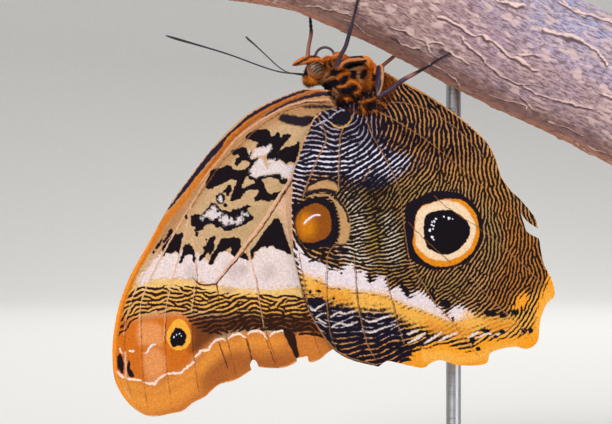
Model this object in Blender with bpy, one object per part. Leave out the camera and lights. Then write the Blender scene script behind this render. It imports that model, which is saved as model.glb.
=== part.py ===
"""An owl butterfly hanging by its legs under a cut length of branch, on a plain display stand.

Metres, +Z up. The butterfly's plane of symmetry is Y = 0, its head is towards -X, and its right
side, which is the near one, is towards -Y. It hangs upside down, so its back is below and its
closed wings hang under it. The origin is at the middle of the underside of the stand's base.

The side view is drawn on the plane of symmetry in drawing units, x to the right and y down. The
function drawn() turns them into metres, and the forewing's real length sets their size.
"""

import math

import bmesh
import bpy
import numpy as np
from mathutils import Vector
from mathutils.geometry import delaunay_2d_cdt

# Driving dimensions
MM = 0.001
FOREWING_LENGTH = 78.5 * MM  # from the hinge to the tip
GAP = 0.3 * MM  # between pieces that meet
WING_THICKNESS = 0.5 * MM
VEIN_RISE = 0.18 * MM  # how far a vein stands out of each face of the membrane
VEIN_HALF_WIDTH = 0.5 * MM
BRANCH_RADIUS = 14.15 * MM
BRANCH_DEPTH = 2.0 * MM  # how far its middle line is behind the plane of symmetry
BARK_RELIEF = 0.22 * MM
BASE_SIZE = (86 * MM, 60 * MM, 8 * MM)
BASE_CORNER = 9 * MM
BASE_EDGE = 1.0 * MM
ROD_RADIUS = 1.6 * MM
ROD_FOOT_RADIUS = 4.5 * MM
ROD_FOOT_HEIGHT = 1.4 * MM
ROD_PLACE = (17.0 * MM, 10.5 * MM)

# The drawing: how long the forewing is in it, and where the origin lies
DRAWN_FOREWING = 374.0
DRAWN_ORIGIN = (376.0, 482.4)
SCALE = FOREWING_LENGTH / DRAWN_FOREWING

# Wing margins, as runs of points that meet at corners
FOREWING_FRONT = (
    (352, 97), (330, 91), (305, 89.5), (290, 94), (270, 102), (250, 112.5), (230, 129), (210, 151),
    (190, 177), (170, 205), (150, 241), (140, 258.5), (130, 277), (120, 303), (114.5, 330),
    (112.8, 352), (114.5, 376), (121, 392), (131.5, 405.5), (144, 414), (156, 416), (174.5, 412.5),
)
FOREWING_OUTER = (
    (174.5, 412.5), (183, 410.5), (194, 402), (205, 396.5), (219, 384.5), (236, 379.5), (251, 370),
)
FOREWING_NOTCH = ((251, 370), (250, 364.5), (253, 359.5), (256.5, 361.5), (259, 367))
FOREWING_STEP = ((259, 367), (277, 368), (288, 366), (296.5, 361.5), (297, 358), (307.5, 356))
FOREWING_REAR = (
    (307.5, 356), (310, 362), (320, 359), (329, 351.5), (345, 341), (358, 328), (364, 308),
)
FOREWING_INNER = ((364, 308), (365, 250), (362, 190), (358, 140), (356, 110))

HINDWING_FRONT = (
    (356, 103), (343, 108), (321, 112.5), (313, 120), (307, 134), (301, 149), (296, 165), (292, 182),
    (291, 213), (293, 248), (300, 281), (309, 311), (321, 333), (334, 349.5), (352, 359.5),
    (378, 366),
)
HINDWING_LOWER = (
    (378, 366), (387, 360.5), (400, 363), (422, 367.5), (431, 362.5), (441, 360), (459, 365),
    (485, 363.5), (491, 352), (513, 346.5), (527, 348.5), (537, 341), (540, 320), (546, 304),
    (554, 295), (551, 279), (543, 263), (538.5, 238.5),
)
HINDWING_TEAR = ((538.5, 238.5), (527, 232), (523, 222), (520, 213))
HINDWING_TAG = ((520, 213), (527, 221.5), (537.5, 228.5))
HINDWING_WORN = ((538.5, 238.5), (526, 232), (519, 220), (516, 206), (511, 194))
HINDWING_OUTER_TORN = ((537.5, 228.5), (534, 217), (520, 199.5))
HINDWING_ANAL = (
    (511, 191.5), (501, 177), (495, 158), (486, 142), (470, 126), (450, 110.5), (425, 94),
    (400, 81), (384, 73),
)
HINDWING_ROOT = ((384, 73), (374, 88), (356, 103))

FOREWING_VEINS = {
    "subcosta": ((330, 96), (300, 97.5), (272, 108), (248, 124), (226, 145), (205, 170), (184, 200),
                 (166, 230), (152, 254)),
    "radius": ((332, 101), (300, 104), (275, 114), (250, 132), (228, 152), (208, 177), (192, 203),
               (177, 229), (163, 254), (150, 280), (141, 306), (141, 345), (143, 380), (147, 408)),
    "radial_branch": ((177, 229), (158, 252), (142, 278), (130, 307), (124, 335), (125, 370),
                      (131, 399)),
    "first_medial": ((192, 203), (185, 234), (178, 260), (171, 287), (166, 313), (164.5, 343),
                     (167, 375), (172, 407)),
    "second_medial": ((187, 226), (196, 250), (196.5, 281), (192, 315), (192.5, 350), (199, 394)),
    "cell_end": ((196.5, 281), (206, 284.5), (215.6, 283.6)),
    "cubital_stem": ((338, 106), (324, 126), (306, 154), (284, 190), (262, 224), (238, 256),
                     (215.6, 283.6)),
    "third_medial": ((215.6, 283.6), (217.5, 300), (222, 322), (228, 346), (236, 375)),
    "first_cubital": ((248, 243), (253, 268), (259, 300), (265, 330), (276, 363)),
    "second_cubital": ((284, 190), (287, 222), (292, 252), (300, 288), (309, 322), (319, 354)),
    "anal": ((346, 116), (338, 150), (335, 200), (338, 260), (348, 320)),
}
HINDWING_VEINS = {
    "subcosta": ((350, 111), (336, 124), (325, 141), (317, 158), (309, 178), (302, 200), (298.5, 225),
                 (300, 250), (305, 280), (312, 306)),
    "radial": ((357, 112), (346, 122), (339.5, 137), (338.5, 165), (338.5, 195), (334, 232),
               (327.5, 256), (326, 290), (328, 318), (333, 337), (341, 350)),
    "first_medial": ((338.5, 190), (346, 210), (352, 232), (354, 262), (356, 293), (360, 318),
                     (369, 342), (377, 360)),
    "second_medial": ((397, 184), (392, 215), (383, 250), (386, 280), (393, 310), (402, 340),
                      (408, 360)),
    "cell": ((363, 110), (370, 132), (384, 158), (397, 184)),
    "third_medial": ((397, 184), (402, 215), (410, 250), (425, 285), (447, 316), (466, 340),
                     (479, 359)),
    "first_cubital": ((402, 215), (424, 238), (449, 262), (478, 288), (507, 314), (533, 340)),
    "second_cubital": ((397, 184), (420, 193), (450, 209), (478, 227), (505, 249), (530, 272),
                       (549, 292)),
    "second_anal": ((368, 108), (391, 119), (422, 138), (455, 163), (486, 190), (513, 216)),
    "third_anal": ((377, 104), (404, 104), (432, 113), (460, 133), (483, 157), (496, 181)),
}

# The hinges, where the wings are furthest from the plane of symmetry
FOREWING_HINGE = (344, 102)
HINDWING_HINGE = (364, 107)
FOREWING_NEAR = 0.8 * MM
FOREWING_SPREAD = 2.6 * MM
SPREAD_FADE = 9.0 * MM
HINDWING_OVER = 1.3 * MM  # how much further out the hindwing lies than the forewing
HINDWING_NEAR = 0.85 * MM
ABDOMEN_CLEAR = 0.95 * MM  # from the abdomen's side to the middle of the hindwing that passes it
CLOSING = (372, 425)  # between these the hindwings close in on each other

# Body: stations along the middle line, each (x, y, half height, half width), heights in mm
THORAX = (
    (325.5, 76, 1.3, 1.2), (329, 77, 3.2, 2.5), (337, 79, 5.0, 3.7), (348, 82, 5.7, 4.4),
    (359, 85.5, 5.7, 4.5), (370, 89.5, 4.9, 4.0), (378, 92.5, 3.7, 3.1), (383, 94, 2.0, 1.7),
)
ABDOMEN = (
    (380, 94.5, 1.4, 1.4), (384, 97, 2.3, 2.3), (395, 104, 2.75, 2.65), (412, 114.5, 2.9, 2.75),
    (430, 126, 2.6, 2.5), (446, 136, 2.1, 2.0), (459, 144.5, 1.5, 1.35), (466, 149, 0.6, 0.5),
)
HINGE_LOBES = ((FOREWING_HINGE, 2.3, 2.2), (HINDWING_HINGE, 2.5, 2.0))  # place, depth, radius in mm
HEAD_CENTRE = (314.5, 74)
HEAD_RADII = (2.6 * MM, 2.05 * MM, 2.75 * MM)
EYE_CENTRE = (315.5, 70.5)
EYE_DEPTH = 1.9 * MM
EYE_RADII = (1.85 * MM, 1.35 * MM, 1.85 * MM)

# Limbs and feelers of the right side: (x, y, depth outwards in mm, radius in mm)
PALP = (
    (323.5, 65, 1.45, 0.6), (317, 60, 1.45, 0.85), (307, 60, 1.3, 0.82), (299, 62.8, 1.1, 0.6),
    (292.5, 66.8, 0.95, 0.25),
)
FORELEG = (
    (352, 68, 1.6, 0.7), (344, 59, 2.5, 0.85), (337, 56, 2.6, 0.8), (332.5, 59.5, 2.4, 0.5),
)
MIDLEG_RIGHT = (
    (373, 68, 2.0, 0.75), (366, 60.5, 3.6, 0.8), (350, 61.5, 4.8, 0.75), (335, 70.5, 5.6, 0.55),
    (339.5, 58.5, 6.0, 0.45), (345, 49.5, 6.6, 0.45), (350, 31.5, 7.2, 0.42),
)
MIDLEG_LEFT = (
    (350, 70, 2.0, 0.7), (334, 66, 4.4, 0.7), (307.5, 57, 5.6, 0.5), (308.5, 45, 6.2, 0.42),
    (311.5, 30, 7.0, 0.42),
)
HINDLEG_RIGHT = (
    (374, 76, 1.6, 0.8), (380, 68, 3.6, 0.8), (379, 82, 5.4, 0.8), (376.5, 98.5, 6.4, 0.55),
    (389.5, 91.5, 7.0, 0.5), (400.5, 82.5, 7.4, 0.5), (412, 76.5, 7.8, 0.42),
)
HINDLEG_LEFT = (
    (374, 76, 1.5, 0.8), (371.5, 77.5, 5.0, 0.7), (370, 79, 8.2, 0.5), (383, 64, 7.2, 0.42),
    (396.5, 53, 7.2, 0.4),
)
# Where each foot runs along the bark, seen from the side, and on which face of the branch
FEET = {
    "midleg_right": (MIDLEG_RIGHT, -1, ((353.5, 18), (356.5, 5), (359.5, -8))),
    "midleg_left": (MIDLEG_LEFT, 1, ((309.5, 4), (313, -9), (318, -21))),
    "hindleg_right": (HINDLEG_RIGHT, -1, ((425.5, 68.5), (437.5, 61.5), (448, 56))),
    "hindleg_left": (HINDLEG_LEFT, 1, ((407, 44), (417, 37), (427, 31))),
}
TARSUS_RADIUS = 0.27 * MM
CLAW_RADIUS = 0.14 * MM
KNEE_BEND = 0.9 * MM
PALP_BEND = 2.0 * MM
FORELEG_BEND = 1.5 * MM

ANTENNA_RIGHT = (
    (306, 75, 0.8, 0.35), (296, 74, 1.4, 0.25), (281, 73.2, 2.4, 0.25), (262, 67.8, 3.6, 0.25),
    (230, 56, 5.2, 0.25), (198, 47, 6.6, 0.3), (178, 41.5, 7.4, 0.45), (168, 38.5, 7.9, 0.3),
)
ANTENNA_LEFT = (
    (306, 75, 0.8, 0.35), (297, 73.6, 1.8, 0.25), (287, 71.2, 4.2, 0.25), (278, 64.5, 8.0, 0.25),
    (262, 47.5, 14.5, 0.25), (251, 36, 19.2, 0.3), (245.5, 30.5, 22.0, 0.45), (242.5, 27.5, 23.4, 0.3),
)
PROBOSCIS_CENTRE = (325.5, 57)
PROBOSCIS_RADII = (2.15 * MM, 1.35 * MM)
PROBOSCIS_TURN = (math.radians(205), math.radians(-175))
PROBOSCIS_THICK = (0.32 * MM, 0.25 * MM)

# Branch: its middle line in the drawing
BRANCH_LINE = (
    (200, -70), (246, -67), (282, -62), (318, -53), (362, -35.5), (409, -14), (470, 18.5), (530, 49),
    (590, 76), (643, 104), (690, 130),
)
BRANCH_CUTS = (228.0, 640.0)  # its two ends are sawn upright
BRANCH_SIDES = 22
BRANCH_RING_SPACING = 4.5 * MM

# Fineness of the meshes
MARGIN_SPACING = 1.7 * MM
VEIN_SPACING = 5.0 * MM
MEMBRANE_SPACING = 7.5 * MM
LEAST_SPACING = 0.38 * MM
BODY_SIDES = 20
BODY_SPACING = 1.15 * MM
ABDOMEN_SIDES = 16
ROD_SIDES = 24
COIL_STEPS = 22
LIMB_SIDES = 8
FEELER_SIDES = 6


def drawn(x, y):
    """A point of the drawing as (X, Z) in metres."""
    return np.array([(x - DRAWN_ORIGIN[0]) * SCALE, (DRAWN_ORIGIN[1] - y) * SCALE])


def placed(x, y, depth):
    """A point of the drawing at this Y, as a vector in metres."""
    across, up = drawn(x, y)
    return Vector((across, depth, up))


def smooth_line(points, steps=8):
    """A Catmull-Rom line through the points, whose ends are its own."""
    points = np.asarray(points, float)
    ends = (2 * points[0] - points[1], 2 * points[-1] - points[-2])
    padded = np.vstack([ends[0], points, ends[1]])
    line = []
    for before, start, end, after in zip(padded, padded[1:], padded[2:], padded[3:]):
        for step in range(steps):
            t = step / steps
            line.append(0.5 * (
                2 * start + (end - before) * t
                + (2 * before - 5 * start + 4 * end - after) * t ** 2
                + (3 * start - before - 3 * end + after) * t ** 3
            ))
    line.append(points[-1])
    return np.array(line)


def evenly(line, spacing):
    """The line's points again, at even steps of about this spacing, both ends kept."""
    lengths = np.concatenate([[0], np.cumsum(np.linalg.norm(np.diff(line, axis=0), axis=1))])
    count = max(1, round(lengths[-1] / spacing))
    at = np.linspace(0, lengths[-1], count + 1)
    return np.column_stack([np.interp(at, lengths, line[:, axis]) for axis in range(line.shape[1])])


def margin(runs, spacing=MARGIN_SPACING):
    """A closed wing margin in metres, from runs of drawn points that meet at corners."""
    pieces = []
    for run in runs:
        line = smooth_line([drawn(*point) for point in run])
        pieces.append(evenly(line, spacing)[:-1])
    return np.vstack(pieces)


def inside(points, outline):
    """Whether each point lies within the closed outline."""
    points = np.atleast_2d(points)
    starts, ends = outline, np.roll(outline, -1, axis=0)
    found = np.zeros(len(points), bool)
    for (x0, z0), (x1, z1) in zip(starts, ends):
        crosses = (z0 > points[:, 1]) != (z1 > points[:, 1])
        if z0 != z1:
            meets = x0 + (points[:, 1] - z0) / (z1 - z0) * (x1 - x0)
            found ^= crosses & (points[:, 0] < meets)
    return found


def distance_to_line(points, line):
    """How far each point is from a polyline."""
    points = np.atleast_2d(points)
    best = np.full(len(points), np.inf)
    for start, end in zip(line, line[1:]):
        along = end - start
        share = np.clip((points - start) @ along / max(along @ along, 1e-18), 0, 1)
        best = np.minimum(best, np.linalg.norm(points - start - share[:, None] * along, axis=1))
    return best


def smooth_step(value, low, high):
    """0 below low, 1 above high, and an even rise between."""
    share = np.clip((value - low) / (high - low), 0, 1)
    return share * share * (3 - 2 * share)


def forewing_depth(points):
    """How far the middle of a forewing's membrane is from the plane of symmetry."""
    reach = np.linalg.norm(points - drawn(*FOREWING_HINGE), axis=1)
    return FOREWING_NEAR + FOREWING_SPREAD * np.exp(-reach / SPREAD_FADE)


def abdomen_room(points):
    """How far out a hindwing has to lie to pass round the abdomen."""
    stations = np.array([[*drawn(x, y), wide * MM] for x, y, _, wide in ABDOMEN])
    line = evenly(stations, 1.5 * MM)
    apart = np.linalg.norm(points[:, None, :] - line[None, :, :2], axis=2)
    radius = line[:, 2] + ABDOMEN_CLEAR
    return (radius * np.exp(-((apart / (1.4 * radius)) ** 4))).max(axis=1)


def hindwing_depth(points):
    """How far the middle of a hindwing's membrane is from the plane of symmetry."""
    over = forewing_depth(points) + HINDWING_OVER
    closing = smooth_step(points[:, 0], drawn(CLOSING[0], 0)[0], drawn(CLOSING[1], 0)[0])
    flat = over * (1 - closing) + HINDWING_NEAR * closing
    return (flat ** 4 + abdomen_room(points) ** 4) ** 0.25


def wing_points(outline, veins):
    """The points of a wing's membrane and the edges that its triangles keep, in the plane of the drawing."""
    points = list(outline)
    edges = [(i, (i + 1) % len(outline)) for i in range(len(outline))]

    def room(point, least):
        return np.linalg.norm(np.array(points) - point, axis=1).min() > least

    crests = [evenly(smooth_line([drawn(*p) for p in vein]), VEIN_SPACING) for vein in veins.values()]
    for crest in crests:
        last = None
        for point in crest:
            near = np.linalg.norm(np.array(points) - point, axis=1)
            index = int(near.argmin())
            if near[index] > LEAST_SPACING:
                if not inside(point, outline)[0]:
                    last = None
                    continue
                points.append(point)
                index = len(points) - 1
            elif index < len(outline):
                last = None
                continue
            if last is not None and last != index:
                edges.append((last, index))
            last = index
    for crest in crests:
        along = np.gradient(crest, axis=0)
        normals = np.column_stack([-along[:, 1], along[:, 0]])
        normals /= np.linalg.norm(normals, axis=1)[:, None]
        for side in (-1, 1):
            for foot in crest + side * VEIN_HALF_WIDTH * normals:
                if room(foot, LEAST_SPACING) and inside(foot, outline)[0]:
                    points.append(foot)
    low, high = outline.min(axis=0), outline.max(axis=0)
    for x in np.arange(low[0], high[0], MEMBRANE_SPACING):
        for z in np.arange(low[1], high[1], MEMBRANE_SPACING):
            point = np.array([x, z])
            if inside(point, outline)[0] and room(point, 0.4 * MEMBRANE_SPACING):
                points.append(point)
    return np.array(points), edges, crests


def wing(name, runs, veins, depth, side):
    """One wing: a membrane whose veins are ridges in its own two faces. side is -1 on the right."""
    points, edges, crests = wing_points(margin(runs), veins)
    flat = delaunay_2d_cdt([Vector(p) for p in points], edges, [], 1, 1e-7)
    corners = np.array([tuple(p) for p in flat[0]])
    faces = [tuple(face) for face in flat[2]]
    middle = depth(corners)
    off_vein = np.min([distance_to_line(corners, crest) for crest in crests], axis=0)
    rise = VEIN_RISE * np.clip(1 - off_vein / (0.9 * VEIN_HALF_WIDTH), 0, 1)
    half = WING_THICKNESS / 2 + rise

    mesh = bmesh.new()
    outer = [mesh.verts.new((x, side * (m + h), z)) for (x, z), m, h in zip(corners, middle, half)]
    inner = [mesh.verts.new((x, side * (m - h), z)) for (x, z), m, h in zip(corners, middle, half)]
    directed = set()
    for a, b, c in faces:
        mesh.faces.new((outer[a], outer[b], outer[c]))
        mesh.faces.new((inner[c], inner[b], inner[a]))
        directed |= {(a, b), (b, c), (c, a)}
    for a, b in sorted(directed):
        if (b, a) not in directed:
            mesh.faces.new((outer[b], outer[a], inner[a], inner[b]))
    return finished(name, mesh)


def finished(name, mesh, smooth=True):
    """The bmesh as an object, its faces pointing out and its round parts shaded smooth."""
    loose = [vert for vert in mesh.verts if not vert.link_faces]
    bmesh.ops.delete(mesh, geom=loose, context="VERTS")
    bmesh.ops.recalc_face_normals(mesh, faces=mesh.faces)
    data = bpy.data.meshes.new(name)
    mesh.to_mesh(data)
    mesh.free()
    if smooth:
        data.shade_smooth()
        data.set_sharp_from_angle(angle=math.radians(50))
    obj = bpy.data.objects.new(name, data)
    bpy.context.scene.collection.objects.link(obj)
    return obj


def loft(name, rings):
    """A closed body through rings of as many points each, with flat ends."""
    mesh = bmesh.new()
    loops = [[mesh.verts.new(point) for point in ring] for ring in rings]
    for first, second in zip(loops, loops[1:]):
        for i, vert in enumerate(first):
            j = (i + 1) % len(first)
            mesh.faces.new((vert, first[j], second[j], second[i]))
    mesh.faces.new(loops[0])
    mesh.faces.new(loops[-1])
    return finished(name, mesh)


def body_loft(name, stations, sides=BODY_SIDES, grow=0.0):
    """A body segment with oval sections square to its own middle line. grow makes it fatter all round."""
    values = np.array([[*drawn(x, y), tall * MM, wide * MM] for x, y, tall, wide in stations])
    line = evenly(smooth_line(values, 4), BODY_SPACING)
    along = np.gradient(line[:, :2], axis=0)
    along /= np.linalg.norm(along, axis=1)[:, None]
    line[0, :2] -= grow * along[0]
    line[-1, :2] += grow * along[-1]
    rings = []
    for (x, z, tall, wide), (ax, az) in zip(line, along):
        ring = []
        for step in range(sides):
            angle = math.tau * step / sides
            up = (tall + grow) * math.cos(angle)
            ring.append((x - az * up, (wide + grow) * math.sin(angle), z + ax * up))
        rings.append(ring)
    return loft(name, rings)


def ball(name, centre, radii, segments=16, rings=10):
    """An ellipsoid."""
    mesh = bmesh.new()
    bmesh.ops.create_uvsphere(mesh, u_segments=segments, v_segments=rings, radius=1.0)
    bmesh.ops.scale(mesh, vec=radii, verts=mesh.verts)
    bmesh.ops.translate(mesh, vec=centre, verts=mesh.verts)
    return finished(name, mesh)


def bent_path(points, bend, steps=4):
    """The path (x, y, z, radius) with each corner turned along a short curve."""
    points = np.asarray(points, float)
    path = [points[0]]
    for before, corner, after in zip(points, points[1:], points[2:]):
        reach_in = min(bend, 0.45 * np.linalg.norm((corner - before)[:3]))
        reach_out = min(bend, 0.45 * np.linalg.norm((after - corner)[:3]))
        start = corner + (before - corner) * reach_in / np.linalg.norm((corner - before)[:3])
        end = corner + (after - corner) * reach_out / np.linalg.norm((after - corner)[:3])
        for step in range(steps + 1):
            t = step / steps
            path.append((1 - t) ** 2 * start + 2 * t * (1 - t) * corner + t ** 2 * end)
    path.append(points[-1])
    return np.array(path)


def tube(name, path, sides, grow=0.0):
    """A round limb along a path of (x, y, z, radius), its rings turning as little as they can."""
    centres = [Vector(point[:3]) for point in path]
    across = None
    rings = []
    for i, centre in enumerate(centres):
        along = (centres[min(i + 1, len(centres) - 1)] - centres[max(i - 1, 0)]).normalized()
        if across is None:
            across = along.orthogonal().normalized()
        across = (across - along * across.dot(along)).normalized()
        other = along.cross(across)
        radius = float(path[i][3]) + grow
        ring = []
        for step in range(sides):
            angle = math.tau * step / sides
            ring.append(centre + radius * (math.cos(angle) * across + math.sin(angle) * other))
        rings.append(ring)
    return loft(name, rings)


def applied(obj):
    """The object with its modifiers applied and doubled points merged."""
    graph = bpy.context.evaluated_depsgraph_get()
    data = bpy.data.meshes.new_from_object(obj.evaluated_get(graph))
    obj.modifiers.clear()
    obj.data = data
    return obj


def combine(obj, others, operation):
    """Joins the other bodies to the object, or cuts them from it, and removes them."""
    group = bpy.data.collections.new(obj.name + "_tools")
    bpy.context.scene.collection.children.link(group)
    for other in others:
        group.objects.link(other)
    modifier = obj.modifiers.new(operation.title(), "BOOLEAN")
    modifier.operation = operation
    modifier.operand_type = "COLLECTION"
    modifier.collection = group
    modifier.solver = "EXACT"
    applied(obj)
    for other in list(others):
        bpy.data.objects.remove(other)
    bpy.data.collections.remove(group)
    return obj


def largest_body(obj):
    """Keeps only the object's largest closed surface."""
    mesh = bmesh.new()
    mesh.from_mesh(obj.data)
    bmesh.ops.remove_doubles(mesh, verts=mesh.verts, dist=1e-7)
    mesh.verts.ensure_lookup_table()
    left = set(mesh.verts)
    bodies = []
    while left:
        stack = [left.pop()]
        body = set(stack)
        while stack:
            for edge in stack.pop().link_edges:
                for vert in edge.verts:
                    if vert in left:
                        left.discard(vert)
                        body.add(vert)
                        stack.append(vert)
        bodies.append(body)
    keep = max(bodies, key=len)
    bmesh.ops.delete(mesh, geom=[vert for vert in mesh.verts if vert not in keep], context="VERTS")
    mesh.to_mesh(obj.data)
    mesh.free()
    return obj


def thorax(grow=0.0):
    """The thorax with the swellings that carry the wing hinges."""
    body = body_loft("thorax", THORAX, grow=grow)
    lobes = []
    for place, depth, radius in HINGE_LOBES:
        for side in (-1, 1):
            size = radius * MM + grow
            lobes.append(ball("lobe", placed(*place, side * depth * MM), (size, size, size), 12, 8))
    return combine(body, lobes, "UNION")


def abdomen():
    """The abdomen, with its segments left to the finish."""
    return body_loft("abdomen", ABDOMEN, sides=ABDOMEN_SIDES)


def eye(name, side, grow=0.0):
    """One compound eye, set into the side of the head."""
    radii = [radius + grow for radius in EYE_RADII]
    return ball(name, placed(*EYE_CENTRE, side * EYE_DEPTH), radii, 18, 12)


def head(grow=0.0):
    """The head without its eyes."""
    radii = [radius + grow for radius in HEAD_RADII]
    return ball("head", placed(*HEAD_CENTRE, 0), radii, 18, 12)


def limb_path(stations, side):
    """Stations of (x, y, depth, radius) as a path in metres."""
    path = []
    for x, y, depth, radius in stations:
        path.append((*placed(x, y, side * depth * MM), radius * MM))
    return path


def branch_line():
    """The branch's middle line in metres, evenly spaced, from beyond one cut to beyond the other."""
    return evenly(smooth_line([drawn(*point) for point in BRANCH_LINE]), 0.5 * MM)


def on_bark(x, y, side, lift):
    """The point over this place of the drawing that stands this far off the bark, on one face."""
    place = drawn(x, y)
    off = distance_to_line(place, branch_line())[0]
    reach = math.sqrt((BRANCH_RADIUS + lift) ** 2 - off ** 2)
    return placed(x, y, BRANCH_DEPTH + side * reach)


def leg(name):
    """A walking leg from the thorax to its foot, which lies along the bark."""
    stations, face, foot = FEET[name]
    side = -1 if name.endswith("right") else 1
    path = limb_path(stations, side)
    for number, (x, y) in enumerate(foot):
        last = number == len(foot) - 1
        radius = CLAW_RADIUS if last else TARSUS_RADIUS
        lift = GAP + 1.2 * BARK_RELIEF + radius
        path.append((*on_bark(x, y, face, lift), radius))
    return tube(name, bent_path(path, KNEE_BEND), LIMB_SIDES)


def branch(grow=0.0):
    """A cut length of branch with shallow ribs and swellings in its bark."""
    line = evenly(branch_line(), BRANCH_RING_SPACING)
    along = np.gradient(line, axis=0)
    along /= np.linalg.norm(along, axis=1)[:, None]
    rings = []
    for number, ((x, z), (ax, az)) in enumerate(zip(line, along)):
        ring = []
        for step in range(BRANCH_SIDES):
            angle = math.tau * step / BRANCH_SIDES
            ribs = math.sin(3 * angle + 0.35 * number) + math.sin(5 * angle - 0.6 * number)
            radius = BRANCH_RADIUS + grow + 0.5 * BARK_RELIEF * ribs
            up = radius * math.cos(angle)
            ring.append((x - az * up, BRANCH_DEPTH + radius * math.sin(angle), z + ax * up))
        rings.append(ring)
    trunk = loft("perch_branch", rings)
    low, high = (drawn(cut, 0)[0] for cut in BRANCH_CUTS)
    for place, way in ((low - grow, -1), (high + grow, 1)):
        saw_upright(trunk, place, way)
    return trunk


def saw_upright(obj, x, way):
    """Takes off what lies beyond the upright plane at x, and closes the cut. way is 1 or -1 along X."""
    mesh = bmesh.new()
    mesh.from_mesh(obj.data)
    everything = list(mesh.verts) + list(mesh.edges) + list(mesh.faces)
    cut = bmesh.ops.bisect_plane(
        mesh, geom=everything, plane_co=(x, 0, 0), plane_no=(way, 0, 0), clear_outer=True
    )
    rim = [item for item in cut["geom_cut"] if isinstance(item, bmesh.types.BMEdge)]
    bmesh.ops.holes_fill(mesh, edges=rim, sides=0)
    bmesh.ops.recalc_face_normals(mesh, faces=mesh.faces)
    mesh.to_mesh(obj.data)
    mesh.free()


def proboscis():
    """The coiled tongue, whose top shows over the palps."""
    centre = placed(*PROBOSCIS_CENTRE, 0)
    path = []
    for step in range(COIL_STEPS + 1):
        share = step / COIL_STEPS
        angle = PROBOSCIS_TURN[0] + share * (PROBOSCIS_TURN[1] - PROBOSCIS_TURN[0])
        radius = PROBOSCIS_RADII[0] + share ** 1.5 * (PROBOSCIS_RADII[1] - PROBOSCIS_RADII[0])
        thick = PROBOSCIS_THICK[0] + share * (PROBOSCIS_THICK[1] - PROBOSCIS_THICK[0])
        offset = Vector((radius * math.cos(angle), 0, radius * math.sin(angle)))
        path.append((*(centre + offset), thick))
    return tube("proboscis", path, LIMB_SIDES)


def stand_base():
    """A flat wooden base with round corners and an eased top edge."""
    wide, deep, high = BASE_SIZE
    mesh = bmesh.new()
    bmesh.ops.create_cube(mesh, size=1.0)
    bmesh.ops.scale(mesh, vec=BASE_SIZE, verts=mesh.verts)
    bmesh.ops.translate(mesh, vec=(0, 0, high / 2), verts=mesh.verts)
    upright = [e for e in mesh.edges if abs(e.verts[0].co.z - e.verts[1].co.z) > high / 2]
    bmesh.ops.bevel(mesh, geom=upright, offset=BASE_CORNER, segments=8, profile=0.5, affect="EDGES")
    top = [e for e in mesh.edges if min(v.co.z for v in e.verts) > high - 1e-6]
    bmesh.ops.bevel(mesh, geom=top, offset=BASE_EDGE, segments=3, profile=0.5, affect="EDGES")
    return finished("stand_base", mesh)


def stand_rod():
    """A metal rod with a turned foot, which ends against the underside of the branch."""
    x, y = ROD_PLACE
    floor = BASE_SIZE[2] + GAP
    middle = branch_line()
    top = float(np.interp(x, middle[:, 0], middle[:, 1]))
    profile = (
        (ROD_FOOT_RADIUS, floor),
        (ROD_FOOT_RADIUS, floor + 0.6 * ROD_FOOT_HEIGHT),
        (0.85 * ROD_FOOT_RADIUS, floor + ROD_FOOT_HEIGHT),
        (1.35 * ROD_RADIUS, floor + 1.3 * ROD_FOOT_HEIGHT),
        (ROD_RADIUS, floor + 2.2 * ROD_FOOT_HEIGHT),
        (ROD_RADIUS, top),
    )
    turn = [math.tau * step / ROD_SIDES for step in range(ROD_SIDES)]
    rings = [[(x + r * math.cos(a), y + r * math.sin(a), z) for a in turn] for r, z in profile]
    return combine(loft("stand_rod", rings), [branch(GAP)], "DIFFERENCE")


def material(name, colour, roughness, metallic=0.0):
    """A plain surface of one colour, given as red, green and blue from 0 to 1."""
    made = bpy.data.materials.new(name)
    made.use_nodes = True
    shader = made.node_tree.nodes["Principled BSDF"]
    shader.inputs["Base Color"].default_value = (*colour, 1)
    shader.inputs["Roughness"].default_value = roughness
    shader.inputs["Metallic"].default_value = metallic
    made.diffuse_color = (*colour, 1)
    return made


def clear_scene():
    """Removes whatever the scene holds."""
    for obj in list(bpy.data.objects):
        bpy.data.objects.remove(obj)


def forewing_runs():
    """The forewing's margin, run by run, from the hinge out along its front edge."""
    root = ((356, 110), (352, 97))
    return (
        FOREWING_FRONT, FOREWING_OUTER, FOREWING_NOTCH, FOREWING_STEP, FOREWING_REAR,
        FOREWING_INNER, root,
    )


def hindwing_runs(side):
    """The hindwing's margin. The near one is torn through at its edge, the far one only worn there."""
    if side < 0:
        bridge = ((520, 199.5), (511, 191.5))
        edge = (HINDWING_TEAR, HINDWING_TAG, HINDWING_OUTER_TORN, bridge)
    else:
        edge = (HINDWING_WORN, ((511, 194), (511, 191.5)))
    return (HINDWING_FRONT, HINDWING_LOWER, *edge, HINDWING_ANAL, HINDWING_ROOT)


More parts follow.
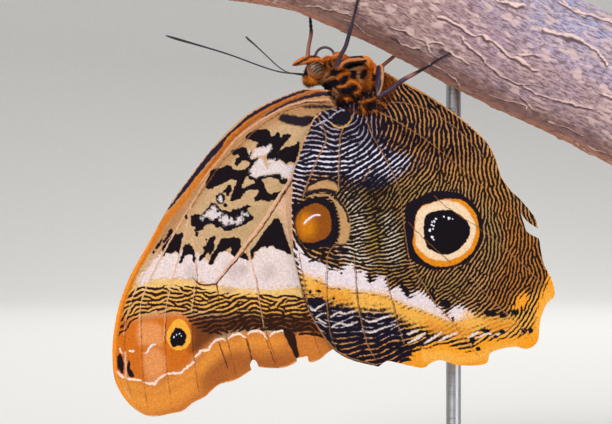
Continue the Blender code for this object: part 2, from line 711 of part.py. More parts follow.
def build():
    """Makes every piece, cuts the gaps where they meet, and gives each its material."""
    clear_scene()
    pieces = {"wing": [], "fur": [], "limb": [], "eye": [], "bark": [], "base": [], "rod": []}
    for side, hand in ((-1, "right"), (1, "left")):
        pieces["eye"].append(eye(f"eye_{hand}", side))
        palp = tube(f"palp_{hand}", bent_path(limb_path(PALP, side), PALP_BEND), LIMB_SIDES)
        combine(palp, [head(GAP), eye("socket", side, GAP)], "DIFFERENCE")
        feeler = tube(
            f"antenna_{hand}",
            smooth_line(limb_path(ANTENNA_RIGHT if side < 0 else ANTENNA_LEFT, side), 4),
            FEELER_SIDES,
        )
        combine(feeler, [head(GAP), eye("socket", side, GAP)], "DIFFERENCE")
        foreleg = tube(f"foreleg_{hand}", bent_path(limb_path(FORELEG, side), FORELEG_BEND), LIMB_SIDES)
        legs = [foreleg, leg(f"midleg_{hand}"), leg(f"hindleg_{hand}")]
        for limb in legs:
            combine(limb, [thorax(GAP)], "DIFFERENCE")
        forewing = wing(f"forewing_{hand}", forewing_runs(), FOREWING_VEINS, forewing_depth, side)
        hindwing = wing(f"hindwing_{hand}", hindwing_runs(side), HINDWING_VEINS, hindwing_depth, side)
        for vane in (forewing, hindwing):
            combine(vane, [thorax(GAP)], "DIFFERENCE")
        pieces["wing"] += [forewing, hindwing]
        pieces["limb"] += [palp, feeler, *legs]

    skull = combine(head(), [eye("s", -1, GAP), eye("s", 1, GAP), thorax(GAP)], "DIFFERENCE")
    tongue = combine(proboscis(), [head(GAP), thorax(GAP)], "DIFFERENCE")
    tail = combine(abdomen(), [thorax(GAP)], "DIFFERENCE")
    pieces["fur"] = [skull, thorax(), tail]
    pieces["limb"].append(tongue)
    pieces["bark"].append(branch())
    pieces["base"].append(stand_base())
    pieces["rod"].append(stand_rod())

    looks = {
        "wing": material("wing_scales", (0.42, 0.27, 0.13), 0.7),
        "fur": material("body_fur", (0.40, 0.17, 0.05), 0.85),
        "limb": material("limb_scales", (0.16, 0.08, 0.06), 0.6),
        "eye": material("eye_cornea", (0.20, 0.11, 0.05), 0.2),
        "bark": material("bark", (0.42, 0.31, 0.28), 0.9),
        "base": material("beech_base", (0.66, 0.48, 0.30), 0.45),
        "rod": material("steel_rod", (0.62, 0.62, 0.63), 0.3, 1.0),
    }
    model = bpy.data.objects.new("owl_butterfly", None)
    bpy.context.scene.collection.objects.link(model)
    for kind, members in pieces.items():
        for obj in members:
            largest_body(obj)
            obj.data.materials.clear()
            obj.data.materials.append(looks[kind])
            obj.parent = model


build()
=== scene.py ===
"""The looks of an owl butterfly that hangs under a branch with its wings closed, as a museum model.

Metres, +Z up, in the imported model's own frame. The side view is drawn in drawing units, x to the
right and y down. drawn() turns them into metres, and the forewing's real length sets their size.
The butterfly's plane of symmetry is Y = 0, and its right side, towards -Y, is the near one.
"""

import logging
import math
from collections.abc import Callable, Sequence
from dataclasses import dataclass, replace
from enum import Enum

import bmesh
import bpy
import numpy as np
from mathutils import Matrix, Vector
from mathutils.geometry import delaunay_2d_cdt

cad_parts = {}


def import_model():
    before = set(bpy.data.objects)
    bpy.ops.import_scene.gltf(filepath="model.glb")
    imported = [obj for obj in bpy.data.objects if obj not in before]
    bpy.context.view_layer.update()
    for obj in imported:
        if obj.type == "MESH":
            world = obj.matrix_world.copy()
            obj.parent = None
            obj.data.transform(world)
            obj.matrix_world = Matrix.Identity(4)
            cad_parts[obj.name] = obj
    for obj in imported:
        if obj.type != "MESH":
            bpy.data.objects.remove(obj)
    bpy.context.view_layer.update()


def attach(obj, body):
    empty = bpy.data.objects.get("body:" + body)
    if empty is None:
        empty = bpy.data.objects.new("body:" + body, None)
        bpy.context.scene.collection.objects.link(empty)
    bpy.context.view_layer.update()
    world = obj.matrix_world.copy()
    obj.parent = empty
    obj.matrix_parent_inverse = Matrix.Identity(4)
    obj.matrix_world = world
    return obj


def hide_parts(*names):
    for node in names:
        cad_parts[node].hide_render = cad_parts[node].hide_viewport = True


log = logging.getLogger("owl_butterfly")

# The drawing and its scale
MM = 0.001
FOREWING_LENGTH = 78.5 * MM
DRAWN_FOREWING = 374.0
DRAWN_ORIGIN = np.array([376.0, 482.4])
SCALE = FOREWING_LENGTH / DRAWN_FOREWING
PHOTO_SIZE = (612, 424)
RIGHT, LEFT = -1, 1

Points = Sequence[Sequence[float]]
Reading = Callable[[np.ndarray], np.ndarray]
Piece = bpy.types.Object
Tree = bpy.types.NodeTree
Node = bpy.types.Node
Socket = bpy.types.NodeSocket
Material = bpy.types.Material


class Slot(Enum):
    """The record's material slots."""

    WING = "wing"
    BODY = "body_fur"
    LIMB = "limb"
    EYE = "eye"
    BRANCH = "branch"
    BASE = "stand_base"
    ROD = "stand_rod"


# Plane geometry


def drawn(points: Points) -> np.ndarray:
    """Turns drawing units into metres.

    Args:
        points: Rows of (x, y) in drawing units.

    Returns:
        Rows of (X, Z) in metres.
    """
    given = np.asarray(points, float)
    return (given - DRAWN_ORIGIN) * (SCALE, -SCALE)


def smooth_line(points: Points, steps: int = 6, closed: bool = False) -> np.ndarray:
    """A Catmull-Rom line through the points.

    Args:
        points: Rows of coordinates.
        steps: How many pieces each stretch is drawn in.
        closed: Whether the line runs back to its start.

    Returns:
        The line's points, without the first one again where it is closed.
    """
    given = np.asarray(points, float)
    if closed:
        padded = np.vstack([given[-1], given, given[:2]])
    else:
        padded = np.vstack([2 * given[0] - given[1], given, 2 * given[-1] - given[-2]])
    line = []
    for before, start, end, after in zip(padded, padded[1:], padded[2:], padded[3:]):
        for step in range(steps):
            t = step / steps
            line.append(0.5 * (
                2 * start + (end - before) * t
                + (2 * before - 5 * start + 4 * end - after) * t ** 2
                + (3 * start - before - 3 * end + after) * t ** 3
            ))
    if not closed:
        line.append(given[-1])
    return np.array(line)


def evenly(line: np.ndarray, spacing: float) -> np.ndarray:
    """The line's points again, at even steps of about this spacing, with both ends kept.

    Args:
        line: The line's points.
        spacing: About how far apart the new points are.

    Returns:
        The new points.
    """
    lengths = np.concatenate([[0], np.cumsum(np.linalg.norm(np.diff(line, axis=0), axis=1))])
    count = max(1, round(lengths[-1] / spacing))
    at = np.linspace(0, lengths[-1], count + 1)
    return np.column_stack([np.interp(at, lengths, line[:, axis]) for axis in range(line.shape[1])])


def inside(points: np.ndarray, outline: np.ndarray) -> np.ndarray:
    """Whether each point lies within the closed outline.

    Args:
        points: Rows of places.
        outline: The closed outline's points.

    Returns:
        One answer for each place.
    """
    found = np.zeros(len(points), bool)
    for (x0, z0), (x1, z1) in zip(outline, np.roll(outline, -1, axis=0)):
        if z0 != z1:
            crosses = (z0 > points[:, 1]) != (z1 > points[:, 1])
            found ^= crosses & (points[:, 0] < x0 + (points[:, 1] - z0) / (z1 - z0) * (x1 - x0))
    return found


def reach_of(
    points: np.ndarray, line: np.ndarray, widths: np.ndarray | None = None, room: float = 3 * MM
) -> np.ndarray:
    """How far each point is from a line, less the line's half width where it has one.

    Args:
        points: Rows of places.
        line: The line's points.
        widths: Half a width at each of the line's points.
        room: Places further off than this are given this distance.

    Returns:
        One distance for each point.
    """
    best = np.full(len(points), room)
    order = np.argsort(points[:, 0])
    across = points[order, 0]
    for i in range(len(line) - 1):
        low = np.minimum(line[i], line[i + 1]) - room
        high = np.maximum(line[i], line[i + 1]) + room
        some = order[np.searchsorted(across, low[0]):np.searchsorted(across, high[0])]
        some = some[(points[some, 1] > low[1]) & (points[some, 1] < high[1])]
        along = line[i + 1] - line[i]
        share = np.clip((points[some] - line[i]) @ along / max(along @ along, 1e-18), 0, 1)
        apart = np.linalg.norm(points[some] - line[i] - share[:, None] * along, axis=1)
        if widths is not None:
            apart = apart - (widths[i] + share * (widths[i + 1] - widths[i]))
        best[some] = np.minimum(best[some], apart)
    return best


def smooth_step(value: np.ndarray, low: float, high: float) -> np.ndarray:
    """0 below low, 1 above high, and an even rise between."""
    share = np.clip((value - low) / (high - low), 0, 1)
    return share * share * (3 - 2 * share)


def lattice_noise(points: np.ndarray, size: float, seed: int) -> np.ndarray:
    """Smooth noise in two or three dimensions.

    Args:
        points: Rows of places.
        size: How wide a lump of the noise is.
        seed: Which noise of its kind it is.

    Returns:
        One value from -1 to 1 for each point.
    """
    table = np.random.default_rng(seed).uniform(-1, 1, 4096)
    cell = points / size
    low = np.floor(cell).astype(np.int64)
    part = cell - low
    part = part * part * (3 - 2 * part)
    total = np.zeros(len(points))
    for corner in range(2 ** points.shape[1]):
        weight = np.ones(len(points))
        mixed = np.full(len(points), seed, np.int64)
        for axis in range(points.shape[1]):
            step = corner >> axis & 1
            weight *= part[:, axis] if step else 1 - part[:, axis]
            mixed = mixed * 7919 + (low[:, axis] + step) * (1013 + 2 * axis)
        total += weight * table[(mixed ^ (mixed >> 13)) % 4096]
    return total


def octaves(points: np.ndarray, size: float, seed: int, count: int = 3) -> np.ndarray:
    """Smooth noise with finer noise on it, each octave half as wide and half as strong."""
    parts = [lattice_noise(points, size / 2 ** i, seed + i) / 2 ** i for i in range(count)]
    return np.sum(parts, axis=0)


# Materials


def linear(colour: str) -> tuple[float, float, float, float]:
    """Turns an sRGB hex value such as #C9A272 into a linear colour with alpha.

    Args:
        colour: The hex value.

    Returns:
        Red, green, blue and alpha.
    """
    parts = [int(colour[i:i + 2], 16) / 255 for i in (1, 3, 5)]
    red, green, blue = (p / 12.92 if p <= 0.04045 else ((p + 0.055) / 1.055) ** 2.4 for p in parts)
    return red, green, blue, 1.0


def add(tree: Tree, kind: str, inputs: dict | None = None, **settings) -> Node:
    """Adds one node.

    Args:
        tree: The material's node tree.
        kind: The node's type.
        inputs: A value for each socket named or numbered, or the socket that feeds it.
        **settings: The node's own properties.

    Returns:
        The new node.
    """
    node = tree.nodes.new(kind)
    for name, value in settings.items():
        setattr(node, name, value)
    for key, value in (inputs or {}).items():
        if isinstance(value, Socket):
            tree.links.new(value, node.inputs[key])
        else:
            node.inputs[key].default_value = value
    return node


@dataclass(frozen=True)
class Finish:
    """A real surface. Each kind of finish paints itself on the Principled shader."""

    name: str

    def made(self) -> Material:
        """Makes the material.

        Returns:
            The material, with only its Principled shader, its output and what paint() adds.
        """
        made = bpy.data.materials.new(self.name)
        made.use_nodes = True
        tree = made.node_tree
        tree.nodes.clear()
        shader = add(tree, "ShaderNodeBsdfPrincipled")
        add(tree, "ShaderNodeOutputMaterial", {"Surface": shader.outputs[0]})
        self.paint(tree, shader)
        return made

    def paint(self, tree: Tree, shader: Node) -> None:
        """Sets the shader's colour, gloss and relief.

        Args:
            tree: The material's node tree.
            shader: The Principled shader.
        """
        raise NotImplementedError(self.name)


def surfaced(tree: Tree, shader: Node, tone: Socket, roughness: float, specular: float = 0.5) -> None:
    """Gives the shader its colour and its gloss.

    Args:
        tree: The material's node tree.
        shader: The Principled shader.
        tone: The colour's socket.
        roughness: From 0 for a mirror to 1 for chalk.
        specular: How much light glances off, 0.5 for the full share of its IOR.
    """
    tree.links.new(tone, shader.inputs["Base Color"])
    shader.inputs["Roughness"].default_value = roughness
    shader.inputs["Specular IOR Level"].default_value = specular


def embossed(
    tree: Tree, shader: Node, height: Socket, strength: float, depth: float, invert: bool = False
) -> None:
    """Lets a pattern raise the surface.

    Args:
        tree: The material's node tree.
        shader: The Principled shader.
        height: The pattern.
        strength: How strongly the relief shows.
        depth: How high it is, in millimetres.
        invert: Whether the pattern's high values are its hollows.
    """
    relief = {"Height": height, "Strength": strength, "Distance": depth * MM}
    bump = add(tree, "ShaderNodeBump", relief, invert=invert)
    tree.links.new(bump.outputs[0], shader.inputs["Normal"])


@dataclass(frozen=True)
class Grain:
    """A noise pattern read at the object's own coordinates, sized in millimetres."""

    size: float
    detail: float = 2.0
    stretch: tuple[float, float, float] = (1.0, 1.0, 1.0)

    def socket(self, tree: Tree) -> Socket:
        """The pattern's value from 0 to 1.

        Args:
            tree: The material's node tree.

        Returns:
            The pattern's socket.
        """
        place = add(tree, "ShaderNodeTexCoord").outputs["Object"]
        scale = [1 / (self.size * MM * part) for part in self.stretch]
        mapped = add(tree, "ShaderNodeMapping", {"Vector": place, "Scale": scale})
        noise = add(
            tree, "ShaderNodeTexNoise",
            {"Vector": mapped.outputs[0], "Scale": 1.0, "Detail": self.detail, "Roughness": 0.6},
        )
        return noise.outputs["Fac"]


def span(
    tree: Tree, value: Socket | float, low: float, high: float, to_low: float = 0.0, to_high: float = 1.0
) -> Socket:
    """A socket's value, spread evenly from one range to another and held at its ends.

    Args:
        tree: The material's node tree.
        value: What is spread.
        low: Where its own range starts.
        high: Where it ends.
        to_low: What is given at its start.
        to_high: What is given at its end.

    Returns:
        The new value's socket.
    """
    inputs = {
        "Value": value, "From Min": low, "From Max": high, "To Min": to_low, "To Max": to_high,
    }
    return add(tree, "ShaderNodeMapRange", inputs, interpolation_type="SMOOTHSTEP").outputs[0]


def blended(
    tree: Tree, factor: Socket | float, below: Socket | str, above: Socket | str, way: str = "MIX"
) -> Socket:
    """Two colours mixed by a factor, each a socket or a hex value.

    Args:
        tree: The material's node tree.
        factor: 0 for the colour below, 1 for the one above.
        below: The first colour.
        above: The second colour.
        way: How they are mixed.

    Returns:
        The colour's socket.
    """
    colours = [linear(c) if isinstance(c, str) else c for c in (below, above)]
    inputs = {0: factor, 6: colours[0], 7: colours[1]}
    return add(tree, "ShaderNodeMix", inputs, data_type="RGBA", blend_type=way).outputs[2]


def reckoned(tree: Tree, way: str, *values: Socket | float) -> Socket:
    """A Math node's result."""
    return add(tree, "ShaderNodeMath", dict(enumerate(values)), operation=way).outputs[0]


def attribute(tree: Tree, name: str) -> Socket:
    """The value that the piece carries under this name."""
    return add(tree, "ShaderNodeAttribute", attribute_name=name).outputs["Fac"]


def shaded(tree: Tree, tone: Socket, shade: Socket) -> Socket:
    """A colour made lighter or darker by one value."""
    grey = add(tree, "ShaderNodeCombineColor", {0: shade, 1: shade, 2: shade}).outputs[0]
    return blended(tree, 1.0, tone, grey, "MULTIPLY")


def hair_shaded(tree: Tree, tone: Socket, apart: float) -> Socket:
    """A hair's colour: dark at its root and light at its tip as painted shade among the hairs, and each hair
    a little different.

    Args:
        tree: The material's node tree.
        tone: The coat's colour.
        apart: How much one hair may differ from another.

    Returns:
        The colour's socket.
    """
    # Painted shade: each hair is darkened towards its root
    shade = reckoned(tree, "MULTIPLY_ADD", attribute(tree, "tip"), 0.6, 0.68)
    return shaded(tree, tone, reckoned(tree, "MULTIPLY_ADD", attribute(tree, "strand"), apart, shade))


# Markings


@dataclass(frozen=True)
class Mark:
    """Scales of one colour, laid over what is below them where their field is above nought.

    The field is in millimetres: how far a place lies within the mark. patches are smooth closed
    outlines and strokes are lines of (x, y, width), both in drawing units. inlets are cut out again.
    """

    name: str
    colour: str
    patches: tuple = ()
    strokes: tuple = ()
    inlets: tuple = ()
    soft: float = 0.07
    ragged: float = 0.16
    strength: float = 1.0
    rippled: bool = False
    bias: float = 0.0
    fringe: float = 0.0

    def values(self, points: np.ndarray) -> np.ndarray:
        """The field at each point of (X, Z) in metres.

        Args:
            points: Rows of places.

        Returns:
            The field, in millimetres.
        """
        best = np.full(len(points), -3.0)
        for patch in self.patches:
            best = np.maximum(best, patch_depth(points, patch))
        for stroke in self.strokes:
            given = np.asarray(stroke, float)
            line = smooth_line(np.column_stack([drawn(given[:, :2]), given[:, 2] * SCALE / 2]), 4)
            near = boxed(points, line[:, :2], 1.2 * MM)
            if near.any():
                apart = reach_of(points[near], line[:, :2], line[:, 2])
                best[near] = np.maximum(best[near], -apart / MM)
        for inlet in self.inlets:
            best = np.minimum(best, -patch_depth(points, inlet))
        return best


def laid(tree: Tree, tone: Socket, marks: Sequence[Mark], jitter: Socket, rough: float) -> Socket:
    """Lays marks over a colour, each over the ones before it.

    Args:
        tree: The material's node tree.
        tone: The colour below them.
        marks: The marks, whose fields the piece carries.
        jitter: Noise about nought that frays their edges.
        rough: How far the noise moves an edge, for each unit of a mark's raggedness.

    Returns:
        The colour's socket.
    """
    for mark in marks:
        edge = reckoned(tree, "MULTIPLY_ADD", jitter, mark.ragged * rough, attribute(tree, mark.name))
        factor = span(tree, edge, -mark.soft, mark.soft, 0.0, mark.strength)
        tone = blended(tree, factor, tone, mark.colour)
    return tone


def boxed(points: np.ndarray, line: np.ndarray, room: float) -> np.ndarray:
    """Which points lie in the line's box, grown by this much room."""
    return ((points > line.min(axis=0) - room) & (points < line.max(axis=0) + room)).all(axis=1)


def patch_depth(points: np.ndarray, patch: Points) -> np.ndarray:
    """How far each point lies within a smooth closed outline, in millimetres, negative outside.

    Args:
        points: Rows of places in metres.
        patch: The outline's points in drawing units.

    Returns:
        One depth for each place.
    """
    outline = smooth_line(drawn(patch), 4, closed=True)
    depth = np.full(len(points), -3.0)
    near = boxed(points, outline, 2.5 * MM)
    if near.any():
        some = points[near]
        apart = reach_of(some, np.vstack([outline, outline[:1]])) / MM
        depth[near] = np.where(inside(some, outline), apart, -apart)
    return depth


@dataclass(frozen=True)
class Ripples:
    """Fine dark ripples that follow the directions given at a few places.

    Each guide is (x, y, direction in degrees clockwise from +x, spacing, darkness from -1 to 1), the
    first two and the spacing in drawing units. The ripples grow out of seeded noise that is passed
    again and again through narrow filters along the local direction, as such scales' pattern forms.
    """

    guides: tuple
    seed: int
    cell: float = 0.16 * MM
    angles: int = 10
    rounds: int = 10
    sizes: tuple = (3.3, 3.9, 4.7, 5.7)
    closeness: float = 0.8
    wobble: float = 0.42
    drive: float = 1.7

    def local(self, points: np.ndarray) -> tuple[np.ndarray, np.ndarray, np.ndarray]:
        """Each point's direction in radians, spacing in metres and darkness.

        Args:
            points: Rows of places.

        Returns:
            The three values for each place.
        """
        table = np.asarray(self.guides, float)
        places = drawn(table[:, :2])
        turns = np.radians(-2 * table[:, 2])
        weights = np.zeros((len(points), len(table)))
        for i, place in enumerate(places):
            apart = np.linalg.norm(points - place, axis=1) / MM
            weights[:, i] = 1 / (apart ** 2 + 0.6) ** 1.6
        weights /= weights.sum(axis=1)[:, None]
        direction = 0.5 * np.arctan2(weights @ np.sin(turns), weights @ np.cos(turns))
        spacing = weights @ table[:, 3] * SCALE * self.closeness
        return direction, spacing, weights @ table[:, 4]

    def grown(self, outline: np.ndarray) -> Reading:
        """Grows the pattern over the outline's box.

        Args:
            outline: The wing's margin.

        Returns:
            A function that reads it: above nought in a dark ripple, and about 1 in its middle.
        """
        low, high = outline.min(axis=0) - 2 * MM, outline.max(axis=0) + 2 * MM
        shape = tuple(64 * math.ceil(part / self.cell / 64) for part in high - low)
        across, up = (low[i] + self.cell * np.arange(shape[i]) for i in range(2))
        grid = np.stack(np.meshgrid(across, up, indexing="ij"), axis=-1)
        flat = grid.reshape(-1, 2)
        direction, spacing, darkness = self.local(flat)
        wobble = self.wobble * octaves(flat, 1.5 * MM, self.seed + 50)
        normal = (direction + wobble + math.pi / 2).reshape(shape)
        spacing = (spacing * (1 + 0.12 * octaves(flat, 4.0 * MM, self.seed + 60))).reshape(shape)
        filters = self.filters(shape, normal, spacing)
        total = np.sum([share for _, share in filters], axis=0) + 1e-9
        state = np.random.default_rng(self.seed).normal(0, 1, shape)
        for _ in range(self.rounds):
            spectrum = np.fft.rfft2(state)
            blend = np.zeros(shape)
            for passes, share in filters:
                blend += share * np.fft.irfft2(spectrum * passes, s=shape)
            blend /= total
            blend /= np.sqrt(np.mean(blend ** 2))
            state = np.tanh(self.drive * blend)
        value = blend / 1.35 + darkness.reshape(shape)
        return lambda points: read_grid(value, low, self.cell, points)

    def filters(self, shape: tuple, normal: np.ndarray, spacing: np.ndarray) -> list:
        """A narrow filter for each direction and size, and how much each counts at each place.

        Args:
            shape: How many cells the grid has each way.
            normal: The direction across the ripples at each cell.
            spacing: How far apart they are there.

        Returns:
            Pairs of a filter's passes and its share at each cell.
        """
        across = np.fft.fftfreq(shape[0], self.cell)
        fx, fz = np.meshgrid(across, np.fft.rfftfreq(shape[1], self.cell), indexing="ij")
        pitch = np.hypot(fx, fz)
        heading = np.arctan2(fz, fx)
        made = []
        for turn in range(self.angles):
            angle = math.pi * turn / self.angles
            off = np.abs((heading - angle + math.pi / 2) % math.pi - math.pi / 2)
            apart = np.abs((normal - angle + math.pi / 2) % math.pi - math.pi / 2)
            lean = np.exp(-0.5 * (apart / math.radians(13)) ** 2)
            for size in self.sizes:
                period = size * SCALE
                band = np.exp(-0.5 * ((pitch * period - 1) / 0.2) ** 2)
                share = lean * np.exp(-0.5 * (np.log(spacing / period) / 0.14) ** 2)
                made.append((band * np.exp(-0.5 * (off / math.radians(18)) ** 2), share))
        return made


def read_grid(values: np.ndarray, low: np.ndarray, cell: float, points: np.ndarray) -> np.ndarray:
    """A grid's values read evenly between its cells.

    Args:
        values: The grid's values.
        low: The place of its first cell.
        cell: How wide a cell is.
        points: Rows of places.

    Returns:
        One value for each place.
    """
    at = (points - low) / cell
    first = np.floor(at).astype(int)
    part = at - first
    i, j = first[:, 0], first[:, 1]
    near = values[i, j] * (1 - part[:, 0]) + values[i + 1, j] * part[:, 0]
    far = values[i, j + 1] * (1 - part[:, 0]) + values[i + 1, j + 1] * part[:, 0]
    return near * (1 - part[:, 1]) + far * part[:, 1]


# The scene's own settings


@dataclass(frozen=True)
class StudioPaper(Finish):
    """Matt paper: pale and even, with fibres that hardly show."""

    name: str = "studio_paper"
    colour: str = "#E4E1DC"
    fibre: str = "#E8E6E2"

    def paint(self, tree: Tree, shader: Node) -> None:
        """Pale fibres, without gloss.

        Args:
            tree: The material's node tree.
            shader: The Principled shader.
        """
        fibres = span(tree, Grain(1.5, 3).socket(tree), 0.3, 0.7)
        surfaced(tree, shader, blended(tree, fibres, self.colour, self.fibre), roughness=0.9)


@dataclass(frozen=True)
class Studio:
    """Camera, soft lights and a pale floor that rises into a backdrop."""

    camera_distance: float = 450 * MM
    frame_centre: tuple[float, float] = (PHOTO_SIZE[0] / 2, PHOTO_SIZE[1] / 2)
    floor_half: float = 2.2
    wall_place: float = 1.5
    wall_bend: float = 0.6
    wall_height: float = 2.2
    paper: StudioPaper = StudioPaper()

    def build(self) -> None:
        """Makes the camera, the lights and the floor."""
        self.camera()
        self.floor()
        self.light("key_light", (-0.55, -0.95, 0.75), 0.7, 12)
        self.light("fill_light", (0.95, -0.75, 0.35), 0.9, 4.5)
        self.light("back_light", (0.15, 0.75, 0.75), 0.6, 5)
        world = bpy.data.worlds.new("studio_world")
        world.use_nodes = True
        back = world.node_tree.nodes["Background"]
        back.inputs["Color"].default_value = linear("#E9ECF0")
        back.inputs["Strength"].default_value = 0.45
        bpy.context.scene.world = world
        bpy.context.scene.view_settings.view_transform = "Standard"

    def camera(self) -> None:
        """Looks along +Y, square to the wings, with the photograph's frame at the plane of symmetry."""
        data = bpy.data.cameras.new("camera")
        data.sensor_width = 36.0
        data.lens = data.sensor_width * self.camera_distance / (PHOTO_SIZE[0] * SCALE)
        data.clip_start = 0.01
        eye = bpy.data.objects.new("camera", data)
        across, up = drawn([self.frame_centre])[0]
        eye.location = (across, -self.camera_distance, up)
        eye.rotation_euler = (math.pi / 2, 0, 0)
        bpy.context.scene.collection.objects.link(eye)
        bpy.context.scene.camera = eye

    def light(self, name: str, place: tuple[float, float, float], size: float, power: float) -> None:
        """One square soft light that faces the butterfly.

        Args:
            name: The lamp's name.
            place: Where it stands.
            size: How wide it is.
            power: Its power in watts.
        """
        data = bpy.data.lights.new(name, "AREA")
        data.size = size
        data.energy = power
        lamp = bpy.data.objects.new(name, data)
        lamp.location = place
        towards = Vector((0, 0, 0.06)) - Vector(place)
        lamp.rotation_euler = towards.to_track_quat("-Z", "Y").to_euler()
        bpy.context.scene.collection.objects.link(lamp)

    def floor(self) -> None:
        """A sheet of paper that lies flat and curves up behind."""
        profile = [(-self.floor_half, 0.0), (self.wall_place - self.wall_bend, 0.0)]
        for step in range(1, 13):
            turn = math.pi / 2 * step / 12
            profile.append((
                self.wall_place - self.wall_bend + self.wall_bend * math.sin(turn),
                self.wall_bend * (1 - math.cos(turn)),
            ))
        profile.append((self.wall_place, self.wall_height))
        verts = [(x, y, z) for x in (-self.floor_half, self.floor_half) for y, z in profile]
        count = len(profile)
        faces = [(i, i + count, i + count + 1, i + 1) for i in range(count - 1)]
        paper = mesh_object("studio_floor", verts, faces)
        paper.data.materials.append(self.paper.made())


def mesh_object(name: str, verts: np.ndarray | Points, faces: np.ndarray | list) -> Piece:
    """A new object in the scene from corners and faces, shaded smooth.

    Args:
        name: The piece's name.
        verts: Rows of (X, Y, Z) in metres.
        faces: Lists of corner numbers.

    Returns:
        The object, at the origin.
    """
    data = bpy.data.meshes.new(name)
    rows = faces if isinstance(faces, list) else faces.tolist()
    data.from_pydata(np.asarray(verts).tolist(), [], rows)
    data.shade_smooth()
    made = bpy.data.objects.new(name, data)
    bpy.context.scene.collection.objects.link(made)
    return made


def carry(piece: Piece, name: str, values: np.ndarray) -> None:
    """Gives the piece a value at each of its corners under this name."""
    held = piece.data.attributes.new(name, "FLOAT", "POINT")
    held.data.foreach_set("value", np.asarray(values, np.float32))


def bake_map(piece: Piece, places: np.ndarray) -> None:
    """Gives the piece its bake map, one (u, v) for each face corner."""
    layer = piece.data.uv_layers.new(name="OFBake")
    layer.data.foreach_set("uv", np.asarray(places, np.float32).ravel())


def face_starts(piece: Piece) -> tuple[np.ndarray, np.ndarray]:
    """The corner numbers of all faces in a row, and the number of the face that each belongs to.

    Args:
        piece: The piece.

    Returns:
        The corners' numbers and their faces' numbers.
    """
    corners = np.empty(len(piece.data.loops), int)
    piece.data.loops.foreach_get("vertex_index", corners)
    starts = np.empty(len(piece.data.polygons), int)
    piece.data.polygons.foreach_get("loop_start", starts)
    return corners, np.repeat(np.arange(len(starts)), np.diff(np.append(starts, len(corners))))


def highest(values: np.ndarray, face: np.ndarray) -> np.ndarray:
    """The highest value on each corner's own face.

    Args:
        values: One value for each corner.
        face: The number of each corner's face.

    Returns:
        One value for each corner.
    """
    high = np.full(face.max() + 1, -np.inf)
    np.maximum.at(high, face, values)
    return high[face]


def joined(pieces: Sequence[Piece], name: str) -> Piece:
    """Several objects made one, under this name.

    Args:
        pieces: The objects.
        name: The piece's name.

    Returns:
        The one object.
    """
    choose_only(*pieces)
    bpy.ops.object.join()
    made = bpy.context.object
    made.name = made.data.name = name
    return made


def ball(centre: Sequence[float], radii: Sequence[float], segments: int, rings: int) -> Piece:
    """An egg-shaped ball with its place and size in its mesh.

    Args:
        centre: Its middle, in metres.
        radii: Its three radii.
        segments: How many faces it has round it.
        rings: How many it has from pole to pole.

    Returns:
        The ball.
    """
    bpy.ops.object.select_all(action="DESELECT")
    bpy.ops.mesh.primitive_uv_sphere_add(segments=segments, ring_count=rings, location=centre)
    made = bpy.context.object
    made.scale = radii
    bpy.ops.object.transform_apply(location=True, rotation=True, scale=True)
    return made


def settle(piece: Piece, slot: Slot, *nodes: str) -> Piece:
    """Fixes a finished piece to the model, in place of these nodes.

    Args:
        piece: The finished piece.
        slot: Its material slot; not used.
        *nodes: The nodes that it stands for.

    Returns:
        The piece.
    """
    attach(piece, "root")
    if nodes:
        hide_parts(*nodes)
    log.info("%s: %d faces, stands for %s", piece.name, len(piece.data.polygons), nodes or "no node")
    return piece


# The wings' drawing, in drawing units: margins as runs of points that meet at corners

FOREWING_MARGIN = (
    (
        (352, 97), (330, 91), (305, 89.5), (290, 94), (270, 102), (250, 112.5), (230, 129), (210, 151),
        (190, 177), (170, 205), (150, 241), (140, 258.5), (130, 277), (120, 303), (114.5, 330),
        (112.8, 352), (114.5, 376), (121, 392), (131.5, 405.5), (144, 414), (156, 416), (174.5, 412.5),
    ),
    ((174.5, 412.5), (183, 410.5), (194, 402), (205, 396.5), (219, 384.5), (236, 379.5), (251, 370)),
    ((251, 370), (250, 364.5), (253, 359.5), (256.5, 361.5), (259, 367)),
    ((259, 367), (277, 368), (288, 366), (296.5, 361.5), (297, 358), (307.5, 356)),
    ((307.5, 356), (310, 362), (320, 359), (329, 351.5), (345, 341), (358, 328), (364, 308)),
    ((364, 308), (365, 250), (362, 190), (358, 140), (356, 110)),
    ((356, 110), (352, 97)),
)
HINDWING_FRONT = (
    (356, 103), (343, 108), (321, 112.5), (313, 120), (307, 134), (301, 149), (296, 165), (292, 182),
    (291, 213), (293, 248), (300, 281), (309, 311), (321, 333), (334, 349.5), (352, 359.5), (378, 366),
)
HINDWING_LOWER = (
    (378, 366), (387, 360.5), (400, 363), (422, 367.5), (431, 362.5), (441, 360), (459, 365),
    (485, 363.5), (491, 352), (513, 346.5), (527, 348.5), (537, 341), (540, 320), (546, 304),
    (554, 295), (551, 279), (543, 263), (538.5, 238.5),
)
HINDWING_ANAL = (
    (511, 191.5), (501, 177), (495, 158), (486, 142), (470, 126), (450, 110.5), (425, 94), (400, 81),
    (384, 73),
)
HINDWING_ROOT = ((384, 73), (374, 88), (356, 103))
# The near hindwing is torn through at its edge and the far one only worn there
TORN_EDGE = (
    ((538.5, 238.5), (527, 232), (523, 222), (520, 213)),
    ((520, 213), (527, 221.5), (537.5, 228.5)),
    ((537.5, 228.5), (534, 217), (520, 199.5)),
    ((520, 199.5), (511, 191.5)),
)
WORN_EDGE = (
    ((538.5, 238.5), (526, 232), (519, 220), (516, 206), (511, 194)),
    ((511, 194), (511, 191.5)),
)
HINDWING_MARGIN = {
    side: (HINDWING_FRONT, HINDWING_LOWER, *edge, HINDWING_ANAL, HINDWING_ROOT)
    for side, edge in ((RIGHT, TORN_EDGE), (LEFT, WORN_EDGE))
}

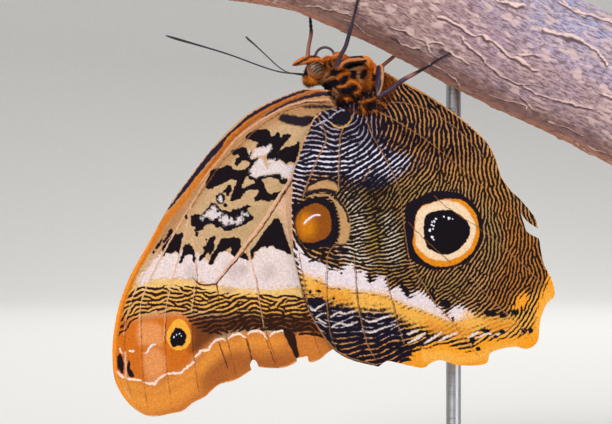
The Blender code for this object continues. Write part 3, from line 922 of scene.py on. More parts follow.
FOREWING_VEINS = (
    ((330, 96), (300, 97.5), (272, 108), (248, 124), (226, 145), (205, 170), (184, 200), (166, 230),
     (152, 254)),
    ((332, 101), (300, 104), (275, 114), (250, 132), (228, 152), (208, 177), (192, 203), (177, 229),
     (163, 254), (150, 280), (141, 306), (141, 345), (143, 380), (147, 408)),
    ((177, 229), (158, 252), (142, 278), (130, 307), (124, 335), (125, 370), (131, 399)),
    ((192, 203), (185, 234), (178, 260), (171, 287), (166, 313), (164.5, 343), (167, 375), (172, 407)),
    ((187, 226), (196, 250), (196.5, 281), (192, 315), (192.5, 350), (199, 394)),
    ((196.5, 281), (206, 284.5), (215.6, 283.6)),
    ((338, 106), (324, 126), (306, 154), (284, 190), (262, 224), (238, 256), (215.6, 283.6)),
    ((215.6, 283.6), (217.5, 300), (222, 322), (228, 346), (236, 375)),
    ((248, 243), (253, 268), (259, 300), (265, 330), (276, 363)),
    ((284, 190), (287, 222), (292, 252), (300, 288), (309, 322), (319, 354)),
    ((346, 116), (338, 150), (335, 200), (338, 260), (348, 320)),
)
HINDWING_VEINS = (
    ((350, 111), (336, 124), (325, 141), (317, 158), (309, 178), (302, 200), (298.5, 225), (300, 250),
     (305, 280), (312, 306)),
    ((357, 112), (346, 122), (339.5, 137), (338.5, 165), (338.5, 195), (334, 232), (327.5, 256),
     (326, 290), (328, 318), (333, 337), (341, 350)),
    ((338.5, 190), (346, 210), (352, 232), (354, 262), (356, 293), (360, 318), (369, 342), (377, 360)),
    ((397, 184), (392, 215), (383, 250), (386, 280), (393, 310), (402, 340), (408, 360)),
    ((363, 110), (370, 132), (384, 158), (397, 184)),
    ((397, 184), (402, 215), (410, 250), (425, 285), (447, 316), (466, 340), (479, 359)),
    ((402, 215), (424, 238), (449, 262), (478, 288), (507, 314), (533, 340)),
    ((397, 184), (420, 193), (450, 209), (478, 227), (505, 249), (530, 272), (549, 292)),
    ((368, 108), (391, 119), (422, 138), (455, 163), (486, 190), (513, 216)),
    ((377, 104), (404, 104), (432, 113), (460, 133), (483, 157), (496, 181)),
)

# Markings of the forewing, from the lowest layer up

FOREWING_RIPPLES = Ripples(
    seed=11,
    wobble=0.75,
    guides=(
        (120, 330, -60, 5.0, 0.0), (126, 312, -45, 5.0, 0.05), (140, 300, -25, 5.2, 0.05),
        (152, 290, -4, 5.4, 0.05), (170, 292, 4, 5.4, 0.1), (190, 295, 0, 5.2, 0.1),
        (210, 300, -4, 5.2, 0.15), (235, 305, -6, 5.4, 0.2), (260, 308, -6, 5.4, 0.2),
        (290, 306, -4, 5.4, 0.2), (305, 318, 0, 5.4, 0.3), (180, 312, 6, 5.0, 0.1),
        (150, 312, -15, 5.0, 0.0), (240, 325, -4, 5.6, 0.75), (270, 325, -3, 5.6, 0.75),
        (295, 328, 0, 5.6, 0.7), (215, 325, -8, 5.4, 0.4), (170, 280, 2, 5.2, -0.1),
        (230, 288, -5, 5.2, -0.1), (280, 292, -5, 5.2, -0.1), (340, 320, 0, 5.4, 0.3),
        (340, 240, 80, 5.4, 0.3),
    ),
)

INK_ROOT = (
    ((249, 133.5), (255, 130.3), (262, 129), (268, 130), (270.7, 133), (271.3, 137.5), (271, 141),
     (270.5, 144.5), (267, 147), (261, 147), (257, 148.5), (256, 146), (258, 143.5), (256, 141.5),
     (251, 140.5), (247, 139.5), (245.5, 137)),
    ((270, 137.5), (275, 135.2), (277.3, 131.7), (280, 133.5), (281.3, 137.6), (284, 134.6),
     (288, 134.1), (290.8, 135.3), (289, 139.5), (286, 143), (283, 145.8), (279.8, 149.8),
     (278, 153), (277, 160.5), (272, 160), (268.5, 161), (266.5, 156), (268.5, 152), (270.8, 148),
     (270.5, 143)),
    ((279, 151.5), (282, 149.8), (285, 147.2), (291, 146.4), (296, 144.2), (298, 141.5),
     (299.8, 143.5), (299, 150), (297, 157.5), (294.8, 163), (290, 162.3), (286.5, 164.5),
     (284, 162.5), (279.5, 160.3), (276.5, 162), (276, 156)),
    ((231.5, 150.5), (235, 149.3), (240, 148), (243.5, 147), (247, 149.3), (249.5, 154), (253, 150),
     (251.5, 154.5), (251, 158), (254.5, 158.8), (257.5, 157.5), (259, 158.3), (256.5, 161.3),
     (254, 165.3), (252, 168), (249.5, 171), (246, 169.5), (249.5, 165.5), (250, 162.5), (246, 161),
     (242.3, 161), (239, 165), (236, 166), (235, 162), (236.5, 158.5), (239.5, 156), (238, 154.5),
     (233.5, 155.5), (231.8, 153)),
)
INK_BROAD = (
    (212, 170.5), (217, 168.6), (221, 168), (225, 166.3), (229, 165), (231.7, 166), (233.3, 168.8),
    (236.5, 169.7), (240, 170.3), (245, 169.2), (250, 167.5), (252.5, 168.5), (250, 171), (252, 174),
    (255, 178.5), (258, 176.6), (263, 175.3), (268, 174.6), (274, 173.7), (280, 174), (281.5, 176.8),
    (284.5, 178), (287.5, 178.3), (288.5, 181), (286.3, 184), (283, 184.3), (280.5, 183),
    (278.5, 180.8), (275, 178.6), (268, 178), (262, 179.5), (263.5, 182), (265.5, 186), (267, 191),
    (270, 193.6), (274, 192.6), (279, 191.6), (282.5, 190), (284, 188), (285.5, 190.5), (283.5, 194),
    (280, 197.5), (276, 200.5), (272, 200), (268.5, 202), (265, 200.6), (260, 200.5), (255.8, 202),
    (254.5, 199), (256.2, 195), (259, 192.3), (257, 190.2), (252, 189.6), (247, 191), (244, 194),
    (241.5, 197.5), (238, 199.7), (234, 201.2), (230.8, 201.5), (231.5, 197), (233, 191), (235, 186),
    (236.8, 181.5), (235, 180), (233, 179.2), (229, 180.6), (225.5, 182.3), (220, 185), (215, 187),
    (211, 189), (206.5, 188.3), (206, 183), (208, 178), (210, 173.5),
)
INK_BROAD_INLET = (
    (247.5, 176.3), (249.5, 179), (253, 180.4), (255.5, 182.5), (252, 184.5), (247, 186.5),
    (243.5, 188.2), (241.8, 187), (243.3, 183), (245, 179),
)
INK_SMALL = (
    ((216.5, 195), (219, 193.5), (223, 194), (225.5, 197), (225, 201), (222.5, 204), (219.5, 204.5),
     (217, 202), (216, 198.5)),
    ((227.8, 184.8), (230, 184.3), (231.8, 187.5), (231.6, 190.5), (230, 193.5), (229, 196.2),
     (226.6, 195.6), (225.6, 192), (223.8, 193.5), (222, 193), (224.5, 190), (226.5, 188)),
    ((223.3, 205.2), (225, 203), (227.2, 204.5), (226.8, 207), (224, 207.5)),
    ((192, 215.5), (199, 214), (203, 220), (201.5, 229), (198, 231.5), (193.5, 230.5), (196.5, 227.5),
     (191.5, 226), (191, 220)),
    ((196, 231.5), (198.5, 232.5), (198, 237), (195.3, 235.3)),
    ((184.5, 215), (187, 214.5), (187.8, 218), (186, 219.3)),
)
INK_MARBLED = (
    (195.5, 226.5), (197, 221.5), (200, 216.5), (203.5, 212.5), (207.5, 208.5), (210.5, 203.8),
    (215, 203.2), (219, 206), (221, 209.3), (226, 210.2), (231.5, 211.5), (233, 208.6), (235.5, 209.5),
    (238.5, 208.4), (241, 208.2), (244, 206.3), (249, 205), (252, 206.6), (247.5, 208.6), (250, 213),
    (253.5, 216.5), (253.3, 219.5), (249, 222.2), (246, 224), (242, 225.5), (238, 227.4),
    (233, 228.7), (231, 230.2), (228, 231.2), (224, 230.5), (221.5, 227.5), (216, 227.5),
    (214.5, 225), (209.5, 224), (205.5, 226), (201.5, 231), (197.5, 229.5),
)
INK_BAND = (
    ((169.5, 230.5), (171.3, 228.3), (173, 231), (176, 233.2), (179, 234.2), (182, 232.3),
     (184, 235.3), (182.7, 239), (181.7, 244), (180.5, 249), (179.5, 254.5), (177.3, 252.5),
     (175, 250.8), (173, 253), (169.5, 253.8), (166, 252.6), (165, 255.5), (163.2, 257),
     (163.3, 253), (162, 249), (164, 244.5), (163, 241), (166, 238), (168, 234)),
    ((161.5, 240), (163.5, 239.3), (161, 244), (158, 248.5), (156, 248), (158, 244)),
    ((152.5, 251), (155.5, 250), (155, 253), (153, 253.3)),
    ((184, 246), (188.3, 244), (191, 244.5), (193, 247.5), (194.6, 251.5), (195.6, 256),
     (195.6, 262), (194, 263), (193, 258.5), (191.7, 254.6), (189, 254.3), (186, 255.6),
     (184, 258.6), (182.5, 262), (181, 264.2), (179, 263), (180.5, 258), (182.5, 252)),
    ((215.5, 235.5), (216, 238), (214.5, 242), (214.5, 247), (213.5, 251), (210, 255),
     (208.8, 252.3), (207, 252.5), (205.5, 256), (203, 258.8), (200, 261.5), (199, 258),
     (203, 253.5), (204, 250), (202.5, 247.3), (206, 245), (207.5, 241), (209.5, 238), (211, 236.5)),
    ((205.8, 239), (207.5, 238.5), (207, 241.5), (205.8, 241)),
    ((217.5, 246), (219, 243), (221, 239.5), (224, 238), (229, 237.8), (234, 237), (239, 238),
     (241.3, 241), (240.5, 244), (241.5, 247), (239, 250), (239, 252.5), (236.5, 255), (237, 257),
     (234, 256.8), (231, 253), (231.5, 250), (230.5, 247), (228, 249.5), (224, 251.5),
     (219.5, 252), (218, 255), (216.5, 258), (214.5, 261), (213.5, 264), (210.5, 264.8),
     (208, 263), (210, 259.5), (211, 256), (214, 252)),
    ((240, 256.5), (242, 254.5), (244, 252.3), (246.5, 253), (248, 256), (249, 260), (248, 262),
     (246.5, 260), (243.5, 258.7), (241, 258.5)),
    ((276, 218), (279, 219), (281, 222), (283, 227), (284.5, 232), (286.5, 238), (289, 245),
     (291, 250), (291, 258), (290, 254.5), (287, 253.5), (284, 251.5), (279, 249.5), (275, 248),
     (273, 246), (269, 246), (267.5, 247.5), (266, 246.5), (264, 246.3), (260, 248.5), (257, 251),
     (254, 253.5), (253.5, 257), (252.5, 259.5), (251, 257), (250, 254), (251, 250), (254, 246),
     (259, 239), (264, 232), (268, 227), (271, 223), (274, 219)),
)
WHITE_PATCHES = (
    ((251, 157.5), (253, 155), (254, 152), (257, 149), (261, 147.5), (267, 147.5), (270.5, 144.5),
     (271, 148), (269, 152), (266, 154), (263, 155.5), (259, 156), (256, 156.5), (253, 158.5)),
    ((259.5, 158.5), (262, 158.5), (263.5, 162), (265, 166), (267.5, 168), (268, 166), (270, 164),
     (267, 163), (269, 160.5), (274, 160), (276, 162.5), (279, 160), (282, 162), (285, 164),
     (287, 166), (293, 164.5), (294.5, 168), (292, 171), (291.5, 177), (290, 179.5), (287, 178),
     (284.5, 177.5), (281.5, 176.5), (280, 173.5), (273, 173.5), (268, 174.5), (263, 175),
     (259, 176.5), (256.5, 178.5), (254.5, 176), (251, 175.5), (252, 172), (249.5, 171),
     (252, 168), (254, 165.5), (256.5, 161.5)),
)
WHITE_IN_INK = (
    ((211.5, 206), (215.5, 207), (217, 210), (216, 212.3), (222.5, 212.5), (220.5, 216),
     (217, 217.5), (214, 219.3), (211, 219.6), (209, 217.3), (204, 216.2), (206, 213.3), (209, 211),
     (213, 210), (212, 208)),
    ((201, 217.5), (202.5, 216.3), (203.2, 218.3), (202, 220)),
    ((222, 216.8), (226, 215.3), (229, 218.3), (229.5, 221), (228, 223.3), (226, 225.6),
     (224.3, 225), (223, 222.6), (219.8, 221), (220.3, 218.6)),
    ((229.5, 219), (232, 218), (234, 222.5), (232.3, 224.5), (229.8, 223.5)),
    ((238, 217.3), (242, 216.8), (243.2, 219.5), (240, 222.5), (237.5, 225), (235.2, 223.6),
     (236, 220.5)),
    ((242.3, 211.7), (243.5, 213.8), (247.7, 213.3), (247.8, 215.7), (244.3, 215.8), (242.6, 215)),
    ((219, 196.5), (221, 196), (222.5, 199), (221.5, 202), (219.5, 201.5), (218.5, 199)),
)
ZIGZAG = (
    ((117, 371, 2.0), (120, 374, 2.6), (124, 377, 2.2)),
    ((127, 378, 1.8), (131, 378.5, 2.2), (136, 379.5, 2.2), (141, 380, 1.6)),
    ((144, 382, 1.4), (148, 383, 2.2), (153, 383.5, 2.6), (155.5, 383, 2.6), (157, 380.5, 2.2),
     (160, 377.5, 2.2), (163, 375.5, 2.2), (166, 374, 1.6)),
    ((168, 373.5, 1.6), (174, 373, 2.2), (180, 373, 2.4), (182, 372, 2.4), (184, 369.5, 2.2),
     (188, 366.5, 2.4), (192, 363.5, 2.2), (194, 361.5, 1.8)),
    ((196, 356.5, 1.8), (199, 353, 2.4), (201, 350.5, 2.4), (205, 350, 2.4), (209, 349.5, 2.4),
     (210, 347, 2.0), (212, 343.5, 2.2), (215, 340.5, 2.4), (218, 339.5, 2.4), (222, 338.5, 2.2),
     (225, 340, 1.4)),
    ((229, 338, 1.6), (232, 335.5, 2.2), (236, 334, 2.4), (241, 334, 2.2), (244, 336, 1.8),
     (246, 337, 1.2)),
    ((248, 334, 1.4), (250, 332, 2.2), (253, 331, 2.4), (256, 331, 2.4), (260, 331, 2.2),
     (264, 334, 1.6), (267, 339, 1.2)),
    ((270, 336, 1.4), (273, 332.5, 1.8), (278, 331, 2.0), (282, 330.5, 1.8), (283, 332, 1.2)),
)
FOREWING_MARKS = (
    Mark("fw_costal_wash", "#A87244", soft=1.6, strength=0.75, patches=((
        (345, 92), (300, 92), (270, 104), (240, 124), (212, 152), (190, 180), (168, 210), (148, 246),
        (160, 252), (176, 232), (196, 205), (218, 176), (243, 150), (268, 128), (300, 118),
        (345, 112),
    ),)),
    Mark("fw_blush", "#D9AE90", soft=0.7, strength=0.8, patches=((
        (262, 226), (276, 203), (285, 195), (291, 184), (296, 182), (297, 250), (289, 242), (284, 222),
        (277, 212), (270, 216),
    ),)),
    Mark("fw_khaki", "#B39468", soft=0.7, strength=0.7, patches=(
        ((247, 208), (256, 207), (258, 213), (253, 216), (248, 213)),
        ((222, 231), (250, 226), (254, 233), (246, 243), (242, 236), (224, 236)),
        ((280, 178), (270, 190), (262, 205), (250, 222), (262, 224), (276, 204), (286, 188)),
    )),
    Mark("fw_gold", "#DDA24E", soft=0.9, patches=((
        (116, 312), (126, 292), (140, 281), (170, 279), (200, 282), (230, 287), (260, 288), (290, 288),
        (306, 292), (316, 318), (290, 318), (250, 316), (200, 312), (150, 312), (118, 330),
    ),)),
    Mark("fw_pale_gold", "#E4BC74", soft=0.6, strength=0.9, patches=((
        (140, 284), (165, 279), (190, 281), (215, 286), (250, 288), (285, 287), (303, 290), (305, 297),
        (270, 296), (230, 295), (190, 289), (150, 290), (134, 294),
    ),)),
    Mark("fw_amber", "#C8691A", soft=1.4, patches=((
        (112, 320), (122, 314), (135, 318), (160, 314), (185, 314), (205, 322), (214, 340), (200, 352),
        (186, 370), (160, 378), (140, 384), (124, 381), (110, 368),
    ),)),
    Mark("fw_dusk", "#6E3A1A", soft=1.3, patches=((
        (192, 322), (206, 316), (240, 314), (280, 314), (310, 318), (330, 330), (330, 345), (300, 340),
        (284, 331), (262, 329), (240, 331), (222, 336), (208, 344), (198, 352), (190, 350), (192, 336),
    ),)),
    Mark("fw_peach", "#E0945A", soft=0.8, strength=0.85, patches=(
        ((138, 326), (150, 322), (162, 328), (162, 345), (150, 344), (140, 345)),
        ((146, 352), (158, 348), (166, 360), (164, 372), (150, 378), (144, 368)),
    )),
    Mark("fw_outer", "#C67632", soft=0.35, patches=((
        (108, 368), (117, 371), (124, 377), (141, 380), (155, 383.5), (166, 374), (182, 372),
        (194, 361.5), (205, 350), (215, 340.5), (225, 340), (236, 334), (250, 332), (262, 333),
        (273, 333), (284, 333), (292, 338), (300, 331), (320, 333), (335, 338), (330, 352),
        (320, 364), (290, 372), (250, 378), (219, 392), (190, 412), (150, 424), (120, 412),
        (108, 388),
    ),)),
    Mark("fw_outer_red", "#9C5628", soft=1.6, strength=0.8, patches=((
        (205, 372), (215, 356), (235, 352), (262, 356), (290, 352), (296, 362), (275, 370), (250, 370),
        (222, 384), (205, 390),
    ),)),
    Mark("fw_outer_bright", "#E2923A", soft=1.4, strength=0.8, patches=(
        ((116, 384), (128, 388), (150, 394), (175, 388), (190, 378), (196, 388), (178, 404), (150, 412),
         (126, 402)),
        ((120, 378), (140, 384), (156, 388), (170, 380), (196, 366), (212, 348), (230, 342),
         (250, 338), (280, 338), (278, 346), (250, 346), (230, 350), (210, 366), (188, 380),
         (160, 394), (130, 390)),
    )),
    Mark("fw_lilac", "#DECBC8", soft=0.3, ragged=0.8, fringe=0.3, patches=((
        (148, 268), (156, 257), (166, 252), (178, 252), (188, 250), (200, 254), (206, 260), (214, 262),
        (220, 250), (234, 254), (244, 257), (252, 260), (258, 250), (268, 246), (280, 248), (292, 254),
        (298, 270), (303, 286), (288, 287), (262, 290), (240, 288), (222, 286), (206, 283), (190, 279),
        (168, 278), (150, 281), (139, 286), (140, 276),
    ),)),
    Mark("fw_band_shade", "#B4A2A4", soft=1.2, strength=0.5, patches=(
        ((226, 266), (234, 262), (242, 268), (240, 277), (230, 279)),
        ((186, 268), (192, 266), (194, 276), (188, 277)),
        ((262, 268), (272, 264), (276, 276), (264, 280)),
    )),
    Mark("fw_smudge", "#A08878", soft=0.8, strength=0.5, patches=(
        ((240, 266), (246, 266), (247, 272), (241, 273)),
        ((222, 289), (230, 288), (236, 291), (226, 293)),
    )),
    Mark("fw_ripples", "#2E1810", rippled=True, bias=0.08, ragged=0.12, patches=((
        (110, 334), (116, 306), (128, 288), (150, 284), (175, 284), (196, 285), (216, 290), (250, 293),
        (285, 292), (304, 296), (330, 316), (330, 340), (296, 334), (262, 332), (236, 332), (212, 336),
        (192, 326), (182, 316), (160, 314), (140, 318), (122, 338),
    ),)),
    Mark("fw_folds", "#2A1610", soft=0.12, patches=(
        ((283, 330), (287, 340), (292, 350), (296, 358), (299, 355), (297, 345), (294, 333)),
    ), strokes=(
        ((246, 338, 1.2), (250, 350, 1.4), (252, 360, 1.0)),
        ((219, 342, 1.0), (224, 356, 1.2), (228, 368, 0.8)),
        ((266, 338, 0.9), (271, 352, 1.0), (275, 364, 0.8)),
    )),
    Mark("fw_zigzag", "#F2D4C4", soft=0.1, ragged=0.2, strokes=ZIGZAG),
    Mark("fw_ink", "#150D13", ragged=0.34, patches=(
        *INK_ROOT, INK_BROAD, *INK_SMALL, INK_MARBLED, *INK_BAND,
    ), inlets=(INK_BROAD_INLET,)),
    Mark("fw_shoulder", "#241A22", soft=0.3, ragged=0.3, patches=(
        ((280, 116), (285, 114), (300, 116.5), (310, 116), (318, 119), (312, 124), (303, 127),
         (297, 126.5), (290, 125), (284, 123.5), (279, 120)),
        ((303, 106), (325, 105.5), (334, 108), (322, 109), (305, 108.5)),
    )),
    Mark("fw_white", "#D6C8C8", soft=0.2, ragged=0.95, patches=(*WHITE_PATCHES, *WHITE_IN_INK)),
    Mark("fw_white_streak", "#E4D4D0", soft=0.08, strokes=(
        ((249.5, 150, 0.8), (249.5, 155, 0.8)),
        ((141, 352, 0.1), (147, 352.5, 1.4), (150, 347, 1.9), (153, 344.5, 1.9), (156, 344.5, 1.2)),
        ((130, 351, 2.0), (134, 350.6, 2.2)),
        ((120.5, 349, 2.0), (122, 353, 1.6)),
    )),
    Mark("fw_apex_ink", "#17101A", soft=0.1, patches=(
        ((120, 353), (122, 356), (124, 361), (124.5, 367), (123.5, 373), (120.5, 371), (118, 367),
         (117.5, 361), (118, 357)),
        ((129, 360), (130.5, 362), (130.5, 366), (132, 370), (135, 375), (134, 376.5), (129.5, 376),
         (128, 373), (127.5, 368), (128, 362)),
    )),
    Mark("fw_ring", "#EDA838", soft=0.12, ragged=0.12, patches=((
        (179, 318.5), (184, 320.5), (188, 326), (191, 333), (191, 340), (188, 346), (182, 349.5),
        (175, 349.5), (170, 346), (167, 340), (167, 334), (169.5, 327), (174, 321),
    ),)),
    Mark("fw_pupil", "#120C12", soft=0.09, ragged=0.1, patches=((
        (179, 327.5), (183.5, 329.5), (186.5, 334.5), (186, 340), (182.5, 345.5), (178, 345.5),
        (173, 346.5), (171, 343), (170.5, 338), (173, 331.5), (176, 328),
    ),)),
    Mark("fw_fleck", "#E4E0F0", soft=0.05, ragged=0.0, strokes=(
        ((176.5, 334, 1.2), (176.6, 334.4, 1.2)), ((179.5, 333.5, 1.1), (179.7, 333.5, 1.1)),
        ((174, 336.5, 1.5), (174.2, 337, 1.4)), ((181.5, 335.5, 0.8), (181.6, 335.6, 0.8)),
    )),
    Mark("fw_costal_dark", "#22182A", soft=0.1, ragged=0.1, strokes=(
        ((330, 93.5, 2.0), (310, 91.8, 2.6), (300, 92.6, 3.2), (285, 98, 4.2), (270, 106.2, 5.0),
         (250, 118, 5.6), (230, 136, 5.6), (216, 150, 5.6), (203, 165, 5.2), (186, 187, 4.0),
         (169, 209, 1.6)),
        ((330, 94.8, 3.6), (320, 94.8, 4.4), (310, 96.8, 3.6), (300, 99.3, 3.4), (290, 103, 3.0),
         (280, 107.5, 2.8), (270, 113, 2.0), (262, 118.6, 1.0)),
        ((326, 102.8, 1.2), (310, 102.8, 1.4), (300, 104.6, 1.0), (290, 107.6, 0.8)),
    )),
    Mark("fw_costal_orange", "#C8701E", soft=0.12, ragged=0.1, strokes=(
        ((338, 92, 1.6), (325, 90.5, 2.0), (310, 92.5, 2.4), (300, 96, 2.4), (290, 99.5, 2.6),
         (280, 104, 3.0), (270, 108.5, 3.0), (260, 115, 4.0), (250, 122, 5.0), (240, 130, 5.5),
         (230, 139.5, 6.0), (223.5, 150, 5.4), (215.5, 160, 5.2), (207.5, 170, 5.2), (198, 180, 5.2),
         (181, 203, 5.2), (165.5, 220, 6.0), (157, 235, 6.0), (147, 252, 6.0), (136, 271, 6.2),
         (126, 294, 6.0), (119, 318, 5.6), (115.5, 345, 4.6), (115.5, 362, 3.0)),
    )),
    Mark("fw_costal_bright", "#EC8A22", soft=0.2, ragged=0.1, strokes=(
        ((158, 228, 1.4), (146, 250, 2.2), (134, 273, 2.6), (123, 298, 3.0), (117, 322, 3.2),
         (114.6, 348, 3.0), (116, 372, 2.6), (122, 390, 2.4), (132, 403, 2.0)),
    )),
    Mark("fw_costal_umber", "#7E4420", soft=0.45, ragged=0.5, strength=0.7, strokes=(
        ((338, 92.5, 2.0), (325, 91.5, 2.4), (310, 93.5, 2.8), (290, 100.5, 3.0), (270, 110, 3.4),
         (250, 123.5, 3.8), (230, 141, 3.4), (214, 161, 2.2), (203, 176, 1.0)),
    )),
    Mark("fw_costal_light", "#CC9878", soft=0.08, ragged=0.08, strokes=(
        ((330, 100, 1.4), (310, 101, 1.5), (300, 103, 1.5), (290, 105.5, 1.5), (280, 109.5, 1.6),
         (270, 115.5, 1.6), (260, 121, 1.8), (250, 128, 2.0), (240, 135.5, 2.0), (230, 146, 1.8),
         (222, 156, 1.4), (212, 168, 1.2), (200, 184, 1.0)),
        ((330, 91.2, 0.9), (305, 90.2, 1.0), (290, 94.6, 1.1), (270, 102.6, 1.2), (250, 113.2, 1.2),
         (230, 129.6, 1.2), (210, 151.6, 1.2), (190, 177.6, 1.0), (172, 203, 0.8)),
    )),
    Mark("fw_costal_brown", "#7A4A30", soft=0.1, strokes=(
        ((330, 103.5, 1.0), (320, 104.2, 1.2), (300, 107, 1.2), (290, 110, 1.2), (280, 114, 1.2),
         (268, 121, 1.0), (254, 132, 1.0), (240, 146, 0.9), (224, 160, 0.9), (206, 186, 0.9),
         (192, 207, 0.8)),
    )),
    # Dark vein lines, and along the right side of the raised veins a painted shadow beside their pale lines
    Mark("fw_vein_dark_and_shadow", "#5E3220", soft=0.07, ragged=0.05, strokes=(
        ((300, 165, 1.0), (288, 188, 1.2), (277, 205, 1.3), (262, 228, 1.3), (250, 243, 1.3),
         (240, 256, 1.4), (232, 265, 1.4), (222, 277, 1.5), (216, 284.5, 1.6)),
        ((192, 276, 1.0), (198, 283, 1.6), (207, 285.3, 1.7), (216, 284.4, 1.6), (218.4, 292, 1.2)),
        ((218, 290, 1.0), (219.5, 305, 0.9), (223, 322, 0.8), (229, 346, 0.7), (236, 374, 0.6)),
        ((196.5, 262, 0.8), (197.5, 281, 0.9), (193.4, 315, 0.8), (193.6, 350, 0.7), (199, 392, 0.6)),
        ((167.5, 300, 0.7), (166, 325, 0.7), (165.5, 343, 0.7), (168, 375, 0.6), (172, 405, 0.5)),
        ((142, 306, 0.7), (142, 345, 0.7), (144, 380, 0.6), (148, 407, 0.5)),
        ((125.5, 335, 0.6), (126, 370, 0.6), (132, 398, 0.5)),
        ((256, 275, 0.8), (260, 300, 0.8), (266, 330, 0.7), (277, 362, 0.6)),
        ((293, 246, 1.2), (296.5, 262, 1.0), (301.5, 288, 0.9), (310, 322, 0.8), (320, 353, 0.7)),
    )),
    Mark("fw_vein_light", "#D8A684", soft=0.07, ragged=0.05, strokes=(
        ((300, 160, 1.4), (287, 184, 2.0), (276, 201, 2.4), (262, 222.5, 2.4), (245, 245, 2.4),
         (232, 262, 2.2), (215, 282.6, 1.8)),
        ((248, 247, 1.6), (252, 264, 1.4), (254.6, 275, 1.2), (258, 292, 1.0), (264, 326, 0.7)),
        ((192, 203, 0.9), (185, 234, 1.0), (178, 260, 1.2), (171.4, 285, 1.2), (166, 310, 0.9),
         (164, 340, 0.8)),
        ((187, 226, 0.9), (195.6, 250, 1.1), (195.8, 270, 1.2), (195.2, 284, 1.0), (191.4, 312, 0.8)),
        ((208, 177, 0.9), (192, 203, 1.1), (177, 229, 1.3), (163, 254, 1.4), (150, 280, 1.3),
         (140.6, 306, 1.0), (140, 340, 0.8)),
        ((177, 229, 0.8), (158, 252, 1.0), (142, 278, 1.1), (130, 305, 0.9), (123.6, 335, 0.8)),
        ((285.5, 196, 1.0), (287.5, 222, 1.2), (292, 246, 1.2)),
        ((290.5, 188, 1.6), (291, 212, 1.8), (292, 240, 1.6)),
        ((125.5, 352, 1.8), (126, 366, 2.0), (126.4, 378, 1.6)),
        ((124, 385, 0.8), (130, 397, 0.8)),
    )),
    Mark("fw_margin", "#E4A468", soft=0.06, ragged=0.1, strokes=(
        ((132, 405, 0.8), (144, 413.5, 1.0), (156, 415.4, 1.0), (174.5, 412, 1.0), (183, 410, 1.0),
         (194, 401.5, 1.0), (205, 396, 1.0), (219, 384, 1.0), (236, 379, 1.0), (250, 370.5, 1.0)),
        ((259, 366.4, 1.0), (277, 367.4, 1.0), (288, 365.4, 1.0), (296, 361, 1.0)),
        ((310, 361.4, 1.0), (320, 358.4, 1.0), (329, 351, 1.0)),
    )),
)

# Markings of the hindwing, from the lowest layer up

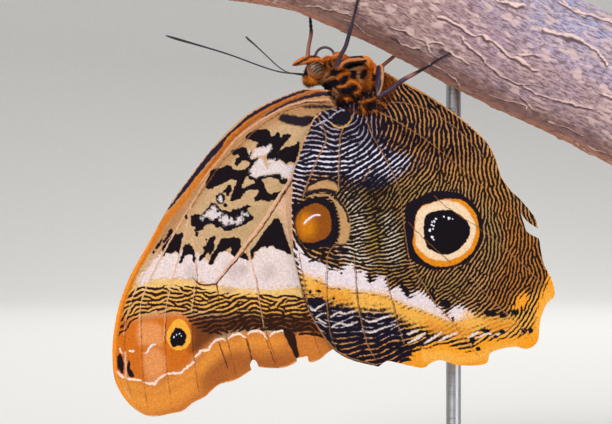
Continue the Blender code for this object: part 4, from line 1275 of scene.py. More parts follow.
HINDWING_RIPPLES = Ripples(
    seed=29,
    guides=(
        (395, 100, 60, 5.0, 0.1), (410, 95, 57, 5.0, 0.1), (430, 110, 62, 5.2, 0.1),
        (450, 130, 87, 5.4, 0.1), (470, 140, 78, 5.4, 0.1), (485, 160, 92, 5.2, 0.0),
        (490, 180, 80, 5.0, 0.0), (505, 195, 65, 4.8, 0.0), (500, 220, 90, 4.5, 0.0),
        (515, 235, 90, 4.4, 0.0), (530, 250, 85, 4.4, 0.0), (500, 250, 105, 4.4, 0.0),
        (480, 260, 125, 4.2, 0.1), (520, 270, 100, 4.4, 0.0), (540, 270, 72, 4.4, 0.0),
        (500, 290, 105, 4.4, 0.1), (470, 285, 130, 4.0, 0.1), (450, 290, 145, 4.0, 0.1),
        (430, 280, 110, 4.0, 0.1), (420, 130, 95, 6.0, 0.1), (400, 140, 115, 6.0, 0.15),
        (385, 145, 125, 6.4, 0.2), (370, 150, 130, 6.4, 0.2), (350, 145, 165, 6.4, 0.2),
        (330, 150, 20, 6.2, 0.1), (315, 150, 10, 6.0, 0.1), (310, 140, -5, 6.0, 0.1),
        (320, 125, 35, 6.0, 0.2), (318, 117, 40, 6.0, 0.2), (350, 165, 165, 6.0, 0.1),
        (380, 165, 145, 5.6, 0.1), (400, 165, 140, 5.2, 0.1), (420, 160, 127, 5.0, 0.05),
        (440, 165, 110, 4.8, 0.05), (460, 170, 97, 4.6, 0.0), (470, 180, 92, 4.6, 0.0),
        (430, 180, 115, 4.2, 0.1), (410, 180, 130, 4.2, 0.1), (400, 200, 125, 4.2, 0.2),
        (450, 185, 105, 4.2, 0.1), (470, 195, 100, 4.2, 0.1), (480, 200, 100, 4.2, 0.0),
        (345, 195, 120, 4.6, 0.4), (375, 187, 150, 4.6, 0.7), (360, 205, 155, 4.5, 0.3),
        (380, 205, 135, 4.4, 0.4), (395, 200, 120, 4.2, 0.3), (350, 225, 165, 4.0, 0.25),
        (370, 225, 160, 4.2, 0.2), (390, 225, 150, 4.2, 0.25), (360, 245, 170, 4.2, 0.2),
        (380, 245, 165, 4.2, 0.2), (400, 245, 160, 4.2, 0.3), (370, 260, 175, 4.4, 0.1),
        (350, 255, 15, 5.0, 0.0), (340, 245, 20, 5.4, 0.2), (400, 265, 170, 4.2, 0.2),
        (410, 270, 160, 4.2, 0.2), (520, 310, 120, 4.8, 0.0), (520, 290, 130, 4.6, 0.0),
        (530, 320, 125, 4.8, -0.3), (510, 332, 155, 5.0, -0.5), (545, 290, 110, 4.6, -0.2),
        (500, 320, 155, 4.8, 0.1), (480, 336, 160, 5.4, -0.3), (455, 344, 160, 5.6, -0.2),
        (430, 335, 153, 6.0, 0.3),
        (420, 325, 155, 5.4, 0.1), (400, 330, 160, 6.6, 0.45), (385, 345, 165, 7.0, 0.5),
        (370, 350, 170, 7.0, 0.5), (350, 345, 175, 7.0, 0.5), (335, 320, 25, 7.2, 0.6),
        (350, 322, 155, 7.2, 0.6), (312, 308, 40, 6.0, 0.7), (321, 306, 145, 6.0, 0.7),
        (320, 335, 35, 7.0, 0.6), (366, 325, 10, 7.2, 0.6), (385, 330, 165, 7.2, 0.6),
        (410, 352, 165, 6.6, 0.8), (300, 240, 60, 6.0, 0.2), (298, 190, 20, 6.0, 0.1),
        (320, 175, 15, 5.6, 0.2), (345, 185, 150, 5.0, 0.5), (400, 118, 75, 5.4, 0.15),
        (375, 125, 95, 5.8, 0.3), (372, 105, 95, 5.4, 0.5), (390, 88, 60, 5.0, 0.3),
    ),
)

BIG_EYE_INK = (
    (405, 218), (405, 207), (412, 200), (420, 197), (427, 193), (436, 191), (450, 191.5), (460, 193),
    (466, 197), (473, 203), (478, 210), (482, 218), (483, 228), (482, 238), (480, 246), (475, 254),
    (470, 260), (463, 264), (455, 267), (445, 269.5), (435, 270), (425, 267), (414, 262), (408, 255),
    (404, 245), (404, 230),
)
BIG_EYE_ORANGE = (
    (412.5, 243), (414, 232), (415, 220), (417, 212), (422, 206), (430, 203.5), (438, 200.5),
    (446, 198.5), (454, 199), (461, 200), (466, 203), (471, 208), (474.5, 213), (477, 219),
    (478.5, 227), (479, 234), (477, 242), (474, 249), (470, 254.5), (464, 259.5), (457, 263.5),
    (450, 266), (441, 266.5), (433, 266), (426, 262.5), (420, 257.5), (415.5, 252),
)
BIG_EYE_CREAM = (
    (415.5, 240), (415, 228), (416.5, 215), (420, 208.5), (427, 205), (436, 201.5), (446, 200),
    (453, 201.5), (460, 204), (465, 208), (470, 214.5), (473, 220), (475.5, 227), (474.5, 235),
    (471.5, 243), (468, 249), (463, 254), (456, 257.5), (450, 260), (442, 260.5), (434, 259.5),
    (427, 256.5), (420, 251), (416.5, 246),
)
BIG_EYE_PUPIL = (
    (423.5, 225), (424, 219), (427, 214.5), (433, 211.5), (441, 210), (449, 210), (455, 212),
    (461, 216), (466, 220.5), (469, 225), (470, 231), (468, 238), (464, 244), (459, 249),
    (453, 252.5), (447, 254.5), (440, 254), (434, 251.5), (428, 248), (425, 243), (424, 236),
    (423, 230),
)
SMALL_EYE_INK = (
    (302, 202), (308, 199), (315, 197.5), (322, 198), (329, 201), (334, 206), (336.5, 213),
    (338.5, 222), (338.5, 230), (338, 237), (333, 243), (327, 246), (320, 248), (312, 249.5),
    (306, 248), (301, 243), (298, 238), (295, 230), (293, 220), (293, 205), (296, 197), (298, 203),
)
SMALL_EYE_DISC = (
    (296, 222), (298, 214), (302, 209), (307, 206), (313, 203.5), (320, 204), (325, 207), (329, 212),
    (331, 219), (331, 226), (329.5, 233), (325, 238), (318, 241), (310, 242.5), (303, 241.5),
    (299, 236), (297, 229),
)
BIG_EYE_FLECKS = (
    (443.5, 216.5, 1.6), (448.3, 218, 2.4), (452, 219, 1.3), (435.7, 218.3, 1.8), (434, 221.3, 1.8),
    (431.5, 222, 1.5), (431.3, 224.4, 1.5), (433.3, 225.5, 1.6), (433, 228.5, 1.5), (430, 229, 1.6),
    (429.5, 230.7, 2.2), (432, 236.8, 2.5), (433.5, 239.3, 1.4),
)
WHITE_BAND = (
    (295, 246), (302, 249), (309, 257.5), (316, 259), (322, 262), (327, 265), (333, 269), (341, 268),
    (350, 263), (354, 266), (356, 270), (365, 271), (366, 275), (369, 282), (373, 280), (376, 276.5),
    (382, 275.5), (385, 279), (388, 288), (393, 288.5), (399, 286.5), (401, 289), (404, 292),
    (409, 297), (412, 293.5), (417, 291), (422, 291.5), (425, 294), (429, 297), (433, 300),
    (434, 304), (440, 306.5), (443, 311), (446, 315), (452, 308), (460, 306), (470, 311), (473, 317),
    (462, 322), (448, 323), (436, 318), (422, 313), (408, 308), (396, 303), (386, 297), (372, 294),
    (357, 294), (345, 290), (330, 290), (318, 281), (305, 280), (299, 268),
)
YELLOW_BAND = (
    (301, 274), (318, 277), (330, 286), (345, 287), (357, 290), (372, 291), (386, 294), (397, 300),
    (409, 305), (424, 310), (438, 315), (450, 320), (462, 318), (466, 311.5), (475, 316), (487, 317),
    (495, 318), (505, 318.5), (511, 318), (514, 322), (505, 323), (495, 325), (485, 327), (478, 327),
    (472, 330), (466, 334), (462, 330), (452, 327), (440, 328), (428, 327), (412, 324), (398, 317),
    (388, 311), (374, 309.5), (357, 310), (345, 303), (332, 303), (324, 297), (308, 297), (303, 286),
)
MARGIN_BAND = (
    (396, 362), (405, 360), (409, 353), (413, 350), (420, 346), (430, 345), (440, 342), (450, 345),
    (460, 349), (470, 350), (478, 343), (490, 340), (500, 338.5), (510, 339), (520, 337), (527, 334),
    (534, 325), (536, 308), (540, 296), (546, 284), (549, 272), (558, 280), (560, 298), (550, 306),
    (546, 325), (543, 345), (527, 354), (512, 352), (496, 357), (489, 369), (455, 370), (425, 373),
    (398, 368),
)
HINDWING_MARKS = (
    Mark("hw_upper", "#B87E40", soft=2.4, patches=((
        (366, 98), (384, 70), (425, 90), (470, 122), (500, 170), (516, 196), (508, 212), (486, 204),
        (460, 184), (430, 172), (404, 158), (388, 150), (372, 128),
    ),)),
    Mark("hw_khaki", "#9C7B48", soft=2.2, patches=(
        ((345, 188), (370, 180), (395, 182), (430, 184), (470, 190), (405, 200), (402, 232), (404, 262),
         (420, 275), (450, 278), (470, 285), (455, 300), (430, 290), (405, 280), (372, 262),
         (350, 255), (342, 230)),
        ((484, 205), (500, 230), (498, 262), (486, 262), (486, 232)),
    )),
    Mark("hw_right", "#B06E2E", soft=2.4, patches=((
        (500, 205), (520, 214), (545, 250), (554, 285), (545, 305), (525, 318), (500, 312), (486, 300),
        (496, 270), (504, 240),
    ),)),
    Mark("hw_humeral", "#D8D2E4", soft=1.2, patches=((
        (300, 118), (325, 108), (348, 108), (368, 122), (378, 140), (392, 152), (410, 158), (404, 170),
        (388, 180), (365, 184), (340, 176), (318, 172), (300, 178), (288, 200), (286, 160),
    ),)),
    Mark("hw_left_edge", "#CFB8B8", soft=0.6, patches=((
        (288, 180), (304, 176), (306, 190), (298, 200), (296, 240), (304, 255), (290, 256), (286, 215),
    ),)),
    Mark("hw_lilac_lines", "#D6C9D4", soft=1.2, patches=((
        (303, 298), (330, 300), (357, 308), (386, 312), (400, 318), (412, 326), (405, 336), (380, 336),
        (350, 334), (322, 330), (310, 316),
    ),)),
    Mark("hw_low_lines", "#C8884A", soft=1.4, patches=((
        (318, 334), (350, 338), (385, 340), (410, 340), (424, 350), (424, 372), (378, 372),
        (340, 358), (324, 345),
    ),)),
    Mark("hw_gold_spot", "#B09038", soft=1.6, strength=0.7, patches=(
        ((364, 228), (400, 222), (402, 246), (368, 250)),
        ((352, 236), (362, 232), (364, 244), (354, 246)),
    )),
    Mark("hw_haze", "#D6C6B2", soft=1.6, strength=0.95, patches=(
        ((342, 192), (356, 196), (364, 212), (366, 232), (362, 250), (372, 264), (352, 262), (340, 252),
         (350, 240), (352, 218)),
        ((384, 214), (396, 222), (400, 244), (398, 262), (386, 258), (384, 236)),
    )),
    Mark("hw_shoulder_dim", "#8C7C8C", soft=1.6, strength=0.75, patches=((
        (296, 140), (304, 122), (322, 106), (350, 104), (372, 112), (382, 140), (364, 146), (340, 142),
        (318, 146), (298, 160),
    ),)),
    Mark("hw_yellow_ground", "#E3A548", soft=1.0, patches=((
        (398, 318), (430, 322), (466, 326), (500, 322), (514, 300), (530, 294), (546, 290), (552, 300),
        (540, 330), (528, 340), (490, 345), (440, 346), (415, 345), (404, 334),
    ),)),
    Mark("hw_ripples", "#1C110E", rippled=True, bias=0.28, ragged=0.16, patches=((
        (280, 90), (380, 60), (420, 80), (480, 120), (520, 180), (560, 240), (570, 290), (545, 330),
        (536, 360), (490, 380), (380, 380), (320, 350), (280, 290), (276, 200),
    ),)),
    Mark("hw_ripples_cool", "#15101E", rippled=True, bias=0.25, ragged=0.16, soft=0.12, patches=(
        ((280, 95), (380, 60), (425, 85), (470, 118), (488, 145), (480, 165), (440, 170), (410, 176),
         (380, 190), (340, 190), (300, 200), (280, 210)),
        ((290, 296), (330, 298), (357, 308), (388, 310), (404, 322), (412, 345), (408, 375),
         (360, 375), (320, 350)),
    )),
    Mark("hw_tan_eye", "#B98E5E", soft=0.3, patches=(
        ((306, 189), (311, 184.5), (318, 181.5), (327, 180.5), (335, 184), (338, 191), (330, 189.5),
         (320, 188.5), (312, 190.5)),
        ((336, 200), (343, 205), (348, 215), (350, 230), (346, 242), (338, 243), (340, 232),
         (340, 220), (337, 208)),
    )),
    Mark("hw_white_band", "#DED0D4", soft=0.25, ragged=1.0, fringe=0.5, patches=(WHITE_BAND,)),
    Mark("hw_yellow_band", "#E9AC4C", soft=1.0, ragged=2.2, fringe=0.5, patches=(YELLOW_BAND,)),
    Mark("hw_margin_band", "#EE9A26", soft=0.25, ragged=0.8, fringe=0.6, patches=(MARGIN_BAND, (
        (520, 296), (524, 293), (527, 296), (529, 301), (524, 306), (519, 309), (515, 311),
        (512, 309.5), (515, 304), (516, 299),
    ))),
    Mark("hw_band_orange", "#E0902C", soft=0.9, ragged=1.6, strength=0.75, patches=(
        ((424, 318), (440, 322), (456, 326), (474, 330), (470, 338), (450, 336), (430, 330)),
        ((486, 320), (504, 320), (516, 322), (506, 330), (490, 330)),
        ((318, 284), (334, 290), (350, 296), (348, 302), (330, 300), (316, 292)),
    )),
    Mark("hw_margin_light", "#F4BC58", soft=1.2, ragged=1.4, strength=0.6, patches=(
        ((424, 352), (446, 352), (462, 356), (480, 352), (496, 346), (516, 343), (510, 348), (486, 358),
         (452, 363), (426, 362)),
        ((536, 318), (542, 304), (548, 292), (551, 300), (545, 316), (538, 332)),
    )),
    Mark("hw_white_streaks", "#E2D2CC", soft=0.15, ragged=0.3, strokes=(
        ((407, 334, 1.4), (412, 332, 2.4), (418, 330, 1.4)),
        ((408, 342.5, 1.2), (416, 338.5, 2.8), (425, 332.5, 1.6)),
        ((424, 343, 1.4), (432, 338.5, 2.6), (441, 332, 1.4)),
        ((439, 340.5, 1.2), (447, 336.5, 2.6), (456, 333, 1.4)),
        ((468, 337.5, 1.2), (473, 334.5, 2.6), (478, 331, 1.2)),
        ((477, 337.5, 1.2), (485, 333.8, 2.0), (491, 333.6, 1.0)),
        ((493, 336.5, 1.0), (498, 334, 1.8), (504, 330.6, 1.0)),
        ((308, 305.5, 1.2), (314, 309.8, 1.6), (319, 306, 1.6), (324.5, 303.6, 1.0)),
        ((316, 316.3, 1.2), (320, 314, 1.4), (325.5, 312.3, 1.0)),
        ((315.5, 317, 1.0), (321, 321, 1.6), (326.5, 323.2, 1.0)),
        ((331, 316, 1.2), (338, 312, 1.6), (345, 313.5, 1.6), (354, 311, 1.0)),
        ((332, 326, 1.2), (340, 322.5, 1.8), (348, 325, 1.6), (357, 321.5, 1.0)),
        ((361, 318, 1.2), (370, 321.5, 1.6), (380, 318.5, 1.6), (390, 315, 1.0)),
        ((362, 329, 1.0), (372, 331.5, 1.6), (384, 327, 1.6), (395, 323.5, 1.0)),
    )),
    Mark("hw_ink", "#17101A", soft=0.1, ragged=0.25, patches=(
        BIG_EYE_INK, SMALL_EYE_INK,
        ((440, 300), (446, 299.5), (451, 303), (449, 308), (444, 306.5), (440, 304)),
        ((483, 311), (489, 309.5), (496, 313), (493, 316.5), (486, 315)),
        ((499, 314), (503, 312.5), (506, 316), (501, 318)),
        ((510, 311), (515, 309.5), (518.5, 312.5), (514, 315.5)),
        ((469, 338), (473, 336.5), (475.5, 341), (472, 344)),
        ((475, 347.5), (478, 346.5), (480.5, 349), (477, 351)),
        ((480, 330), (486, 328.5), (490, 331), (485, 333)),
        ((493, 335.8), (496, 334.8), (497.5, 337.5), (494.5, 338.5)),
        ((498, 331), (502, 329.5), (505.5, 331.5), (501, 333.5)),
        ((520, 329), (524, 328), (527, 331), (523, 333.6)),
        ((527.5, 329), (531, 327.5), (532.6, 331), (529, 333)),
        ((308.5, 290.2), (311, 289), (311.6, 292.6), (309, 293.4)),
        ((315, 290.4), (319, 289.6), (322.4, 291), (318, 292.8)),
        ((309, 299), (315, 296.8), (322, 298.5), (324.5, 303), (318, 305), (311, 304.5)),
        ((332, 297), (334.5, 296), (335.6, 298.4), (333, 299.6)),
        ((340, 272.2), (342, 272), (342.4, 274), (340.4, 274.4)),
        ((451.4, 317), (453.6, 317), (453.8, 321), (451.6, 321)),
        ((367, 272.5), (369.5, 274), (371.5, 279), (370, 283.5), (368, 278)),
        ((327, 262.5), (331, 264), (333.5, 268.4), (329.5, 266.6)),
        ((337.5, 250), (344, 249.2), (350.5, 250.4), (344, 252.6)),
        ((400, 284), (406, 286), (409.5, 293), (407, 297), (403, 291)),
        ((427, 290), (432, 292), (436, 299), (433, 301.4), (429, 296)),
    )),
    Mark("hw_squiggles", "#231820", soft=0.08, ragged=0.2, strokes=(
        ((301, 252.6, 1.2), (306, 255, 1.8), (309.5, 257.6, 1.2)),
        ((309, 261.4, 1.4), (313, 260.2, 2.4), (316, 258.8, 2.4), (320, 257.2, 2.6), (322.4, 260.8, 2.4),
         (326, 262, 1.4)),
        ((328, 246.5, 2.4), (335, 248.5, 2.6), (342, 246.5, 1.8)),
        ((330, 256, 1.6), (337, 258.5, 2.4), (344, 256, 1.8), (352, 258.5, 1.2)),
        ((304.5, 192, 2.4), (308, 186.5, 2.8), (313, 183, 3.2), (319, 180.3, 3.0), (327, 178.8, 2.8),
         (335, 181, 2.4), (340, 187, 2.2)),
        ((303, 196, 2.6), (306, 194, 2.8), (311, 192.2, 2.8), (318, 190.6, 2.8), (326, 190.4, 3.0),
         (333, 193, 3.4), (336, 198, 3.0), (341, 204, 2.4), (346, 212, 2.2), (348.6, 222, 1.8)),
    )),
    Mark("hw_arch", "#B48C5C", soft=0.1, ragged=0.15, strokes=(
        ((306, 197.6, 0.8), (312, 195.6, 1.5), (320, 194.4, 1.7), (328, 195.6, 1.7), (333, 200.2, 1.7),
         (336, 205, 1.8), (340.6, 210.5, 2.2), (343.6, 217, 2.4)),
    )),
    Mark("hw_disc_amber", "#8A4A12", soft=0.12, ragged=0.12, patches=(SMALL_EYE_DISC,)),
    Mark("hw_disc_glow", "#C8780E", soft=1.3, ragged=0.3, patches=(
        ((298, 222), (303, 214), (310, 215), (315, 224), (313, 234), (305, 237), (300, 232)),
    )),
    Mark("hw_disc_streak", "#E4DCF4", soft=0.14, ragged=0.1, strokes=(
        ((304, 224.5, 1.0), (306, 221.4, 1.8), (309, 218.6, 2.0), (312, 216.2, 2.0), (315, 215, 2.0),
         (319.8, 214.9, 1.2)),
    )),
    Mark("hw_ring_orange", "#D88214", soft=0.12, ragged=0.12, patches=(BIG_EYE_ORANGE,)),
    Mark("hw_ring_cream", "#E7C9A6", soft=0.2, ragged=0.14, patches=(BIG_EYE_CREAM,)),
    Mark("hw_pupil", "#110C12", soft=0.1, ragged=0.12, patches=(BIG_EYE_PUPIL,)),
    Mark("hw_fleck", "#E4E2F2", soft=0.06, ragged=0.0, strokes=tuple(
        ((x, y, wide), (x + 0.25, y + 0.35, wide)) for x, y, wide in BIG_EYE_FLECKS
    )),
    Mark("hw_eye_veins", "#7C4A26", soft=0.06, ragged=0.04, strength=0.85, strokes=(
        ((434, 196, 0.9), (440, 201.5, 0.9), (446, 207, 0.9), (455, 212.5, 0.9), (464, 219, 0.9),
         (473, 224, 0.9), (482, 231, 0.9)),
        ((408, 222, 0.9), (416, 231, 0.9), (424, 238.5, 0.9), (432, 246, 0.9), (440, 253, 0.9),
         (449, 261, 0.9), (458, 270, 0.9)),
    )),
    # A painted shadow along the right side of the raised veins, beside their pale lines
    Mark("hw_vein_shadow", "#3C2418", soft=0.06, ragged=0.05, strokes=(
        ((341.6, 136, 1.0), (340, 165, 1.0), (339.8, 188, 1.0)),
        ((364.5, 110, 1.0), (371.5, 132, 1.0), (385.4, 158, 1.0), (398.4, 184, 1.0)),
        ((398.4, 186, 1.0), (403.2, 208, 0.9)),
        ((327.6, 262, 0.8), (327.4, 290, 0.9), (329.2, 318, 0.9), (332.2, 335, 0.8)),
        ((355.4, 256, 0.8), (356.4, 278, 0.9), (358.4, 302, 0.9), (363.2, 325, 0.8), (369, 346, 0.7)),
        ((387.2, 282, 0.8), (393.4, 304, 0.9), (399.4, 326, 0.8)),
    )),
    Mark("hw_vein_light", "#9C6B44", soft=0.06, ragged=0.05, strength=0.85, strokes=(
        ((318, 117, 1.2), (326, 139, 1.4), (318, 158, 1.5), (309.6, 178, 1.6), (303, 197, 1.6)),
        ((356, 113, 1.0), (347, 121.5, 1.2), (340, 137, 1.3), (338.6, 165, 1.3), (338.4, 190, 1.3)),
        ((337.8, 244, 1.0), (333, 246, 1.0), (327, 258, 1.0), (326, 290, 1.1), (328, 318, 1.1),
         (331, 335, 1.0), (337, 349, 0.8)),
        ((353.5, 252, 1.0), (355, 275, 1.1), (357, 300, 1.2), (362, 325, 1.1), (367.5, 345, 1.0),
         (375.6, 359.5, 0.8)),
        ((386, 276, 1.0), (392, 303, 1.1), (398, 325, 1.0), (404, 344, 0.8)),
        ((363, 110, 0.9), (370, 132, 1.0), (384, 158, 1.0), (397, 184, 1.0), (402, 212, 0.9),
         (410, 262, 0.9), (425, 286, 1.0), (434, 302, 1.1), (447, 316, 1.1), (461, 334, 1.0),
         (479, 357, 0.8)),
        ((470, 276, 0.8), (489, 298, 0.9), (507, 314, 0.9), (532, 338, 0.7)),
        ((483, 231, 0.9), (505, 249, 0.9), (530, 272, 0.9), (549, 291, 0.7)),
        ((368, 108, 1.0), (391, 119, 1.1), (422, 138, 0.9), (455, 163, 0.8), (484, 188, 0.8)),
        ((377, 104, 1.0), (404, 104, 1.0), (432, 113, 0.9), (460, 133, 0.8), (483, 157, 0.7)),
        ((370, 170, 1.0), (366, 176, 1.2), (362, 182, 1.0)),
        ((291.6, 250, 1.8), (295, 280, 2.0), (299, 292, 2.0), (303, 300, 2.0), (308.4, 310, 2.0),
         (320, 330.6, 2.0), (333.4, 347.6, 1.6), (352, 358, 1.2), (376, 364, 1.0)),
        ((299, 252, 1.2), (302, 270, 1.2), (305, 285, 1.2), (307, 303, 1.2)),
    )),
    Mark("hw_humeral_ring", "#C89A4A", soft=0.07, strokes=(
        ((331, 124, 1.2), (336, 127.6, 1.6), (343, 127.8, 1.6), (349.6, 122.6, 1.4), (352, 117, 1.0)),
    )),
    Mark("hw_humeral_ink", "#18121E", soft=0.1, patches=((
        (331, 121), (334, 116), (340, 112.5), (347, 113), (350.4, 117), (348, 122.6), (342, 126),
        (335, 125.6),
    ),)),
    Mark("hw_humeral_white", "#B9AEC0", soft=0.09, ragged=0.3, strokes=(
        ((329, 119, 0.8), (333, 115.4, 1.1), (338, 112.4, 1.1), (344, 110.6, 0.8)),
        ((314, 127.4, 0.9), (320, 123.6, 1.4), (327, 121, 0.9)),
    )),
    Mark("hw_margin_orange", "#D99A5A", soft=0.06, ragged=0.1, strokes=(
        ((291.6, 184, 1.6), (290.8, 213, 1.8), (292.6, 248, 1.6)),
        ((296.4, 164, 1.2), (301.4, 149, 1.2), (307.4, 134, 1.2), (313.4, 120.6, 1.2), (321, 113.4, 1.0)),
        ((384, 73.6, 1.4), (400, 81.8, 1.6), (425, 94.8, 1.6), (450, 111.2, 1.6), (470, 126.6, 1.4),
         (486, 142.6, 1.2), (495, 158.4, 1.0), (501, 177, 1.0), (511, 191, 1.0)),
    )),
)


# The body, in the plane of symmetry: stations of (x, y, half height, half width), heights in mm

THORAX = (
    (325.5, 76, 1.3, 1.2), (329, 77, 3.2, 2.5), (337, 79, 5.0, 3.7), (348, 82, 5.7, 4.4),
    (359, 85.5, 5.7, 4.5), (370, 89.5, 4.9, 4.0), (378, 92.5, 3.7, 3.1), (383, 94, 2.0, 1.7),
)
NECK = ((311, 74, 1.5, 1.5), (320, 75, 1.9, 1.8), (328, 76.5, 2.4, 2.2), (335, 78.5, 2.6, 2.4))
ABDOMEN = (
    (380, 94.5, 1.4, 1.4), (384, 97, 2.3, 2.3), (395, 104, 2.75, 2.65), (412, 114.5, 2.9, 2.75),
    (430, 126, 2.6, 2.5), (446, 136, 2.1, 2.0), (459, 144.5, 1.5, 1.35), (466, 149, 0.6, 0.5),
)
WAIST = ((372, 90, 2.6, 2.4), (380, 94.5, 2.4, 2.3), (388, 99.5, 2.4, 2.3))
HINGE_LOBES = (((344, 102), 2.3, 2.2), ((364, 107), 2.5, 2.0))
CHEST_MOUNDS = (  # (x, y, radii in mm), under the neck and between the legs' roots
    (329, 63.5, 1.55, 1.5, 1.45), (336, 63.4, 1.6, 2.0, 1.5), (344, 64.6, 1.8, 2.4, 1.7),
)
HEAD_CENTRE = (314.5, 74)
HEAD_RADII = (2.6 * MM, 2.05 * MM, 2.75 * MM)
EYE_CENTRE = (315.5, 70.5)
EYE_DEPTH = 1.9 * MM
EYE_RADII = (1.85 * MM, 1.35 * MM, 1.85 * MM)

